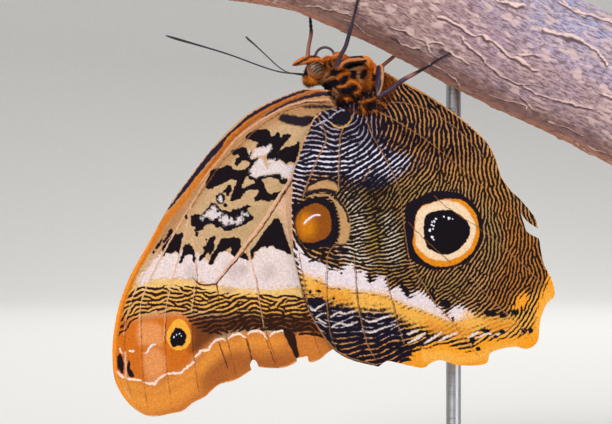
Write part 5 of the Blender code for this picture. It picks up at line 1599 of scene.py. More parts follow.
BODY_MARKS = (
    Mark("body_deep", "#5A2A10", soft=1.2, patches=((
        (300, 84), (330, 84), (345, 84), (365, 88), (385, 92), (400, 100), (380, 122), (345, 120),
        (322, 108), (300, 96),
    ),)),
    Mark("body_ink", "#130F18", soft=0.1, ragged=0.25, strokes=(
        ((311.5, 88, 2.4), (316, 84.5, 2.4), (322, 79.6, 2.2), (328, 76.8, 1.8), (332, 75.5, 1.2)),
        ((293.5, 65.4, 1.0), (299, 63, 2.0), (305, 60, 2.5), (311, 57.7, 2.7), (317, 57, 2.5),
         (323, 58.6, 1.4)),
        ((307, 64, 0.9), (311, 61.4, 1.1), (317, 60.8, 1.1), (323, 63, 1.1), (326, 68, 1.1),
         (325.8, 73, 1.1), (323, 77.6, 1.1), (317.5, 80, 1.1), (311.5, 79.4, 1.0), (307, 76, 0.9)),
        ((358, 87.6, 2.0), (360.8, 93, 2.2)),
        ((327.6, 60, 1.2), (330, 64, 1.6)),
    ), patches=(
        ((319, 88), (321, 83), (327, 81), (333, 79.6), (337, 81.6), (337.6, 86), (334, 89), (326, 91)),
        ((329, 71), (333, 70), (337, 71.4), (344, 71.6), (340, 73.4), (336.5, 76), (333, 77.5),
         (329.6, 76)),
        ((328, 63), (330.6, 62.6), (331, 66.5), (328.6, 67)),
        ((342.2, 67.4), (348.6, 63.9), (355.7, 63), (363.9, 61.3), (368, 60.7), (367.2, 63.4),
         (361, 65.9), (353.2, 69), (348.6, 70.5), (344, 70)),
        ((349, 58.4), (355, 56.6), (361, 57), (366, 59.6), (362, 59.6), (355, 59.2), (350, 60)),
        ((349.6, 71.4), (352.6, 70.8), (355, 73.5), (355.6, 77.5), (354, 80.6), (350.8, 79.6),
         (348.8, 75)),
        ((338.2, 80.4), (343, 77.2), (348.6, 77.8), (346.4, 81.8), (342.4, 85.4), (338.6, 84.6)),
        ((358, 73.4), (362, 70.8), (366, 70.8), (365.4, 75.6), (361.4, 79.6), (358.2, 78.8)),
        ((370.2, 77), (373.6, 76.2), (374.2, 79.6), (372.4, 82.6), (369.8, 81.2)),
        ((340.6, 88.6), (348, 87.6), (352.6, 86.4), (354.8, 88.4), (352, 92), (346, 94.4), (340, 93)),
        ((349, 95.6), (353.6, 94.4), (356.8, 96.4), (356, 100.6), (351, 101), (348.6, 98.6)),
        ((360.6, 93.4), (365, 92), (369.4, 94.4), (369, 98.4), (364, 99.4), (360.6, 97.4)),
        ((370.8, 88), (374, 87.6), (375.4, 94), (374, 99), (370.8, 95)),
        ((338, 101), (346, 100.6), (351.4, 102.4), (349.6, 106.8), (342, 109), (337.4, 105.4)),
        ((352.6, 104.6), (359, 103.6), (360.4, 107), (357, 110.6), (352.8, 109)),
        ((364.6, 103), (370, 101.8), (374.6, 103.6), (373, 108.8), (366.5, 109), (363.6, 106.4)),
        ((363.6, 112), (370, 112.4), (375.6, 112.6), (375, 118), (366, 119)),
        ((324, 92), (330, 93), (336, 96.4), (336, 100), (329, 98), (323, 95)),
        ((300.5, 70.6), (304.5, 69.4), (308.4, 71.2), (309.4, 75.4), (305.5, 74.8), (300.6, 75)),
        ((304, 66), (306.5, 65), (307.6, 68), (305.4, 69.4)),
        ((303, 80), (306, 79), (308, 82), (306, 85), (303.4, 84)),
        ((386, 104), (396, 108), (410, 116), (426, 127), (424, 131), (408, 121), (392, 112)),
    )),
    Mark("body_tan", "#B98452", soft=0.14, ragged=0.2, strokes=(
        ((340.4, 65.3, 1.2), (346.5, 62.6, 1.6), (352.7, 60.8, 1.8), (360, 60.2, 1.8), (366, 60.2, 1.2)),
        ((346, 72, 1.4), (352, 70.2, 2.0), (357, 69, 2.4), (362, 67, 2.8), (366, 65, 2.4)),
        ((356.8, 71.6, 1.8), (356.8, 78, 1.8), (360, 82.4, 2.2)),
        ((317, 86, 1.2), (322, 81.4, 1.4), (328, 78.6, 1.2), (333, 77.4, 1.0)),
        ((327, 66, 1.2), (326.6, 73, 1.4), (322.6, 78.6, 1.4), (316, 81.4, 1.0)),
        ((332.8, 88.8, 1.4), (335, 91, 1.8), (337, 93.6, 1.4)),
    )),
    # Orange fur lines between the black marks; the first three strokes, along the top edges of palp, head
    # and thorax, are a painted highlight
    Mark("body_orange_and_top_highlight", "#E8842A", soft=0.16, ragged=0.25, strokes=(
        ((293, 63.8, 1.2), (300, 60.2, 1.8), (307, 56.6, 2.0), (313, 55, 2.0), (321, 55.6, 1.8)),
        ((297, 66.8, 1.4), (303, 64, 2.0), (310, 61.2, 1.8), (317, 60.2, 1.8), (324, 60, 3.0),
         (330, 57.6, 4.0), (334, 57, 4.0)),
        ((338, 55.5, 3.0), (350, 54.6, 2.8), (360, 55.2, 2.6), (367, 59.2, 2.8), (374, 62.6, 3.2),
         (381, 67, 2.6)),
        ((304, 75, 2.4), (309, 77.6, 2.6), (313, 80.5, 3.8), (315, 84, 3.4)),
        ((336.6, 80.4, 1.4), (338, 77.4, 1.8), (341.5, 75.6, 2.0), (347.5, 74.2, 1.8)),
        ((337, 87.4, 1.6), (343.4, 87, 1.8), (347, 83.6, 2.2), (350, 81.8, 2.4), (353.4, 83.4, 2.2),
         (357.6, 86.2, 2.2), (358.4, 89.4, 1.8), (355.6, 92.4, 2.0), (352.7, 94.6, 1.4)),
        ((343.5, 98.6, 2.2), (349, 98.2, 1.6)),
        ((359.8, 101.6, 1.8), (366, 100.2, 2.4), (372.6, 97.4, 2.0)),
        ((353, 102, 1.8), (358, 101.6, 1.6)), ((367.6, 111.2, 1.6), (374.6, 110.4, 1.8)),
        ((359.6, 104, 1.4), (361.6, 110, 1.8), (360, 116, 1.4)),
        ((367.4, 62, 2.4), (368.4, 70, 2.2), (368.4, 80, 2.0), (368, 90, 1.6)),
        ((373.4, 63.6, 2.4), (374.8, 70, 2.0), (373.6, 75, 1.6)),
        ((383, 74, 2.0), (391, 78, 2.2), (396, 80.6, 1.6)),
        ((376, 100, 1.6), (382, 104, 1.8), (391, 106, 1.2)),
        ((395, 99, 2.0), (415, 110, 2.0), (440, 127, 1.6)),
    )),
)


def vertex_places(piece: Piece) -> np.ndarray:
    """Rows of the piece's corners.

    Args:
        piece: The piece.

    Returns:
        One row of (X, Y, Z) for each corner.
    """
    places = np.empty(len(piece.data.vertices) * 3)
    piece.data.vertices.foreach_get("co", places)
    return places.reshape(-1, 3)


def swept(rings: Sequence[np.ndarray]) -> tuple[np.ndarray, list]:
    """A closed body through rings of as many points each.

    Args:
        rings: The rings' points, in order.

    Returns:
        The corners and the faces, with flat ends.
    """
    sides = len(rings[0])
    faces = []
    for number in range(len(rings) - 1):
        first = number * sides
        for i in range(sides):
            j = (i + 1) % sides
            faces.append((first + i, first + j, first + sides + j, first + sides + i))
    faces.append(tuple(range(sides))[::-1])
    faces.append(tuple(range((len(rings) - 1) * sides, len(rings) * sides)))
    return np.vstack(rings), faces


def segment_rings(
    stations: Points, inset: float, spacing: float, sides: int = 32,
    waist: Callable[[float], float] | None = None,
) -> list[np.ndarray]:
    """Oval rings square to a segment's own middle line.

    Args:
        stations: Rows of (x, y, half height, half width), heights in mm.
        inset: How much thinner than the stations say.
        spacing: About how far apart the rings are.
        sides: How many points a ring has.
        waist: Gives a share of the radius at each part of the length, from 0 to 1.

    Returns:
        The rings' points.
    """
    given = np.asarray(stations, float)
    values = np.column_stack([drawn(given[:, :2]), given[:, 2:] * MM])
    line = evenly(smooth_line(values, 6), spacing)
    along = np.gradient(line[:, :2], axis=0)
    along /= np.linalg.norm(along, axis=1)[:, None]
    turns = np.linspace(0, math.tau, sides, endpoint=False)
    rings = []
    for number, ((x, z, tall, wide), (ax, az)) in enumerate(zip(line, along)):
        share = waist(number / (len(line) - 1)) if waist else 1.0
        up = max(tall - inset, 0.2 * tall) * share * np.cos(turns)
        out = max(wide - inset, 0.2 * wide) * share * np.sin(turns)
        rings.append(np.column_stack([x - az * up, out, z + ax * up]))
    return rings


def choose_only(*pieces: Piece) -> None:
    """Selects these objects alone and makes the first the active one.

    Args:
        *pieces: The objects, the active one first.
    """
    bpy.ops.object.select_all(action="DESELECT")
    for piece in pieces:
        piece.select_set(True)
    bpy.context.view_layer.objects.active = pieces[0]


@dataclass(frozen=True)
class Skin:
    """The body under its fur: one closed surface over head, thorax and abdomen."""

    inset: float = 0.45 * MM
    voxel: float = 0.24 * MM

    def build(self) -> Piece:
        """Joins the segments' forms and remeshes them as one.

        Returns:
            The skin.
        """
        voxel = self.voxel * 1
        parts = [
            mesh_object("body_skin", *swept(segment_rings(THORAX, self.inset, 0.5 * MM))),
            mesh_object("neck", *swept(segment_rings(NECK, 0.2 * MM, 0.5 * MM))),
            mesh_object("waist", *swept(segment_rings(WAIST, 0.2 * MM, 0.5 * MM))),
            mesh_object("abdomen_form", *swept(segment_rings(
                ABDOMEN, self.inset, 0.25 * MM, waist=lambda t: 1 - 0.05 * (1 + math.cos(16 * math.pi * t)),
            ))),
        ]
        head = (*HEAD_CENTRE, 0.0)
        balls = [(head, [r - self.inset for r in HEAD_RADII])]
        for x, y, *radii in CHEST_MOUNDS:
            balls.append(((x, y, 0.0), [r * MM for r in radii]))
        for place, depth, radius in HINGE_LOBES:
            for side in (RIGHT, LEFT):
                size = radius * MM - self.inset
                balls.append(((*place, side * depth * MM), (size, size, size)))
        for (x, y, depth), radii in balls:
            across, up = drawn([(x, y)])[0]
            parts.append(ball((across, depth, up), radii, 32, 20))
        skin = joined(parts, "body_skin")
        remesh = skin.modifiers.new("Remesh", "REMESH")
        remesh.mode = "VOXEL"
        remesh.voxel_size = voxel
        relax = skin.modifiers.new("Smooth", "SMOOTH")
        relax.factor = 0.6
        relax.iterations = 6
        for name in ("Remesh", "Smooth"):
            bpy.ops.object.modifier_apply(modifier=name)
        choose_only(skin)
        bpy.ops.object.shade_smooth()
        return skin


def body_unwrap(places: np.ndarray) -> np.ndarray:
    """Where a place of the body lies on the bake map: round the body and along it.

    Args:
        places: Rows of places.

    Returns:
        One (u, v) for each place.
    """
    line = drawn([(300, 72), (325, 76), (348, 82), (383, 95), (430, 126), (470, 151)])
    low, high = line[0, 0], line[-1, 0]
    middle = np.interp(places[:, 0], line[:, 0], line[:, 1])
    turn = np.arctan2(places[:, 1], places[:, 2] - middle) / math.tau
    along = (places[:, 0] - low) / (high - low)
    return np.column_stack([0.02 + 0.96 * np.clip(along, 0, 1), 0.5 + 0.94 * turn])


def wrap_bake_map(piece: Piece, unwrap: Reading) -> None:
    """Gives the piece a bake map from its corners' places, mended where a face spans the seam.

    Args:
        piece: The piece.
        unwrap: Gives the map's place for each place of the piece.
    """
    corners, face = face_starts(piece)
    spots = unwrap(vertex_places(piece))[corners]
    across = highest(spots[:, 1], face) + highest(-spots[:, 1], face) > 0.4
    spots[across, 1] = np.where(spots[across, 1] < 0.5, 0.985, spots[across, 1])
    bake_map(piece, spots)


@dataclass(frozen=True)
class Coat:
    """Hair as many small pointed blades that lie along a surface."""

    name: str
    density: float
    length: tuple[float, float]
    width: float
    lift: float = 24.0
    spread: float = 16.0
    seed: int = 1

    def grow(
        self, skin: Piece, lie: Reading, unwrap: Reading, keep: Callable | None = None,
        longer: Reading | None = None,
    ) -> Piece:
        """Plants the blades on a surface.

        Args:
            skin: The surface.
            lie: Gives the direction that hair lies in at each place.
            unwrap: Gives each root's place on the bake map.
            keep: Tells which roots to keep.
            longer: Gives each root's length as a share.

        Returns:
            The hair as one piece, with its roots' places as its bake map.
        """
        rng = np.random.default_rng(self.seed)
        roots, normals = self.roots(skin, rng)
        if keep:
            kept = keep(roots, normals)
            roots, normals = roots[kept], normals[kept]
        count = len(roots)
        flow = lie(roots)
        flow = flow - normals * np.sum(flow * normals, axis=1)[:, None]
        flow /= np.linalg.norm(flow, axis=1)[:, None] + 1e-12
        side = np.cross(normals, flow)
        turn = np.radians(self.spread) * rng.normal(0, 1, count)
        flow, side = (
            flow * np.cos(turn)[:, None] + side * np.sin(turn)[:, None],
            side * np.cos(turn)[:, None] - flow * np.sin(turn)[:, None],
        )
        lift = np.radians(self.lift * rng.uniform(0.5, 1.5, count))[:, None]
        rise = flow * np.cos(lift) + normals * np.sin(lift)
        size = rng.uniform(*self.length, count) * MM
        if longer:
            size = size * longer(roots)
        size = size[:, None]
        wide = (self.width * MM * rng.uniform(0.75, 1.25, count))[:, None]
        thick = np.cross(side, rise)
        base = roots - 0.08 * MM * normals
        bend = rise * 0.86 + flow * 0.14 * np.cos(lift)
        middle = base + 0.5 * size * rise
        tip = middle + 0.5 * size * bend
        rings = []
        for centre, share in ((base, 1.0), (middle, 0.8)):
            for angle in (90, 210, 330):
                across = math.cos(math.radians(angle)) * side + 0.6 * math.sin(math.radians(angle)) * thick
                rings.append(centre + 0.5 * share * wide * across)
        verts = np.stack([*rings, tip], axis=1).reshape(-1, 3)
        blade = len(rings) + 1
        one = []
        for i in range(3):
            j = (i + 1) % 3
            one += [(i, j, j + 3), (i, j + 3, i + 3), (i + 3, j + 3, 6)]
        one.append((2, 1, 0))
        faces = (np.arange(count)[:, None, None] * blade + np.array(one)[None]).reshape(-1, 3)
        hair = mesh_object(self.name, verts, faces)
        spots = unwrap(roots)
        offsets = 0.0015 * np.array([(-1, -1), (0, -1), (1, -1), (-1, 0), (0, 0.2), (1, 0), (0, 1)])
        every = (spots[:, None, :] + offsets[None]).reshape(-1, 2)
        bake_map(hair, np.clip(every[faces.ravel()], 0.001, 0.999))
        # tip runs from 0 at the root to 1 at the tip and drives the painted shade among the hairs
        carry(hair, "tip", np.tile([0, 0, 0, 0.5, 0.5, 0.5, 1.0], count))
        carry(hair, "strand", np.repeat(rng.uniform(-1, 1, count), blade))
        return hair

    def roots(self, skin: Piece, rng: np.random.Generator) -> tuple[np.ndarray, np.ndarray]:
        """Evenly scattered places on the surface, with the surface's direction there.

        Args:
            skin: The surface.
            rng: The seeded source of chance.

        Returns:
            The places, and the directions.
        """
        skin.data.calc_loop_triangles()
        triangles = np.empty(len(skin.data.loop_triangles) * 3, int)
        skin.data.loop_triangles.foreach_get("vertices", triangles)
        triangles = triangles.reshape(-1, 3)
        places = vertex_places(skin)
        facing = np.empty(len(skin.data.vertices) * 3)
        skin.data.vertex_normals.foreach_get("vector", facing)
        facing = facing.reshape(-1, 3)
        a, b, c = (places[triangles[:, i]] for i in range(3))
        area = np.linalg.norm(np.cross(b - a, c - a), axis=1) / 2
        density = self.density * 1
        count = int(area.sum() / MM ** 2 * density)
        pick = rng.choice(len(triangles), count, p=area / area.sum())
        share = rng.dirichlet((1, 1, 1), count)
        roots = sum(share[:, i:i + 1] * places[triangles[pick, i]] for i in range(3))
        normals = sum(share[:, i:i + 1] * facing[triangles[pick, i]] for i in range(3))
        return roots, normals / np.linalg.norm(normals, axis=1)[:, None]


def mark_hair(hair: Piece, marks: Sequence[Mark]) -> None:
    """Gives each blade of a coat the fields of the markings at its root."""
    blades = vertex_places(hair).reshape(-1, 7, 3)
    mark_sides(hair, marks, np.repeat(blades[:, :3].mean(axis=1), 7, axis=0))


def mark_sides(piece: Piece, marks: Sequence[Mark], places: np.ndarray | None = None) -> None:
    """Gives a piece the fields of markings that are drawn from the side.

    Args:
        piece: The piece.
        marks: Its markings.
        places: Where to read them for each corner, by default the corner itself.
    """
    read = vertex_places(piece) if places is None else places
    flat = read[:, [0, 2]]
    warped = flat + 0.12 * MM * np.column_stack([octaves(read, 0.8 * MM, s) for s in (21, 22)])
    for mark in marks:
        carry(piece, mark.name, mark.values(warped) + mark.bias)


@dataclass(frozen=True)
class ScalyFur(Finish):
    """Scaly fur: matt and warm in its markings' colours, lighter towards the hairs' tips, whose darker roots
    are painted shade among the hairs.
    """

    ground: str = "#B9601F"
    hair: bool = True

    def paint(self, tree: Tree, shader: Node) -> None:
        """The ground, its markings, and the painted shade from each hair's root to its tip, or the skin's
        relief.

        Args:
            tree: The material's node tree.
            shader: The Principled shader.
        """
        ragged = Grain(0.35, 3).socket(tree)
        tone = blended(tree, span(tree, ragged, 0.3, 0.7, 0.0, 0.7), self.ground, "#6E3412")
        tone = laid(tree, tone, BODY_MARKS, reckoned(tree, "SUBTRACT", ragged, 0.5), 2)
        if self.hair:
            # Painted shade: each hair darkens towards its root
            tone = hair_shaded(tree, tone, 0.26)
        else:
            embossed(tree, shader, ragged, 0.5, 0.1)
        surfaced(tree, shader, tone, 0.6, specular=0.12)


def body_lie(roots: np.ndarray) -> np.ndarray:
    """Fur lies back from the face over the thorax, and down over the wings' roots.

    Args:
        roots: Rows of places.

    Returns:
        The direction that hair lies in at each place.
    """
    down = smooth_step(-roots[:, 2], -drawn([(0, 84)])[0, 1], -drawn([(0, 108)])[0, 1])
    flow = np.column_stack([np.full(len(roots), 0.9), np.zeros(len(roots)), -0.15 - 0.9 * down])
    flow += beard_share(roots)[:, None] * ((-0.5, 0, -1.0) - flow)
    flow[:, 0] += 0.35 * octaves(roots, 1.6 * MM, 31)
    flow[:, 2] += 0.35 * octaves(roots, 1.6 * MM, 32)
    return flow


def beard_share(roots: np.ndarray) -> np.ndarray:
    """How far a place belongs to the beard under the face, 0 to 1."""
    chin = drawn([(304, 81)])[0]
    return 1 - smooth_step(np.linalg.norm(roots[:, [0, 2]] - chin, axis=1), 0.9 * MM, 2.0 * MM)


@dataclass(frozen=True)
class Body:
    """The furry body: its skin, and the fur of head, thorax and abdomen."""

    skin: Skin = Skin()
    neck: float = 326
    waist: float = 384
    eye_room: float = 1.12
    long_fur: tuple[float, float] = (88, 104)
    long_growth: float = 0.9
    beard_growth: float = 1.1
    head: Coat = Coat("head_fur", 80, (0.5, 0.95), 0.10, lift=36, seed=41)
    thorax: Coat = Coat("thorax_fur", 44, (0.5, 0.95), 0.11, lift=27, spread=10, seed=42)
    abdomen: Coat = Coat("abdomen_fur", 26, (0.6, 0.9), 0.14, lift=20, seed=43)

    def build(self) -> None:
        """Builds the skin and plants the three coats on it."""
        skin = self.skin.build()
        mark_sides(skin, BODY_MARKS)
        wrap_bake_map(skin, body_unwrap)
        skin.data.materials.append(ScalyFur("body_skin", "#A8561E", hair=False).made())
        fur = ScalyFur("body_fur").made()
        neck, waist = drawn([(self.neck, 0), (self.waist, 0)])[:, 0]
        coats = (
            (self.head, lambda p, n: (p[:, 0] < neck) & self.off_eye(p), self.bearded),
            (self.thorax, lambda p, n: (p[:, 0] >= neck) & (p[:, 0] < waist), self.longer),
            (self.abdomen, lambda p, n: p[:, 0] >= waist, None),
        )
        for coat, keep, share in coats:
            hair = coat.grow(skin, body_lie, body_unwrap, keep, share)
            mark_hair(hair, BODY_MARKS)
            hair.data.materials.append(fur)
            settle(hair, Slot.BODY)
        settle(skin, Slot.BODY, "head", "thorax", "abdomen")

    def off_eye(self, roots: np.ndarray) -> np.ndarray:
        """Whether each place is clear of both eyes.

        Args:
            roots: Rows of places.

        Returns:
            One answer for each place.
        """
        across, up = drawn([EYE_CENTRE])[0]
        apart = np.abs(roots) * (0, 1, 0) - (0, EYE_DEPTH, 0)
        apart = (apart + (roots - (across, 0, up)) * (1, 0, 1)) / EYE_RADII
        return np.linalg.norm(apart, axis=1) > self.eye_room

    def longer(self, roots: np.ndarray) -> np.ndarray:
        """The thorax's fur grows longer towards the wings' roots."""
        high, low = drawn([(0, y) for y in self.long_fur])[:, 1]
        return 1 + self.long_growth * smooth_step(-roots[:, 2], -high, -low)

    def bearded(self, roots: np.ndarray) -> np.ndarray:
        """The head's fur is longest under the face."""
        return 1 + self.beard_growth * beard_share(roots)


# Eyes, limbs and feelers

EYE_MARKS = (
    Mark("eye_amber", "#8A4A1E", soft=0.8, patches=((
        (307, 66), (311, 72), (317, 76), (325, 74), (326, 80), (314, 82), (305, 76),
    ),)),
    Mark("eye_bands", "#96602F", soft=0.08, ragged=0.06, strokes=(
        ((309.6, 67.6, 0.8), (313, 64.2, 0.8), (318, 62.4, 0.5)),
        ((310.4, 70.6, 0.8), (314.6, 66.2, 0.85), (320.6, 64.2, 0.5)),
        ((311.8, 73, 0.8), (316.2, 68.6, 0.85), (322.4, 66.6, 0.5)),
        ((314, 74.8, 0.8), (318, 71, 0.8), (323.2, 69.2, 0.5)),
        ((317.2, 76, 0.7), (320.4, 73.4, 0.7), (323.6, 72, 0.5)),
    )),
    Mark("eye_rim", "#B5611F", soft=0.25, ragged=0.2, strokes=(
        ((323.6, 62.6, 0.8), (324.6, 70, 1.4), (322, 76.6, 1.4), (315, 79.6, 1.2)),
    )),
)

PALP = (
    (323.5, 65, 1.45, 0.6), (317, 60, 1.45, 0.85), (307, 60, 1.3, 0.82), (300, 61.8, 1.1, 0.6),
    (293.6, 64.8, 0.95, 0.25),
)
FORELEG = (
    (352, 68, 1.6, 0.7), (344, 59, 2.5, 0.85), (337, 56, 2.6, 0.8), (332.5, 59.5, 2.4, 0.5),
)
MIDLEG_RIGHT = (
    (373, 68, 2.0, 0.75), (366, 60.5, 3.6, 0.8), (350, 61.5, 4.8, 0.75), (335, 70.5, 5.6, 0.55),
    (339.5, 58.5, 6.0, 0.45), (345, 49.5, 6.6, 0.45), (350, 31.5, 7.2, 0.42),
)
MIDLEG_LEFT = (
    (350, 70, 2.0, 0.7), (334, 66, 4.4, 0.7), (307.5, 57, 5.6, 0.5), (308.5, 45, 6.2, 0.42),
    (311.5, 30, 7.0, 0.42),
)
HINDLEG_RIGHT = (
    (374, 76, 1.6, 0.8), (380, 68, 3.6, 0.8), (379, 82, 5.4, 0.8), (376.5, 98.5, 6.4, 0.55),
    (389.5, 91.5, 7.0, 0.5), (400.5, 82.5, 7.4, 0.5), (412, 76.5, 7.8, 0.42),
)
HINDLEG_LEFT = (
    (374, 76, 1.5, 0.8), (371.5, 77.5, 5.0, 0.7), (370, 79, 8.2, 0.5), (383, 64, 7.2, 0.42),
    (396.5, 53, 7.2, 0.4),
)
LEGS = (  # node, stations, side, the knee's number, and where the foot runs on the bark
    ("midleg_right", MIDLEG_RIGHT, RIGHT, 3, ((353.5, 18), (356.5, 5), (359.5, -8))),
    ("midleg_left", MIDLEG_LEFT, LEFT, 1, ((309.5, 4), (313, -9), (318, -21))),
    ("hindleg_right", HINDLEG_RIGHT, RIGHT, 3, ((425.5, 68.5), (437.5, 61.5), (448, 56))),
    ("hindleg_left", HINDLEG_LEFT, LEFT, 2, ((407, 44), (417, 37), (427, 31))),
)
ANTENNA_RIGHT = (
    (306, 75, 0.8, 0.3), (296, 74, 1.4, 0.17), (281, 73.2, 2.4, 0.15), (262, 67.8, 3.6, 0.15),
    (230, 56, 5.2, 0.16), (198, 47, 6.6, 0.2), (178, 41.5, 7.4, 0.3), (168, 38.5, 7.9, 0.16),
)
ANTENNA_LEFT = (
    (306, 75, 0.8, 0.3), (297, 73.6, 1.8, 0.17), (287, 71.2, 4.2, 0.15), (278, 64.5, 8.0, 0.15),
    (262, 47.5, 14.5, 0.16), (251, 36, 19.2, 0.22), (245.5, 30.5, 22.0, 0.32), (242.5, 27.5, 23.4, 0.18),
)
PROBOSCIS_CENTRE = (325.5, 57)
PROBOSCIS_RADII = (2.15 * MM, 1.35 * MM)
PROBOSCIS_TURN = (math.radians(205), math.radians(-175))
TARSUS_RADIUS = 0.27
CLAW_RADIUS = 0.1
TARSUS_JOINT = 1.15 * MM
KNEE_BEND = 0.9 * MM
FOOT_LIFT = 0.1 * MM

LIMB_MARKS = (
    Mark("limb_pink", "#9C6658", soft=0.9, patches=(
        ((303, 66), (313, 66), (314, 45), (316, 31), (307, 30), (303, 48)),
        ((380, 72), (392, 64), (402, 52), (394, 46), (380, 60), (374, 70)),
        ((407, 81), (416, 76.6), (413, 73), (405, 77)),
    )),
    Mark("limb_dusk", "#2A2030", soft=1.2, patches=(
        ((340, 38), (358, 38), (372, -14), (350, -14)),
        ((304, 24), (316, 24), (326, -26), (310, -26)),
        ((416, 78), (430, 78), (455, 60), (446, 48), (414, 68)),
    )),
    Mark("limb_navy", "#1D2140", soft=0.14, ragged=0.1, patches=(
        ((375.6, 69), (378, 66.6), (379.8, 69), (379.8, 80), (379, 92), (376, 92), (374.8, 80)),
    )),
    Mark("limb_cream", "#D9A476", soft=0.14, ragged=0.12, strokes=(
        ((376, 65.4, 1.2), (380.4, 66.6, 1.6), (381.8, 72, 2.0), (381.6, 82, 2.0), (380, 91, 1.8),
         (377.6, 96.4, 2.6)),
    )),
)
BRANCH_LINE = (
    (200, -70), (246, -67), (282, -62), (318, -53), (362, -35.5), (409, -14), (470, 18.5), (530, 49),
    (590, 76), (643, 104), (690, 130),
)
BRANCH_CUTS = (228.0, 640.0)
BRANCH_RADIUS = 14.15 * MM
BRANCH_DEPTH = 2.0 * MM


def branch_line() -> np.ndarray:
    """The branch's middle line, evenly spaced, from beyond one cut to beyond the other."""
    return evenly(smooth_line(drawn(BRANCH_LINE), 8), 0.5 * MM)


def on_bark(place: tuple[float, float], face: int, lift: float) -> tuple[float, float, float]:
    """The point over this place of the drawing that stands this far off the bark, on one face.

    Args:
        place: A place of the drawing.
        face: The side of the branch.
        lift: How far off the bark.

    Returns:
        The point, in metres.
    """
    across, up = drawn([place])[0]
    off = np.linalg.norm(branch_line() - (across, up), axis=1).min()
    return across, BRANCH_DEPTH + face * math.sqrt((BRANCH_RADIUS + lift) ** 2 - off ** 2), up


def unit(rows: np.ndarray) -> np.ndarray:
    """Rows brought to length one."""
    return rows / (np.linalg.norm(rows, axis=-1, keepdims=True) + 1e-15)


def tube_rings(path: np.ndarray, sides: int) -> list[np.ndarray]:
    """Round rings along a path of (X, Y, Z, radius), which turn as little as they can.

    Args:
        path: The rows.
        sides: How many points a ring has.

    Returns:
        The rings' points.
    """
    along = unit(np.gradient(path[:, :3], axis=0))
    turns = np.linspace(0, math.tau, sides, endpoint=False)[:, None]
    across = unit(np.cross(along[0], (0.3, 0.2, 1.0)))
    rings = []
    for (*centre, radius), way in zip(path, along):
        across = unit(across - way * across.dot(way))
        rings.append(centre + radius * (np.cos(turns) * across + np.sin(turns) * np.cross(way, across)))
    return rings


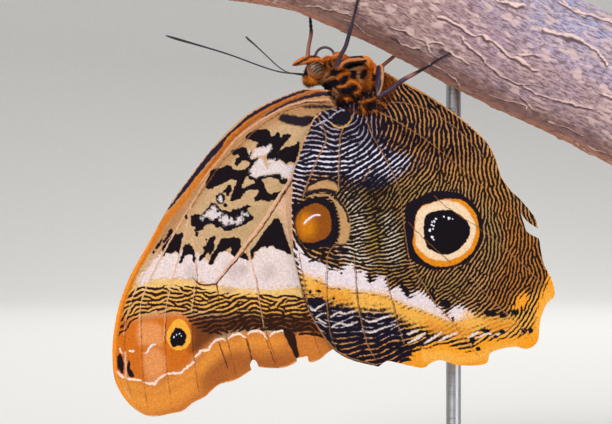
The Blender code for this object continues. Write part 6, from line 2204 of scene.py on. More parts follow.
@dataclass(frozen=True)
class Limb:
    """A leg, palp or feeler: a tapered tube along a path whose corners are turned smoothly.

    stations are (x, y, depth outwards in mm, radius in mm). Up to the station numbered knee the
    limb wears the body's fur, and past it it is bare.
    """

    name: str
    stations: Points
    side: int
    knee: int = 0
    bend: float = KNEE_BEND
    foot: tuple = ()
    face: int = 0

    def path(self) -> np.ndarray:
        """Rows of (X, Y, Z, radius) along the limb, evenly spaced.

        Returns:
            The rows, from the root to the tip.
        """
        rows = []
        for x, y, depth, radius in self.stations:
            across, up = drawn([(x, y)])[0]
            rows.append((across, self.side * depth * MM, up, radius * MM))
        for number, place in enumerate(self.foot):
            radius = (CLAW_RADIUS if number == len(self.foot) - 1 else TARSUS_RADIUS) * MM
            rows.append((*on_bark(place, self.face, FOOT_LIFT + radius), radius))
        points = np.array(rows)
        line = [points[0]]
        for before, corner, after in zip(points, points[1:], points[2:]):
            ends = []
            for other in (before, after):
                apart = np.linalg.norm((other - corner)[:3])
                ends.append(corner + (other - corner) * min(self.bend, 0.45 * apart) / apart)
            for t in np.linspace(0, 1, 7):
                line.append((1 - t) ** 2 * ends[0] + 2 * t * (1 - t) * corner + t ** 2 * ends[1])
        line.append(points[-1])
        path = evenly(np.array(line), 0.22 * MM)
        if self.foot:
            length = 0.22 * MM * (len(path) - np.arange(len(path)))
            reach = np.linalg.norm(points[-1, :3] - points[-len(self.foot) - 1, :3])
            knots = 0.5 + 0.5 * np.cos(math.tau * length / TARSUS_JOINT)
            path[:, 3] *= 1 - 0.28 * np.where(length < reach, knots ** 3, 0)
        shares = np.minimum(1, np.sqrt(np.arange(1, len(path) + 1)[::-1] / 4))
        path[:, 3] *= shares
        return path

    def nearest(self, places: np.ndarray) -> tuple[np.ndarray, np.ndarray, np.ndarray]:
        """For each place the share of the way along, the limb's direction there and its turn round it.

        Args:
            places: Rows of places.

        Returns:
            The three values for each place.
        """
        path = self.path()
        near = np.empty(len(places), int)
        for start in range(0, len(places), 4000):
            part = places[start:start + 4000]
            apart = np.linalg.norm(part[:, None] - path[None, :, :3], axis=2)
            near[start:start + 4000] = apart.argmin(axis=1)
        along = unit(np.gradient(path[:, :3], axis=0))[near]
        first = unit(np.cross(along, (0.05, 1.0, 0.02)))
        second = np.cross(along, first)
        offset = places - path[near, :3]
        turn = np.arctan2(np.sum(offset * second, axis=1), np.sum(offset * first, axis=1))
        return near / (len(path) - 1), along, turn

    def bareness(self, share: np.ndarray) -> np.ndarray:
        """From 0 where the limb is furry to 1 past its knee.

        Args:
            share: The share of the way along.

        Returns:
            One value for each share.
        """
        if self.knee < 0:
            return np.zeros(len(share))
        path = self.path()
        x, y, depth, _ = self.stations[self.knee]
        across, up = drawn([(x, y)])[0]
        apart = np.linalg.norm(path[:, :3] - (across, self.side * depth * MM, up), axis=1)
        knee = apart.argmin() / (len(path) - 1)
        return smooth_step(share, knee - 0.02, knee + 0.02)

    def build(self, material: Material) -> Piece:
        """Builds the limb with its markings and its bake map.

        Args:
            material: Its chitin.

        Returns:
            The limb.
        """
        limb = mesh_object(self.name, *swept(tube_rings(self.path(), 16)))
        share, _, _ = self.nearest(vertex_places(limb))
        mark_sides(limb, (*BODY_MARKS, *LIMB_MARKS))
        carry(limb, "bare", self.bareness(share))
        wrap_bake_map(limb, self.unwrap)
        limb.data.materials.append(material)
        return limb

    def unwrap(self, places: np.ndarray, strip: int = 0, strips: int = 1) -> np.ndarray:
        """Places on the bake map, which the limb may share with others in strips."""
        share, _, turn = self.nearest(places)
        return np.column_stack([0.02 + 0.96 * share, (strip + 0.5 + 0.47 * turn / math.pi) / strips])

    def hair(self, limb: Piece, coat: Coat, strip: int, strips: int) -> Piece:
        """Plants the furry part's hair.

        Args:
            limb: The limb's skin.
            coat: Its hair.
            strip: Its strip of the bake map.
            strips: How many strips there are.

        Returns:
            The hair.
        """
        hair = coat.grow(
            limb, lambda roots: self.nearest(roots)[1], lambda roots: self.unwrap(roots, strip, strips),
            keep=lambda roots, normals: self.bareness(self.nearest(roots)[0]) < 0.5,
        )
        mark_hair(hair, (*BODY_MARKS, *LIMB_MARKS))
        carry(hair, "bare", np.zeros(len(hair.data.vertices)))
        return hair


@dataclass(frozen=True)
class Chitin(Finish):
    """Chitin with fur up to the knee: brown skin, smooth and half glossy, under the body's scales."""

    hair: bool = False

    def paint(self, tree: Tree, shader: Node) -> None:
        """The body's colours where the limb is furry, and dusky violet or pink where it is bare.

        Args:
            tree: The material's node tree.
            shader: The Principled shader.
        """
        ragged = Grain(0.35, 3).socket(tree)
        jitter = reckoned(tree, "SUBTRACT", ragged, 0.5)
        furry = blended(tree, span(tree, ragged, 0.3, 0.7, 0.0, 0.6), "#C8641E", "#8A4416")
        furry = laid(tree, furry, (*BODY_MARKS, *LIMB_MARKS[2:]), jitter, 2)
        bare = blended(tree, span(tree, Grain(0.5, 2).socket(tree), 0.35, 0.65), "#281A2C", "#47303E")
        bare = laid(tree, bare, LIMB_MARKS[:2], jitter, 2)
        tone = blended(tree, attribute(tree, "bare"), furry, bare)
        # Painted shade: the limb's hair darkens towards its root
        if self.hair:
            tone = hair_shaded(tree, tone, 0.22)
        surfaced(tree, shader, tone, 0.45, specular=0.3)
        embossed(tree, shader, ragged, 0.4, 0.06)


@dataclass(frozen=True)
class RingedHorn(Finish):
    """Chitin of a feeler or tongue: ringed along its length, with a low gloss."""

    dark: str
    light: str
    ring: float

    def paint(self, tree: Tree, shader: Node) -> None:
        """Rings as far apart as the real ones, dark in their grooves.

        Args:
            tree: The material's node tree.
            shader: The Principled shader.
        """
        turn = reckoned(tree, "MULTIPLY", attribute(tree, "length"), math.tau / self.ring)
        wave = reckoned(tree, "SINE", turn)
        surfaced(tree, shader, blended(tree, span(tree, wave, -0.6, 0.9), self.dark, self.light), 0.4)
        embossed(tree, shader, wave, 0.4, 0.04)


@dataclass(frozen=True)
class FacetedLens(Finish):
    """A compound eye: dark lenses with pale bands, glossy over fine facets.

    A facet is about 0.03 mm across, too fine to show, so the relief draws them at 0.16 mm.
    """

    name: str = "eye_lens"
    facet: float = 0.16

    def paint(self, tree: Tree, shader: Node) -> None:
        """The bands on near black, under a thin clear gloss.

        Args:
            tree: The material's node tree.
            shader: The Principled shader.
        """
        tone = linear("#1C1110")
        for mark in EYE_MARKS:
            factor = span(tree, attribute(tree, mark.name), -mark.soft, mark.soft, 0.0, mark.strength)
            tone = blended(tree, factor, tone, mark.colour)
        surfaced(tree, shader, tone, 0.42)
        shader.inputs["Coat Weight"].default_value = 0.12
        shader.inputs["Coat Roughness"].default_value = 0.2
        place = add(tree, "ShaderNodeTexCoord").outputs["Object"]
        cells = add(tree, "ShaderNodeTexVoronoi", {"Vector": place, "Scale": 1 / (self.facet * MM)})
        embossed(tree, shader, cells.outputs[0], 0.25, 0.03, invert=True)


@dataclass(frozen=True)
class Eyes:
    """The two compound eyes."""

    lens: FacetedLens = FacetedLens()
    segments: int = 72
    rings: int = 40

    def build(self) -> None:
        """Builds both eyes, sunk in the head by the solids' depth."""
        lens = self.lens.made()
        across, up = drawn([EYE_CENTRE])[0]
        for name, side in (("eye_right", RIGHT), ("eye_left", LEFT)):
            eye = ball((across, side * EYE_DEPTH, up), EYE_RADII, self.segments, self.rings)
            eye.name = eye.data.name = f"{name}_lens"
            bpy.ops.object.shade_smooth()
            mark_sides(eye, EYE_MARKS)
            eye.data.materials.append(lens)
            settle(eye, Slot.EYE, name)


@dataclass(frozen=True)
class Legs:
    """The palps and the six legs, each a skin of its own, with their fur in two coats."""

    palp_bend: float = 2 * MM
    foreleg_bend: float = 1.5 * MM
    furry_length: tuple[float, float] = (0.35, 0.65)
    leg_length: tuple[float, float] = (0.22, 0.42)
    density: float = 60
    width: float = 0.1
    seed: int = 60

    def limbs(self) -> list[Limb]:
        """The limbs in order, named for their nodes.

        Returns:
            The palps and forelegs side by side, then the other legs.
        """
        found = []
        for side, word in ((RIGHT, "right"), (LEFT, "left")):
            found.append(Limb(f"palp_{word}", PALP, side, knee=-1, bend=self.palp_bend))
            found.append(Limb(f"foreleg_{word}", FORELEG, side, knee=-1, bend=self.foreleg_bend))
        for name, stations, side, knee, foot in LEGS:
            found.append(Limb(name, stations, side, knee, foot=foot, face=side))
        return found

    def build(self) -> None:
        """Builds the limbs, then joins the palps' fur and the legs' fur."""
        skin = Chitin("limb_chitin").made()
        fur = Chitin("limb_fur", hair=True).made()
        limbs = self.limbs()
        coats = {"palp_fur": [], "leg_fur": []}
        for number, limb in enumerate(limbs):
            palp = limb.name.startswith("palp")
            made = replace(limb, name=f"{limb.name}_skin").build(skin)
            length = self.furry_length if palp or "foreleg" in limb.name else self.leg_length
            coat = Coat(
                f"{limb.name}_hair", self.density, length, self.width, lift=20, spread=12,
                seed=self.seed + number,
            )
            coats["palp_fur" if palp else "leg_fur"].append(limb.hair(made, coat, number, len(limbs)))
            settle(made, Slot.LIMB, limb.name)
        for name, hairs in coats.items():
            hair = joined(hairs, name)
            hair.data.materials.append(fur)
            settle(hair, Slot.LIMB)


@dataclass(frozen=True)
class Feelers:
    """The two antennae and the coiled tongue, all ringed."""

    sides: int = 14
    antenna: RingedHorn = RingedHorn("antenna_horn", "#0E0A0C", "#2A1E1E", 0.42)
    antenna_bend: float = 6 * MM
    tongue: RingedHorn = RingedHorn("tongue_horn", "#33222A", "#5E3C40", 0.3)
    tongue_steps: int = 90
    tongue_radii: tuple[float, float] = (0.3 * MM, 0.22 * MM)

    def build(self) -> None:
        """Builds the antennae, then the tongue."""
        horn = self.antenna.made()
        for name, stations, side in (
            ("antenna_right", ANTENNA_RIGHT, RIGHT), ("antenna_left", ANTENNA_LEFT, LEFT),
        ):
            path = Limb(name, stations, side, bend=self.antenna_bend).path()
            self.ringed(name, path, horn)
        self.ringed("proboscis", self.coil(), self.tongue.made())

    def coil(self) -> np.ndarray:
        """Rows of (X, Y, Z, radius) along the tongue, which winds in as it thins.

        Returns:
            The rows, from the root to the tip.
        """
        across, up = drawn([PROBOSCIS_CENTRE])[0]
        share = np.linspace(0, 1, self.tongue_steps)
        turn = PROBOSCIS_TURN[0] + share * (PROBOSCIS_TURN[1] - PROBOSCIS_TURN[0])
        radius = PROBOSCIS_RADII[0] + share ** 1.5 * (PROBOSCIS_RADII[1] - PROBOSCIS_RADII[0])
        thick = self.tongue_radii[0] + share * (self.tongue_radii[1] - self.tongue_radii[0])
        return np.column_stack([across + radius * np.cos(turn), 0 * turn, up + radius * np.sin(turn), thick])

    def ringed(self, node: str, path: np.ndarray, material: Material) -> None:
        """A tube along a path, with the length that its rings follow.

        Args:
            node: The node that it stands for.
            path: Rows of (X, Y, Z, radius).
            material: Its horn.
        """
        piece = mesh_object(f"{node}_skin", *swept(tube_rings(path, self.sides)))
        steps = np.linalg.norm(np.diff(path[:, :3], axis=0), axis=1)
        length = np.concatenate([[0], np.cumsum(steps)]) / MM
        carry(piece, "length", np.repeat(length, self.sides))
        piece.data.materials.append(material)
        settle(piece, Slot.LIMB, node)


# Branch and stand

BARK_RIDGES = (
    ((536, 33), (548, 37), (560, 41), (572, 45), (582, 49), (590, 56), (596, 62), (599, 67)),
    ((300, 7.5), (315, 8), (330, 11), (345, 16), (355, 20)),
    ((390, 30), (400, 33.5), (408, 38.5), (418, 41), (428, 43), (440, 48.5)),
    ((396, 41), (402, 46), (410, 49.5), (418, 50.5)),
    ((422, 42), (427, 50), (430, 55)),
    ((363, 0), (370, 3), (382, 5)),
    ((435, 22), (442, 24), (450, 28), (457, 33), (463, 37), (472, 39), (480, 40), (487, 44), (494, 48),
     (500, 53), (506, 58), (512, 62), (520, 67), (527, 73), (535, 76)),
    ((457, 41), (463, 47), (470, 55), (478, 61), (486, 68), (492, 74), (497, 79), (504, 83), (510, 86),
     (518, 87), (525, 87)),
    ((518, 91), (525, 93), (532, 96), (540, 98.5), (547, 102), (556, 103.5), (566, 106), (576, 108.5),
     (584, 110)),
    ((519, 100), (524, 104), (529, 108), (533, 112)),
    ((546, 121), (552, 124), (560, 128), (568, 131), (574, 134), (579, 136)),
    ((583, 144), (590, 147), (598, 151), (605, 154), (612, 157)),
    ((580, 48), (588, 53), (594, 60), (599, 68)),
    ((490, 3), (497, 7.5), (505, 8), (513, 9.5), (520, 11)),
    ((557, 5), (565, 10), (573, 14), (582, 17.5), (592, 19), (602, 22), (612, 27)),
    ((595, 96), (603, 99), (612, 101)),
    ((450, 54), (458, 61), (464, 66)),
    ((512, 58), (520, 58.4), (530, 59)),
)
# Hollows in the bark, as (x, y, width): sunk, and darkened with painted shade
BARK_HOLLOWS = (
    ((438, 54, 5), (448, 58, 6)),
    ((391, 42, 4), (400, 47, 4)),
)


@dataclass(frozen=True)
class GreyBark(Finish):
    """Smooth grey bark with a pink cast, wrinkled along the branch, and pale sawn wood at its ends."""

    name: str = "bark"
    growth_rings: int = 11

    def paint(self, tree: Tree, shader: Node) -> None:
        """The bark over its fibres, and the wood where the branch is cut.

        Args:
            tree: The material's node tree.
            shader: The Principled shader.
        """
        unrolled = add(tree, "ShaderNodeUVMap", uv_map="unrolled").outputs[0]
        mapped = add(tree, "ShaderNodeMapping", {"Vector": unrolled, "Scale": (60, 230, 1)}).outputs[0]
        noise = {"Vector": mapped, "Scale": 1.0, "Detail": 4.0, "Roughness": 0.65}
        fibre = add(tree, "ShaderNodeTexNoise", noise).outputs["Fac"]
        speck = Grain(0.5, 3).socket(tree)
        sawn = attribute(tree, "sawn")
        tone = self.bark(tree, fibre, speck)
        tone = blended(tree, span(tree, sawn, 0.99, 1.01), self.wood(tree, sawn), tone)
        surfaced(tree, shader, tone, 0.75)
        bump = add(tree, "ShaderNodeBump", {"Height": fibre, "Strength": 0.8, "Distance": 0.35 * MM})
        fine = {"Height": speck, "Strength": 0.4, "Distance": 0.15 * MM, "Normal": bump.outputs[0]}
        tree.links.new(add(tree, "ShaderNodeBump", fine).outputs[0], shader.inputs["Normal"])

    def wood(self, tree: Tree, sawn: Socket) -> Socket:
        """Sawn wood with its growth rings, dark under the bark.

        Args:
            tree: The material's node tree.
            sawn: How far out a place of the cut is, from 0 to 1.

        Returns:
            The colour's socket.
        """
        wave = reckoned(tree, "SINE", reckoned(tree, "MULTIPLY", sawn, math.tau * self.growth_rings))
        wood = blended(tree, span(tree, wave, 0.0, 1.0, 0.0, 0.6), "#D9BC8E", "#B08A5A")
        return blended(tree, span(tree, sawn, 0.9, 0.93), wood, "#6E4E42")

    def bark(self, tree: Tree, fibre: Socket, speck: Socket) -> Socket:
        """Pink-grey bark with pale edges and dark cracks, bluer towards the top and the far end as a painted
        highlight, browner underneath as painted shade, and with a painted shadow below each raised edge and
        in the hollows.

        Args:
            tree: The material's node tree.
            fibre: Noise drawn out along the branch.
            speck: Fine noise.

        Returns:
            The colour's socket.
        """
        under, far = attribute(tree, "under"), attribute(tree, "far")
        tone = blended(tree, span(tree, far, 0.25, 0.75), "#A8827E", "#B096A6")
        # Painted highlight: bluer towards the top and the far end
        tone = blended(tree, span(tree, reckoned(tree, "SUBTRACT", far, under), 0.4, 1.4), tone, "#AFAED2")
        tone = blended(tree, span(tree, attribute(tree, "plates"), -0.5, 0.6, 0.0, 0.5), tone, "#C4A39C")
        tone = blended(tree, span(tree, fibre, 0.42, 0.62, 0.0, 0.8), tone, "#644648")
        tone = blended(tree, span(tree, attribute(tree, "wrinkle"), 0.1, 0.6, 0.0, 0.6), tone, "#E4C4BE")
        # Painted shade: darker and browner underneath
        tone = blended(tree, span(tree, under, 0.74, 0.88, 0.0, 0.7), tone, "#8A6054")
        tone = blended(tree, span(tree, under, 0.93, 0.99, 0.0, 0.8), tone, "#C68468")
        low = span(tree, under, 0.6, 0.8, 0.0, 0.55)
        grains = reckoned(tree, "MULTIPLY", attribute(tree, "granules"), low)
        tone = blended(tree, grains, tone, "#5E403E")
        tone = blended(tree, span(tree, speck, 0.58, 0.72, 0.0, 0.45), tone, "#6A4A4C")
        # Painted shadow below the raised edges and in the hollows
        tone = blended(tree, span(tree, attribute(tree, "shade"), -0.22, 0.12, 0.0, 0.85), tone, "#4E3336")
        tone = blended(tree, span(tree, attribute(tree, "rim"), -0.18, 0.08, 0.0, 0.9), tone, "#F4D2CA")
        return tone


@dataclass(frozen=True)
class Branch:
    """A sawn length of branch, its bark in low plates with raised pale edges.

    The bark is worked out on the branch unrolled: along its middle line, and round it from the
    middle of the near side, upwards.
    """

    spacing: float = 0.37 * MM
    cap_rings: int = 26
    seed: int = 9
    back_ridges: int = 95
    finish: GreyBark = GreyBark()

    def build(self) -> None:
        """Builds the branch with its bark and its two sawn ends."""
        line = branch_line()
        spacing = self.spacing * 1
        along = unit(np.gradient(line, axis=0))
        lengths = np.arange(len(line)) * np.linalg.norm(line[1] - line[0])
        sides = int(math.tau * BRANCH_RADIUS / spacing)
        turns = np.linspace(-math.pi / 2, 1.5 * math.pi, sides, endpoint=False)
        cuts = drawn([(cut, 0) for cut in BRANCH_CUTS])[:, 0]
        rise = np.sin(turns)
        reach = line[:, :1] - along[:, 1:] * BRANCH_RADIUS * rise[None]
        ends = np.array([[np.interp(cut, reach[:, k], lengths) for k in range(sides)] for cut in cuts])
        count = int((lengths[-1] - 40 * MM) / spacing)
        share = np.linspace(0, 1, count)[:, None]
        where = ends[0] + share * (ends[1] - ends[0])
        around = np.broadcast_to(turns * BRANCH_RADIUS, where.shape)
        flat = np.column_stack([where.ravel(), around.ravel()])
        height, looks = self.bark(flat, lengths, line)
        radius = BRANCH_RADIUS + height.reshape(where.shape)
        centre = np.stack([np.interp(where, lengths, line[:, i]) for i in range(2)], axis=-1)
        way = np.stack([np.interp(where, lengths, along[:, i]) for i in range(2)], axis=-1)
        up = radius * rise
        places = np.stack([
            centre[..., 0] - way[..., 1] * up, BRANCH_DEPTH - radius * np.cos(turns),
            centre[..., 1] + way[..., 0] * up,
        ], axis=-1)
        places[0, :, 0], places[-1, :, 0] = cuts
        rings = list(places)
        bark_rings = len(rings)
        caps = []
        for rim, steps in ((places[0], self.cap_rings), (places[-1], self.cap_rings)):
            middle = rim.mean(axis=0)
            caps.append([middle + (rim - middle) * (1 - step / steps) for step in range(1, steps)])
        rings = caps[0][::-1] + rings + caps[1]
        branch = mesh_object("perch_branch_bark", *swept(rings))
        inner = self.cap_rings - 1
        pad = inner * sides
        for name, values in looks.items():
            carry(branch, name, np.concatenate([np.zeros(pad), values, np.zeros(pad)]))
        depth = np.array([1 - step / self.cap_rings for step in range(1, self.cap_rings)])
        whole = np.concatenate([np.repeat(depth[::-1], sides), np.full(bark_rings * sides, 2.0),
                                np.repeat(depth, sides)])
        carry(branch, "sawn", whole)
        self.unroll(branch, flat, pad, whole)
        branch.data.materials.append(self.finish.made())
        settle(branch, Slot.BRANCH, "perch_branch")

    def unroll(self, branch: Piece, flat: np.ndarray, pad: int, whole: np.ndarray) -> None:
        """Gives the piece its unrolled map in millimetres and its bake map.

        Args:
            branch: The branch.
            flat: Where its bark's corners lie when unrolled.
            pad: How many corners come before them.
            whole: How far out each corner is, 2 on the bark.
        """
        corners, face = face_starts(branch)
        places = vertex_places(branch)
        unrolled = np.zeros((len(places), 2))
        unrolled[pad:pad + len(flat)] = flat / MM
        spots = unrolled[corners]
        around = math.tau * BRANCH_RADIUS / MM
        spots[highest(spots[:, 1], face) - spots[:, 1] > 0.5 * around, 1] += around
        layer = branch.data.uv_layers.new(name="unrolled")
        layer.data.foreach_set("uv", (spots / 100).ravel())
        low, wide = flat[:, 0].min() / MM, np.ptp(flat[:, 0]) / MM
        baked = np.column_stack([0.01 + 0.78 * (spots[:, 0] - low) / wide,
                                 0.01 + 0.97 * (spots[:, 1] / around + 0.25)])
        capped = highest(1.5 - whole[corners], face) > 0
        middle = places.mean(axis=0)
        right = places[corners, 0] > middle[0]
        for part in (capped & right, capped & ~right):
            spot = places[corners[part]][:, [1, 2]]
            spot = (spot - spot.mean(axis=0)) / np.ptp(spot, axis=0).max()
            baked[part] = spot * 0.17 + (0.9, 0.25 if right[part].all() else 0.75)
        bake_map(branch, baked)

    def bark(self, flat: np.ndarray, lengths: np.ndarray, line: np.ndarray) -> tuple[np.ndarray, dict]:
        """The bark's height over the wood, and the fields that colour it.

        Args:
            flat: Rows of (along, around) on the unrolled bark.
            lengths: The length up to each point of the middle line.
            line: The middle line.

        Returns:
            The heights, and the fields by name.
        """
        rng = np.random.default_rng(self.seed)
        warp = 0.5 * MM * np.column_stack([octaves(flat, 2.5 * MM, s) for s in (51, 52)])
        read = flat + warp
        edges = [self.unrolled(ridge, lengths, line) for ridge in BARK_RIDGES]
        low, high = flat.min(axis=0), flat.max(axis=0)
        for _ in range(self.back_ridges):
            start = rng.uniform(low, high)
            if abs(start[1]) < 0.9 * BRANCH_RADIUS:
                continue
            steps = np.cumsum(rng.normal((1.4, 0.0), (0.5, 0.7), (rng.integers(4, 11), 2)), axis=0)
            edges.append(start + steps * MM)
        rim = np.full(len(flat), -3.0)
        # shade is a painted shadow just below each raised edge, read a little lower than the edge itself
        shade = np.full(len(flat), -3.0)
        for edge in edges:
            room = 1.6 * MM
            rim = np.maximum(rim, 0.19 - reach_of(read, edge, room=room) / MM)
            shade = np.maximum(shade, 0.26 - reach_of(read + (0.0, 0.42 * MM), edge, room=room) / MM)
        # The hollows are sunk, and also darkened with painted shade
        hollow = np.full(len(flat), -3.0)
        for stroke in BARK_HOLLOWS:
            centre = self.unrolled([s[:2] for s in stroke], lengths, line)
            width = 0.5 * np.mean([s[2] for s in stroke]) * SCALE
            hollow = np.maximum(hollow, (width - reach_of(read, centre, room=3 * MM)) / MM)
        stretched = read * (0.28, 1.0)
        wrinkle = octaves(stretched, 0.55 * MM, 53)
        plates = octaves(read * (0.6, 1.0), 5.0 * MM, 54)
        fine = octaves(flat, 0.7 * MM, 55)
        height = 0.16 * plates + 0.10 * wrinkle + 0.05 * fine
        height += 0.24 * smooth_step(rim, -0.35, 0.1) - 0.2 * smooth_step(shade, -0.35, 0.1)
        height -= 0.25 * smooth_step(hollow, -0.3, 0.4)
        under = -np.sin(flat[:, 1] / BRANCH_RADIUS)
        granules = smooth_step(lattice_noise(flat, 0.75 * MM, 56), 0.25, 0.6)
        height += 0.09 * granules * smooth_step(under, 0.72, 0.86)
        looks = {
            "rim": rim, "shade": np.maximum(shade, hollow), "wrinkle": wrinkle, "plates": plates,
            "under": under, "granules": granules,
            "far": (flat[:, 0] - low[0]) / (high[0] - low[0]),
        }
        return height * MM, looks

    def unrolled(self, places: Points, lengths: np.ndarray, line: np.ndarray) -> np.ndarray:
        """Places of the drawing on the near face as (along, around).

        Args:
            places: Rows of places in drawing units.
            lengths: The length up to each point of the middle line.
            line: The middle line.

        Returns:
            Rows of (along, around) in metres.
        """
        given = drawn(places)
        apart = given[:, None] - line[None]
        near = np.linalg.norm(apart, axis=2).argmin(axis=1)
        along = unit(np.gradient(line, axis=0))[near]
        offset = given - line[near]
        off = along[:, 0] * offset[:, 1] - along[:, 1] * offset[:, 0]
        turn = np.arcsin(np.clip(off / BRANCH_RADIUS, -0.99, 0.99))
        return np.column_stack([lengths[near], turn * BRANCH_RADIUS])


@dataclass(frozen=True)
class OiledBeech(Finish):
    """Oiled beech: warm and pale, with long grain and short dark flecks."""

    name: str = "oiled_beech"

    def paint(self, tree: Tree, shader: Node) -> None:
        """Grain and flecks drawn out along the board.

        Args:
            tree: The material's node tree.
            shader: The Principled shader.
        """
        grain = Grain(1.6, 4, (9, 1, 1)).socket(tree)
        flecks = Grain(0.5, 1, (5, 1, 1)).socket(tree)
        tone = blended(tree, span(tree, grain, 0.3, 0.7), "#C9A272", "#A97B4C")
        tone = blended(tree, span(tree, flecks, 0.62, 0.7, 0.0, 0.5), tone, "#7E5632")
        surfaced(tree, shader, tone, 0.42)
        embossed(tree, shader, grain, 0.2, 0.1)


@dataclass(frozen=True)
class BrushedSteel(Finish):
    """Brushed stainless steel: fine lines round the bar from its turning."""

    name: str = "brushed_steel"

    def paint(self, tree: Tree, shader: Node) -> None:
        """Lines that change the colour and the gloss a little.

        Args:
            tree: The material's node tree.
            shader: The Principled shader.
        """
        lines = Grain(0.25, 2, (40, 40, 1)).socket(tree)
        tree.links.new(blended(tree, lines, "#A8AAAD", "#C6C8CB"), shader.inputs["Base Color"])
        shader.inputs["Metallic"].default_value = 1.0
        tree.links.new(span(tree, lines, 0.3, 0.7, 0.26, 0.4), shader.inputs["Roughness"])


@dataclass(frozen=True)
class Stand:
    """A beech base and a turned steel rod that carries the branch."""

    size: tuple[float, float, float] = (86 * MM, 60 * MM, 8 * MM)
    corner: float = 9 * MM
    edge: float = 1 * MM
    gap: float = 0.3 * MM
    place: tuple[float, float] = (17 * MM, 10.5 * MM)
    rod_radius: float = 1.6 * MM
    foot_radius: float = 4.5 * MM
    foot_height: float = 1.4 * MM
    let_in: float = 2.2 * MM
    wood: OiledBeech = OiledBeech()
    metal: BrushedSteel = BrushedSteel()

    def build(self) -> None:
        """Builds the base and the rod."""
        self.build_base()
        self.build_rod()

    def build_base(self) -> None:
        """A board with round corners and an eased top edge."""
        high = self.size[2]
        bpy.ops.object.select_all(action="DESELECT")
        bpy.ops.mesh.primitive_cube_add(size=1, location=(0, 0, high / 2))
        base = bpy.context.object
        base.name = base.data.name = "stand_base_board"
        base.scale = self.size
        bpy.ops.object.transform_apply(location=True, rotation=True, scale=True)
        bpy.ops.object.mode_set(mode="EDIT")
        self.choose_edges(base, lambda a, b: abs(a.z - b.z) > high / 2)
        bpy.ops.mesh.bevel(offset=self.corner, segments=14, profile=0.5, affect="EDGES")
        self.choose_edges(base, lambda a, b: min(a.z, b.z) > high - 1e-6)
        bpy.ops.mesh.bevel(offset=self.edge, segments=5, profile=0.5, affect="EDGES")
        bpy.ops.object.mode_set(mode="OBJECT")
        bpy.ops.object.shade_smooth()
        base.modifiers.new("Weighted Normal", "WEIGHTED_NORMAL")
        bpy.ops.object.modifier_apply(modifier="Weighted Normal")
        base.data.materials.append(self.wood.made())
        settle(base, Slot.BASE, "stand_base")

    @staticmethod
    def choose_edges(piece: Piece, wanted: Callable) -> None:
        """Selects, in edit mode, the edges whose two ends pass a test.

        Args:
            piece: The piece.
            wanted: Tells it from the two ends' places.
        """
        bpy.ops.mesh.select_mode(type="EDGE")
        bpy.ops.mesh.select_all(action="DESELECT")
        mesh = bmesh.from_edit_mesh(piece.data)
        for edge in mesh.edges:
            if wanted(*(corner.co for corner in edge.verts)):
                edge.select_set(True)
        bmesh.update_edit_mesh(piece.data)

    def build_rod(self) -> None:
        """A round bar with a turned foot, its top let into the underside of the branch."""
        x, y = self.place
        floor = self.size[2] + self.gap
        line = branch_line()
        middle = float(np.interp(x, line[:, 0], line[:, 1]))
        slope = np.gradient(line[:, 1], line[:, 0])
        lean = math.cos(math.atan(float(np.interp(x, line[:, 0], slope))))
        below = math.sqrt(BRANCH_RADIUS ** 2 - (y - BRANCH_DEPTH) ** 2) / lean
        top = middle - below + self.let_in
        wide, low, rod = self.foot_radius, self.foot_height, self.rod_radius
        profile = (
            (wide - 0.15 * MM, floor), (wide, floor + 0.15 * MM), (wide, floor + 0.55 * low),
            (0.97 * wide, floor + 0.7 * low), (0.85 * wide, floor + 0.95 * low),
            (0.8 * wide, floor + low), (0.55 * wide, floor + 1.08 * low),
            (1.35 * rod, floor + 1.3 * low), (1.08 * rod, floor + 1.75 * low),
            (rod, floor + 2.2 * low), (rod, top),
        )
        path = np.array([(x, y, z, radius) for radius, z in profile])
        bar = mesh_object("stand_rod_bar", *swept(tube_rings(path, 64)))
        choose_only(bar)
        bpy.ops.object.shade_smooth_by_angle(angle=math.radians(30))
        bar.data.materials.append(self.metal.made())
        settle(bar, Slot.ROD, "stand_rod")


# Wings


@dataclass(frozen=True)
class FineZone:
    """A round place, in drawing units, where the mesh is closer than elsewhere."""

    centre: tuple[float, float]
    reach: float
    spacing: float = 0.11 * MM


@dataclass(frozen=True)
class Drawing:
    """What one kind of wing looks like from the side."""

    kind: str
    ground: str
    margins: dict[int, tuple]
    veins: tuple
    marks: tuple[Mark, ...]
    ripples: Ripples
    fine: tuple[FineZone, ...] = ()


FOREWING = Drawing(
    "forewing", "#C7A47C", {RIGHT: FOREWING_MARGIN, LEFT: FOREWING_MARGIN}, FOREWING_VEINS,
    FOREWING_MARKS, FOREWING_RIPPLES, fine=(FineZone((179, 335), 17), FineZone((236, 214), 18)),
)
HINDWING = Drawing(
    "hindwing", "#BC8A54", HINDWING_MARGIN, HINDWING_VEINS, HINDWING_MARKS, HINDWING_RIPPLES,
    fine=(FineZone((446, 231), 30), FineZone((316, 222), 24)),
)

# The wings' depths, from the plane of symmetry to the middle of the membrane
FOREWING_HINGE = (344, 102)
FOREWING_NEAR = 0.8 * MM
FOREWING_SPREAD = 2.6 * MM
SPREAD_FADE = 9.0 * MM
HINDWING_OVER = 1.3 * MM
HINDWING_NEAR = 0.85 * MM
ABDOMEN_CLEAR = 0.95 * MM
CLOSING = (372, 425)


def forewing_depth(points: np.ndarray) -> np.ndarray:
    """How far the middle of a forewing's membrane is from the plane of symmetry."""
    reach = np.linalg.norm(points - drawn([FOREWING_HINGE])[0], axis=1)
    return FOREWING_NEAR + FOREWING_SPREAD * np.exp(-reach / SPREAD_FADE)


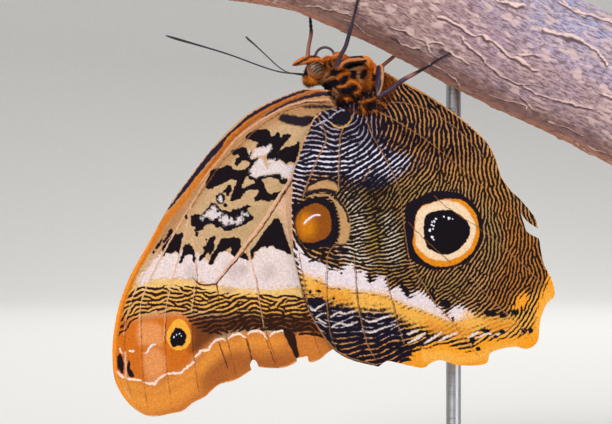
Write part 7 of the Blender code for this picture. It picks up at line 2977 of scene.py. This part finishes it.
def abdomen_room(points: np.ndarray) -> np.ndarray:
    """How far out a hindwing has to lie to pass round the abdomen.

    Args:
        points: Rows of places.

    Returns:
        One depth for each place.
    """
    given = np.asarray(ABDOMEN, float)
    line = evenly(np.column_stack([drawn(given[:, :2]), given[:, 3] * MM]), 1.5 * MM)
    best = np.zeros(len(points))
    for x, z, wide in line:
        apart = np.hypot(points[:, 0] - x, points[:, 1] - z)
        radius = wide + ABDOMEN_CLEAR
        best = np.maximum(best, radius * np.exp(-((apart / (1.4 * radius)) ** 4)))
    return best


def hindwing_depth(points: np.ndarray) -> np.ndarray:
    """How far the middle of a hindwing's membrane is from the plane of symmetry.

    Args:
        points: Rows of places.

    Returns:
        One depth for each place.
    """
    over = forewing_depth(points) + HINDWING_OVER
    low, high = drawn([(CLOSING[0], 0), (CLOSING[1], 0)])[:, 0]
    closing = smooth_step(points[:, 0], low, high)
    flat = over * (1 - closing) + HINDWING_NEAR * closing
    return (flat ** 4 + abdomen_room(points) ** 4) ** 0.25


@dataclass(frozen=True)
class Membrane:
    """How a wing's sheet is made."""

    spacing: float = 0.21 * MM
    back_spacing: float = 1.1 * MM
    margin_spacing: float = 0.25 * MM
    half: float = 0.15 * MM
    edge_half: float = 0.05 * MM
    edge_fade: float = 0.9 * MM
    vein_rise: float = 0.10 * MM
    vein_width: float = 0.2 * MM
    warp: float = 0.1 * MM


def margin_line(runs: Sequence[Points], spacing: float) -> np.ndarray:
    """A closed wing margin in metres, from runs of drawn points that meet at corners."""
    return np.vstack([evenly(smooth_line(drawn(run), 8), spacing)[:-1] for run in runs])


def lattice(low: np.ndarray, high: np.ndarray, spacing: float) -> np.ndarray:
    """Points of an even triangular lattice over a box.

    Args:
        low: The box's low corner.
        high: Its high corner.
        spacing: How far apart the points are.

    Returns:
        The points.
    """
    rows = np.arange(low[1], high[1], spacing * math.sqrt(0.75))
    places = []
    for number, z in enumerate(rows):
        across = np.arange(low[0] + (number % 2) * spacing / 2, high[0], spacing)
        places.append(np.column_stack([across, np.full(len(across), z)]))
    return np.vstack(places)


def triangulated(outline: np.ndarray, extra: np.ndarray) -> tuple[np.ndarray, np.ndarray]:
    """A flat mesh within the outline, whose first points are the outline's.

    Args:
        outline: The closed margin.
        extra: Points within it.

    Returns:
        The points and the triangles, turned anticlockwise.
    """
    points = np.vstack([outline, extra])
    edges = [(i, (i + 1) % len(outline)) for i in range(len(outline))]
    found = delaunay_2d_cdt([Vector(p) for p in points.tolist()], edges, [], 1, 1e-9)
    corners = np.array([tuple(p) for p in found[0]])
    return corners, np.array([tuple(face) for face in found[2]])


def within(outline: np.ndarray, places: np.ndarray, room: float) -> np.ndarray:
    """The places that lie within the outline and at least this far from it.

    Args:
        outline: The closed margin.
        places: Rows of places.
        room: How far inside they have to be.

    Returns:
        The places that are kept.
    """
    kept = places[inside(places, outline)]
    closed = np.vstack([outline, outline[:1]])
    return kept[reach_of(kept, closed) > room]


@dataclass(frozen=True)
class Wing:
    """One wing of the butterfly: a thin sheet whose outer face carries the markings."""

    drawing: Drawing
    side: int
    depth: Reading
    membrane: Membrane = Membrane()

    def front_points(self, outline: np.ndarray) -> np.ndarray:
        """Where the outer face has its inner points: a lattice, closer in the fine zones.

        Args:
            outline: The closed margin.

        Returns:
            The points.
        """
        make = self.membrane
        spacing = make.spacing * 1
        places = lattice(outline.min(axis=0), outline.max(axis=0), spacing)
        finer = []
        for zone in self.drawing.fine:
            centre = drawn([zone.centre])[0]
            reach = zone.reach * SCALE
            places = places[np.linalg.norm(places - centre, axis=1) > reach]
            close = zone.spacing * 1
            near = lattice(centre - reach, centre + reach, close)
            finer.append(near[np.linalg.norm(near - centre, axis=1) < reach])
        return within(outline, np.vstack([places, *finer]), 0.55 * spacing)

    def build(self, pattern: Reading) -> Piece:
        """Makes the wing with its markings.

        Args:
            pattern: The ripples' value at given points.

        Returns:
            The finished wing, without its material.
        """
        make = self.membrane
        outline = margin_line(self.drawing.margins[self.side], make.margin_spacing)
        front, faces = triangulated(outline, self.front_points(outline))
        behind = within(
            outline, lattice(outline.min(axis=0), outline.max(axis=0), make.back_spacing),
            0.4 * make.back_spacing,
        )
        back, back_faces = triangulated(outline, behind)
        closed = np.vstack([outline, outline[:1]])
        verts = []
        for sheet, way in ((front, 1), (back, -1)):
            edge = smooth_step(reach_of(sheet, closed), 0, make.edge_fade)
            half = make.edge_half + (make.half - make.edge_half) * edge
            off_vein = np.min([reach_of(sheet, smooth_line(drawn(v), 5)) for v in self.drawing.veins], 0)
            half = half + make.vein_rise * edge * np.exp(-((off_vein / make.vein_width) ** 2))
            ripple = 0.035 * MM * octaves(sheet, 5 * MM, 7) * edge
            depth = self.side * (self.depth(sheet) + way * half + ripple)
            verts.append(np.column_stack([sheet[:, 0], depth, sheet[:, 1]]))
        count = len(front)
        rim = np.arange(len(outline))
        after = np.roll(rim, -1)
        rims = np.vstack([
            np.column_stack([rim, rim + count, after + count]),
            np.column_stack([rim, after + count, after]),
        ])
        triangles = np.vstack([faces, back_faces[:, ::-1] + count, rims])
        if self.side > 0:
            triangles = triangles[:, ::-1]
        hand = "right" if self.side < 0 else "left"
        wing = mesh_object(f"{self.drawing.kind}_{hand}_scales", np.vstack(verts), triangles)
        wing.data.set_sharp_from_angle(angle=math.radians(60))
        warped = front + make.warp * np.column_stack([octaves(front, 0.5 * MM, s) for s in (3, 4)])
        ripples = pattern(warped)
        for mark in self.drawing.marks:
            values = mark.values(warped)
            if mark.rippled:
                values = 0.24 * (ripples + mark.bias - 2.6 * (1 - smooth_step(values, -0.5, 0.7)))
            values = values - mark.fringe * ripples
            carry(wing, mark.name, np.concatenate([values, np.full(len(back), -3.0)]))
        carry(wing, "dorsal", np.concatenate([np.zeros(count), np.ones(len(back))]))
        self.unwrap(wing, count)
        return wing

    def unwrap(self, wing: Piece, count: int) -> None:
        """The bake map: the outer face laid flat over most of the square, the inner one beside it.

        Args:
            wing: The wing.
            count: How many corners its outer face has.
        """
        flat = vertex_places(wing)[:, [0, 2]]
        low, high = flat.min(axis=0), flat.max(axis=0)
        corners, face = face_starts(wing)
        spread = (flat[corners] - low) / (high - low).max()
        front = spread * 0.78 + 0.01
        behind = corners >= count
        spot = np.where(behind[:, None], spread * 0.19 + (0.80, 0.01), front)
        # The rim's faces join the two sheets, so they get a thin band just outside the outer face's map
        rim = (highest(behind * 1.0, face) > 0) & (highest(-1.0 * behind, face) > -1)
        outer = front + np.where(behind[:, None], (front - (0.4, 0.4)) * 0.006, 0)
        bake_map(wing, np.where(rim[:, None], outer, spot))


@dataclass(frozen=True)
class WingScales(Finish):
    """A wing's scales: matt, each mark laid over the ones before it, down to rows of single scales.

    A scale is about 0.1 mm wide. The rows are drawn at 0.17 mm, so that they show.
    """

    drawing: Drawing

    def paint(self, tree: Tree, shader: Node) -> None:
        """The outer face's markings, and the inner face's dark brown with a little blue.

        Args:
            tree: The material's node tree.
            shader: The Principled shader.
        """
        ragged = Grain(0.5, 3).socket(tree)
        fine = Grain(0.17, 2, stretch=(1.0, 1.0, 0.6)).socket(tree)
        parts = [reckoned(tree, "MULTIPLY", part, share) for part, share in ((ragged, 0.6), (fine, 0.4))]
        both = reckoned(tree, "ADD", *parts)
        tone = blended(tree, span(tree, ragged, 0.3, 0.7, 0.0, 0.25), self.drawing.ground, "#8F6C42")
        tone = laid(tree, tone, self.drawing.marks, reckoned(tree, "SUBTRACT", both, 0.5), 3.2)
        rows = span(tree, fine, 0.25, 0.75, 0.84, 1.14)
        mottle = span(tree, Grain(0.42, 4).socket(tree), 0.3, 0.7, 0.86, 1.12)
        tone = shaded(tree, tone, reckoned(tree, "MULTIPLY", rows, mottle))
        brown = blended(tree, span(tree, ragged, 0.3, 0.7), "#2A1C16", "#3A2A22")
        inner = blended(tree, span(tree, ragged, 0.35, 0.75, 0.0, 0.7), brown, "#2C2A55")
        tone = blended(tree, attribute(tree, "dorsal"), tone, inner)
        surfaced(tree, shader, tone, 0.6, specular=0.06)
        embossed(tree, shader, both, 0.5, 0.08)


ROOT_FUR = (
    (326, 88), (340, 84), (368, 84), (380, 72), (390, 76), (393, 86), (391, 97), (385, 104), (377, 112),
    (362, 115), (350, 112), (338, 107), (329, 100),
)


@dataclass(frozen=True)
class Wings:
    """All four wings, and the fur that spreads from the thorax over their roots."""

    pattern_step: float = 1 * MM
    density: float = 48
    length: tuple[float, float] = (0.5, 1.0)
    width: float = 0.11
    seed: int = 80

    def build(self) -> None:
        """Builds the forewings, the hindwings and the fur."""
        made = []
        for drawing, depth in ((FOREWING, forewing_depth), (HINDWING, hindwing_depth)):
            scales = WingScales(f"{drawing.kind}_scales", drawing).made()
            pattern = drawing.ripples.grown(margin_line(drawing.margins[RIGHT], self.pattern_step))
            for side, hand in ((RIGHT, "right"), (LEFT, "left")):
                wing = Wing(drawing, side, depth).build(pattern)
                wing.data.materials.append(scales)
                settle(wing, Slot.WING, f"{drawing.kind}_{hand}")
                made.append((wing, side))
        self.root_fur(made)

    def root_fur(self, wings: Sequence[tuple[Piece, int]]) -> None:
        """Plants the fur on the wings' outer faces, near their roots.

        Args:
            wings: Each wing and its side.
        """
        outline = smooth_line(drawn(ROOT_FUR), 4, closed=True)
        grown = []
        for number, (wing, side) in enumerate(wings):
            coat = Coat(
                f"root_fur_{number}", self.density, self.length, self.width, lift=18, spread=12,
                seed=self.seed + number,
            )
            hair = coat.grow(
                wing, body_lie, body_unwrap,
                lambda roots, normals: (side * normals[:, 1] > 0.3) & inside(roots[:, [0, 2]], outline),
            )
            mark_hair(hair, BODY_MARKS)
            grown.append(hair)
        fur = joined(grown, "wing_root_fur")
        fur.data.materials.append(ScalyFur("root_fur").made())
        settle(fur, Slot.BODY)


def main() -> None:
    """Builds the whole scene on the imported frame."""
    logging.basicConfig(level=logging.INFO, format="%(message)s")
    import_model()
    for part in (Body(), Eyes(), Legs(), Feelers(), Branch(), Stand(), Wings(), Studio()):
        log.info("Building: %s", type(part).__name__)
        part.build()


if __name__ == "__main__":
    main()
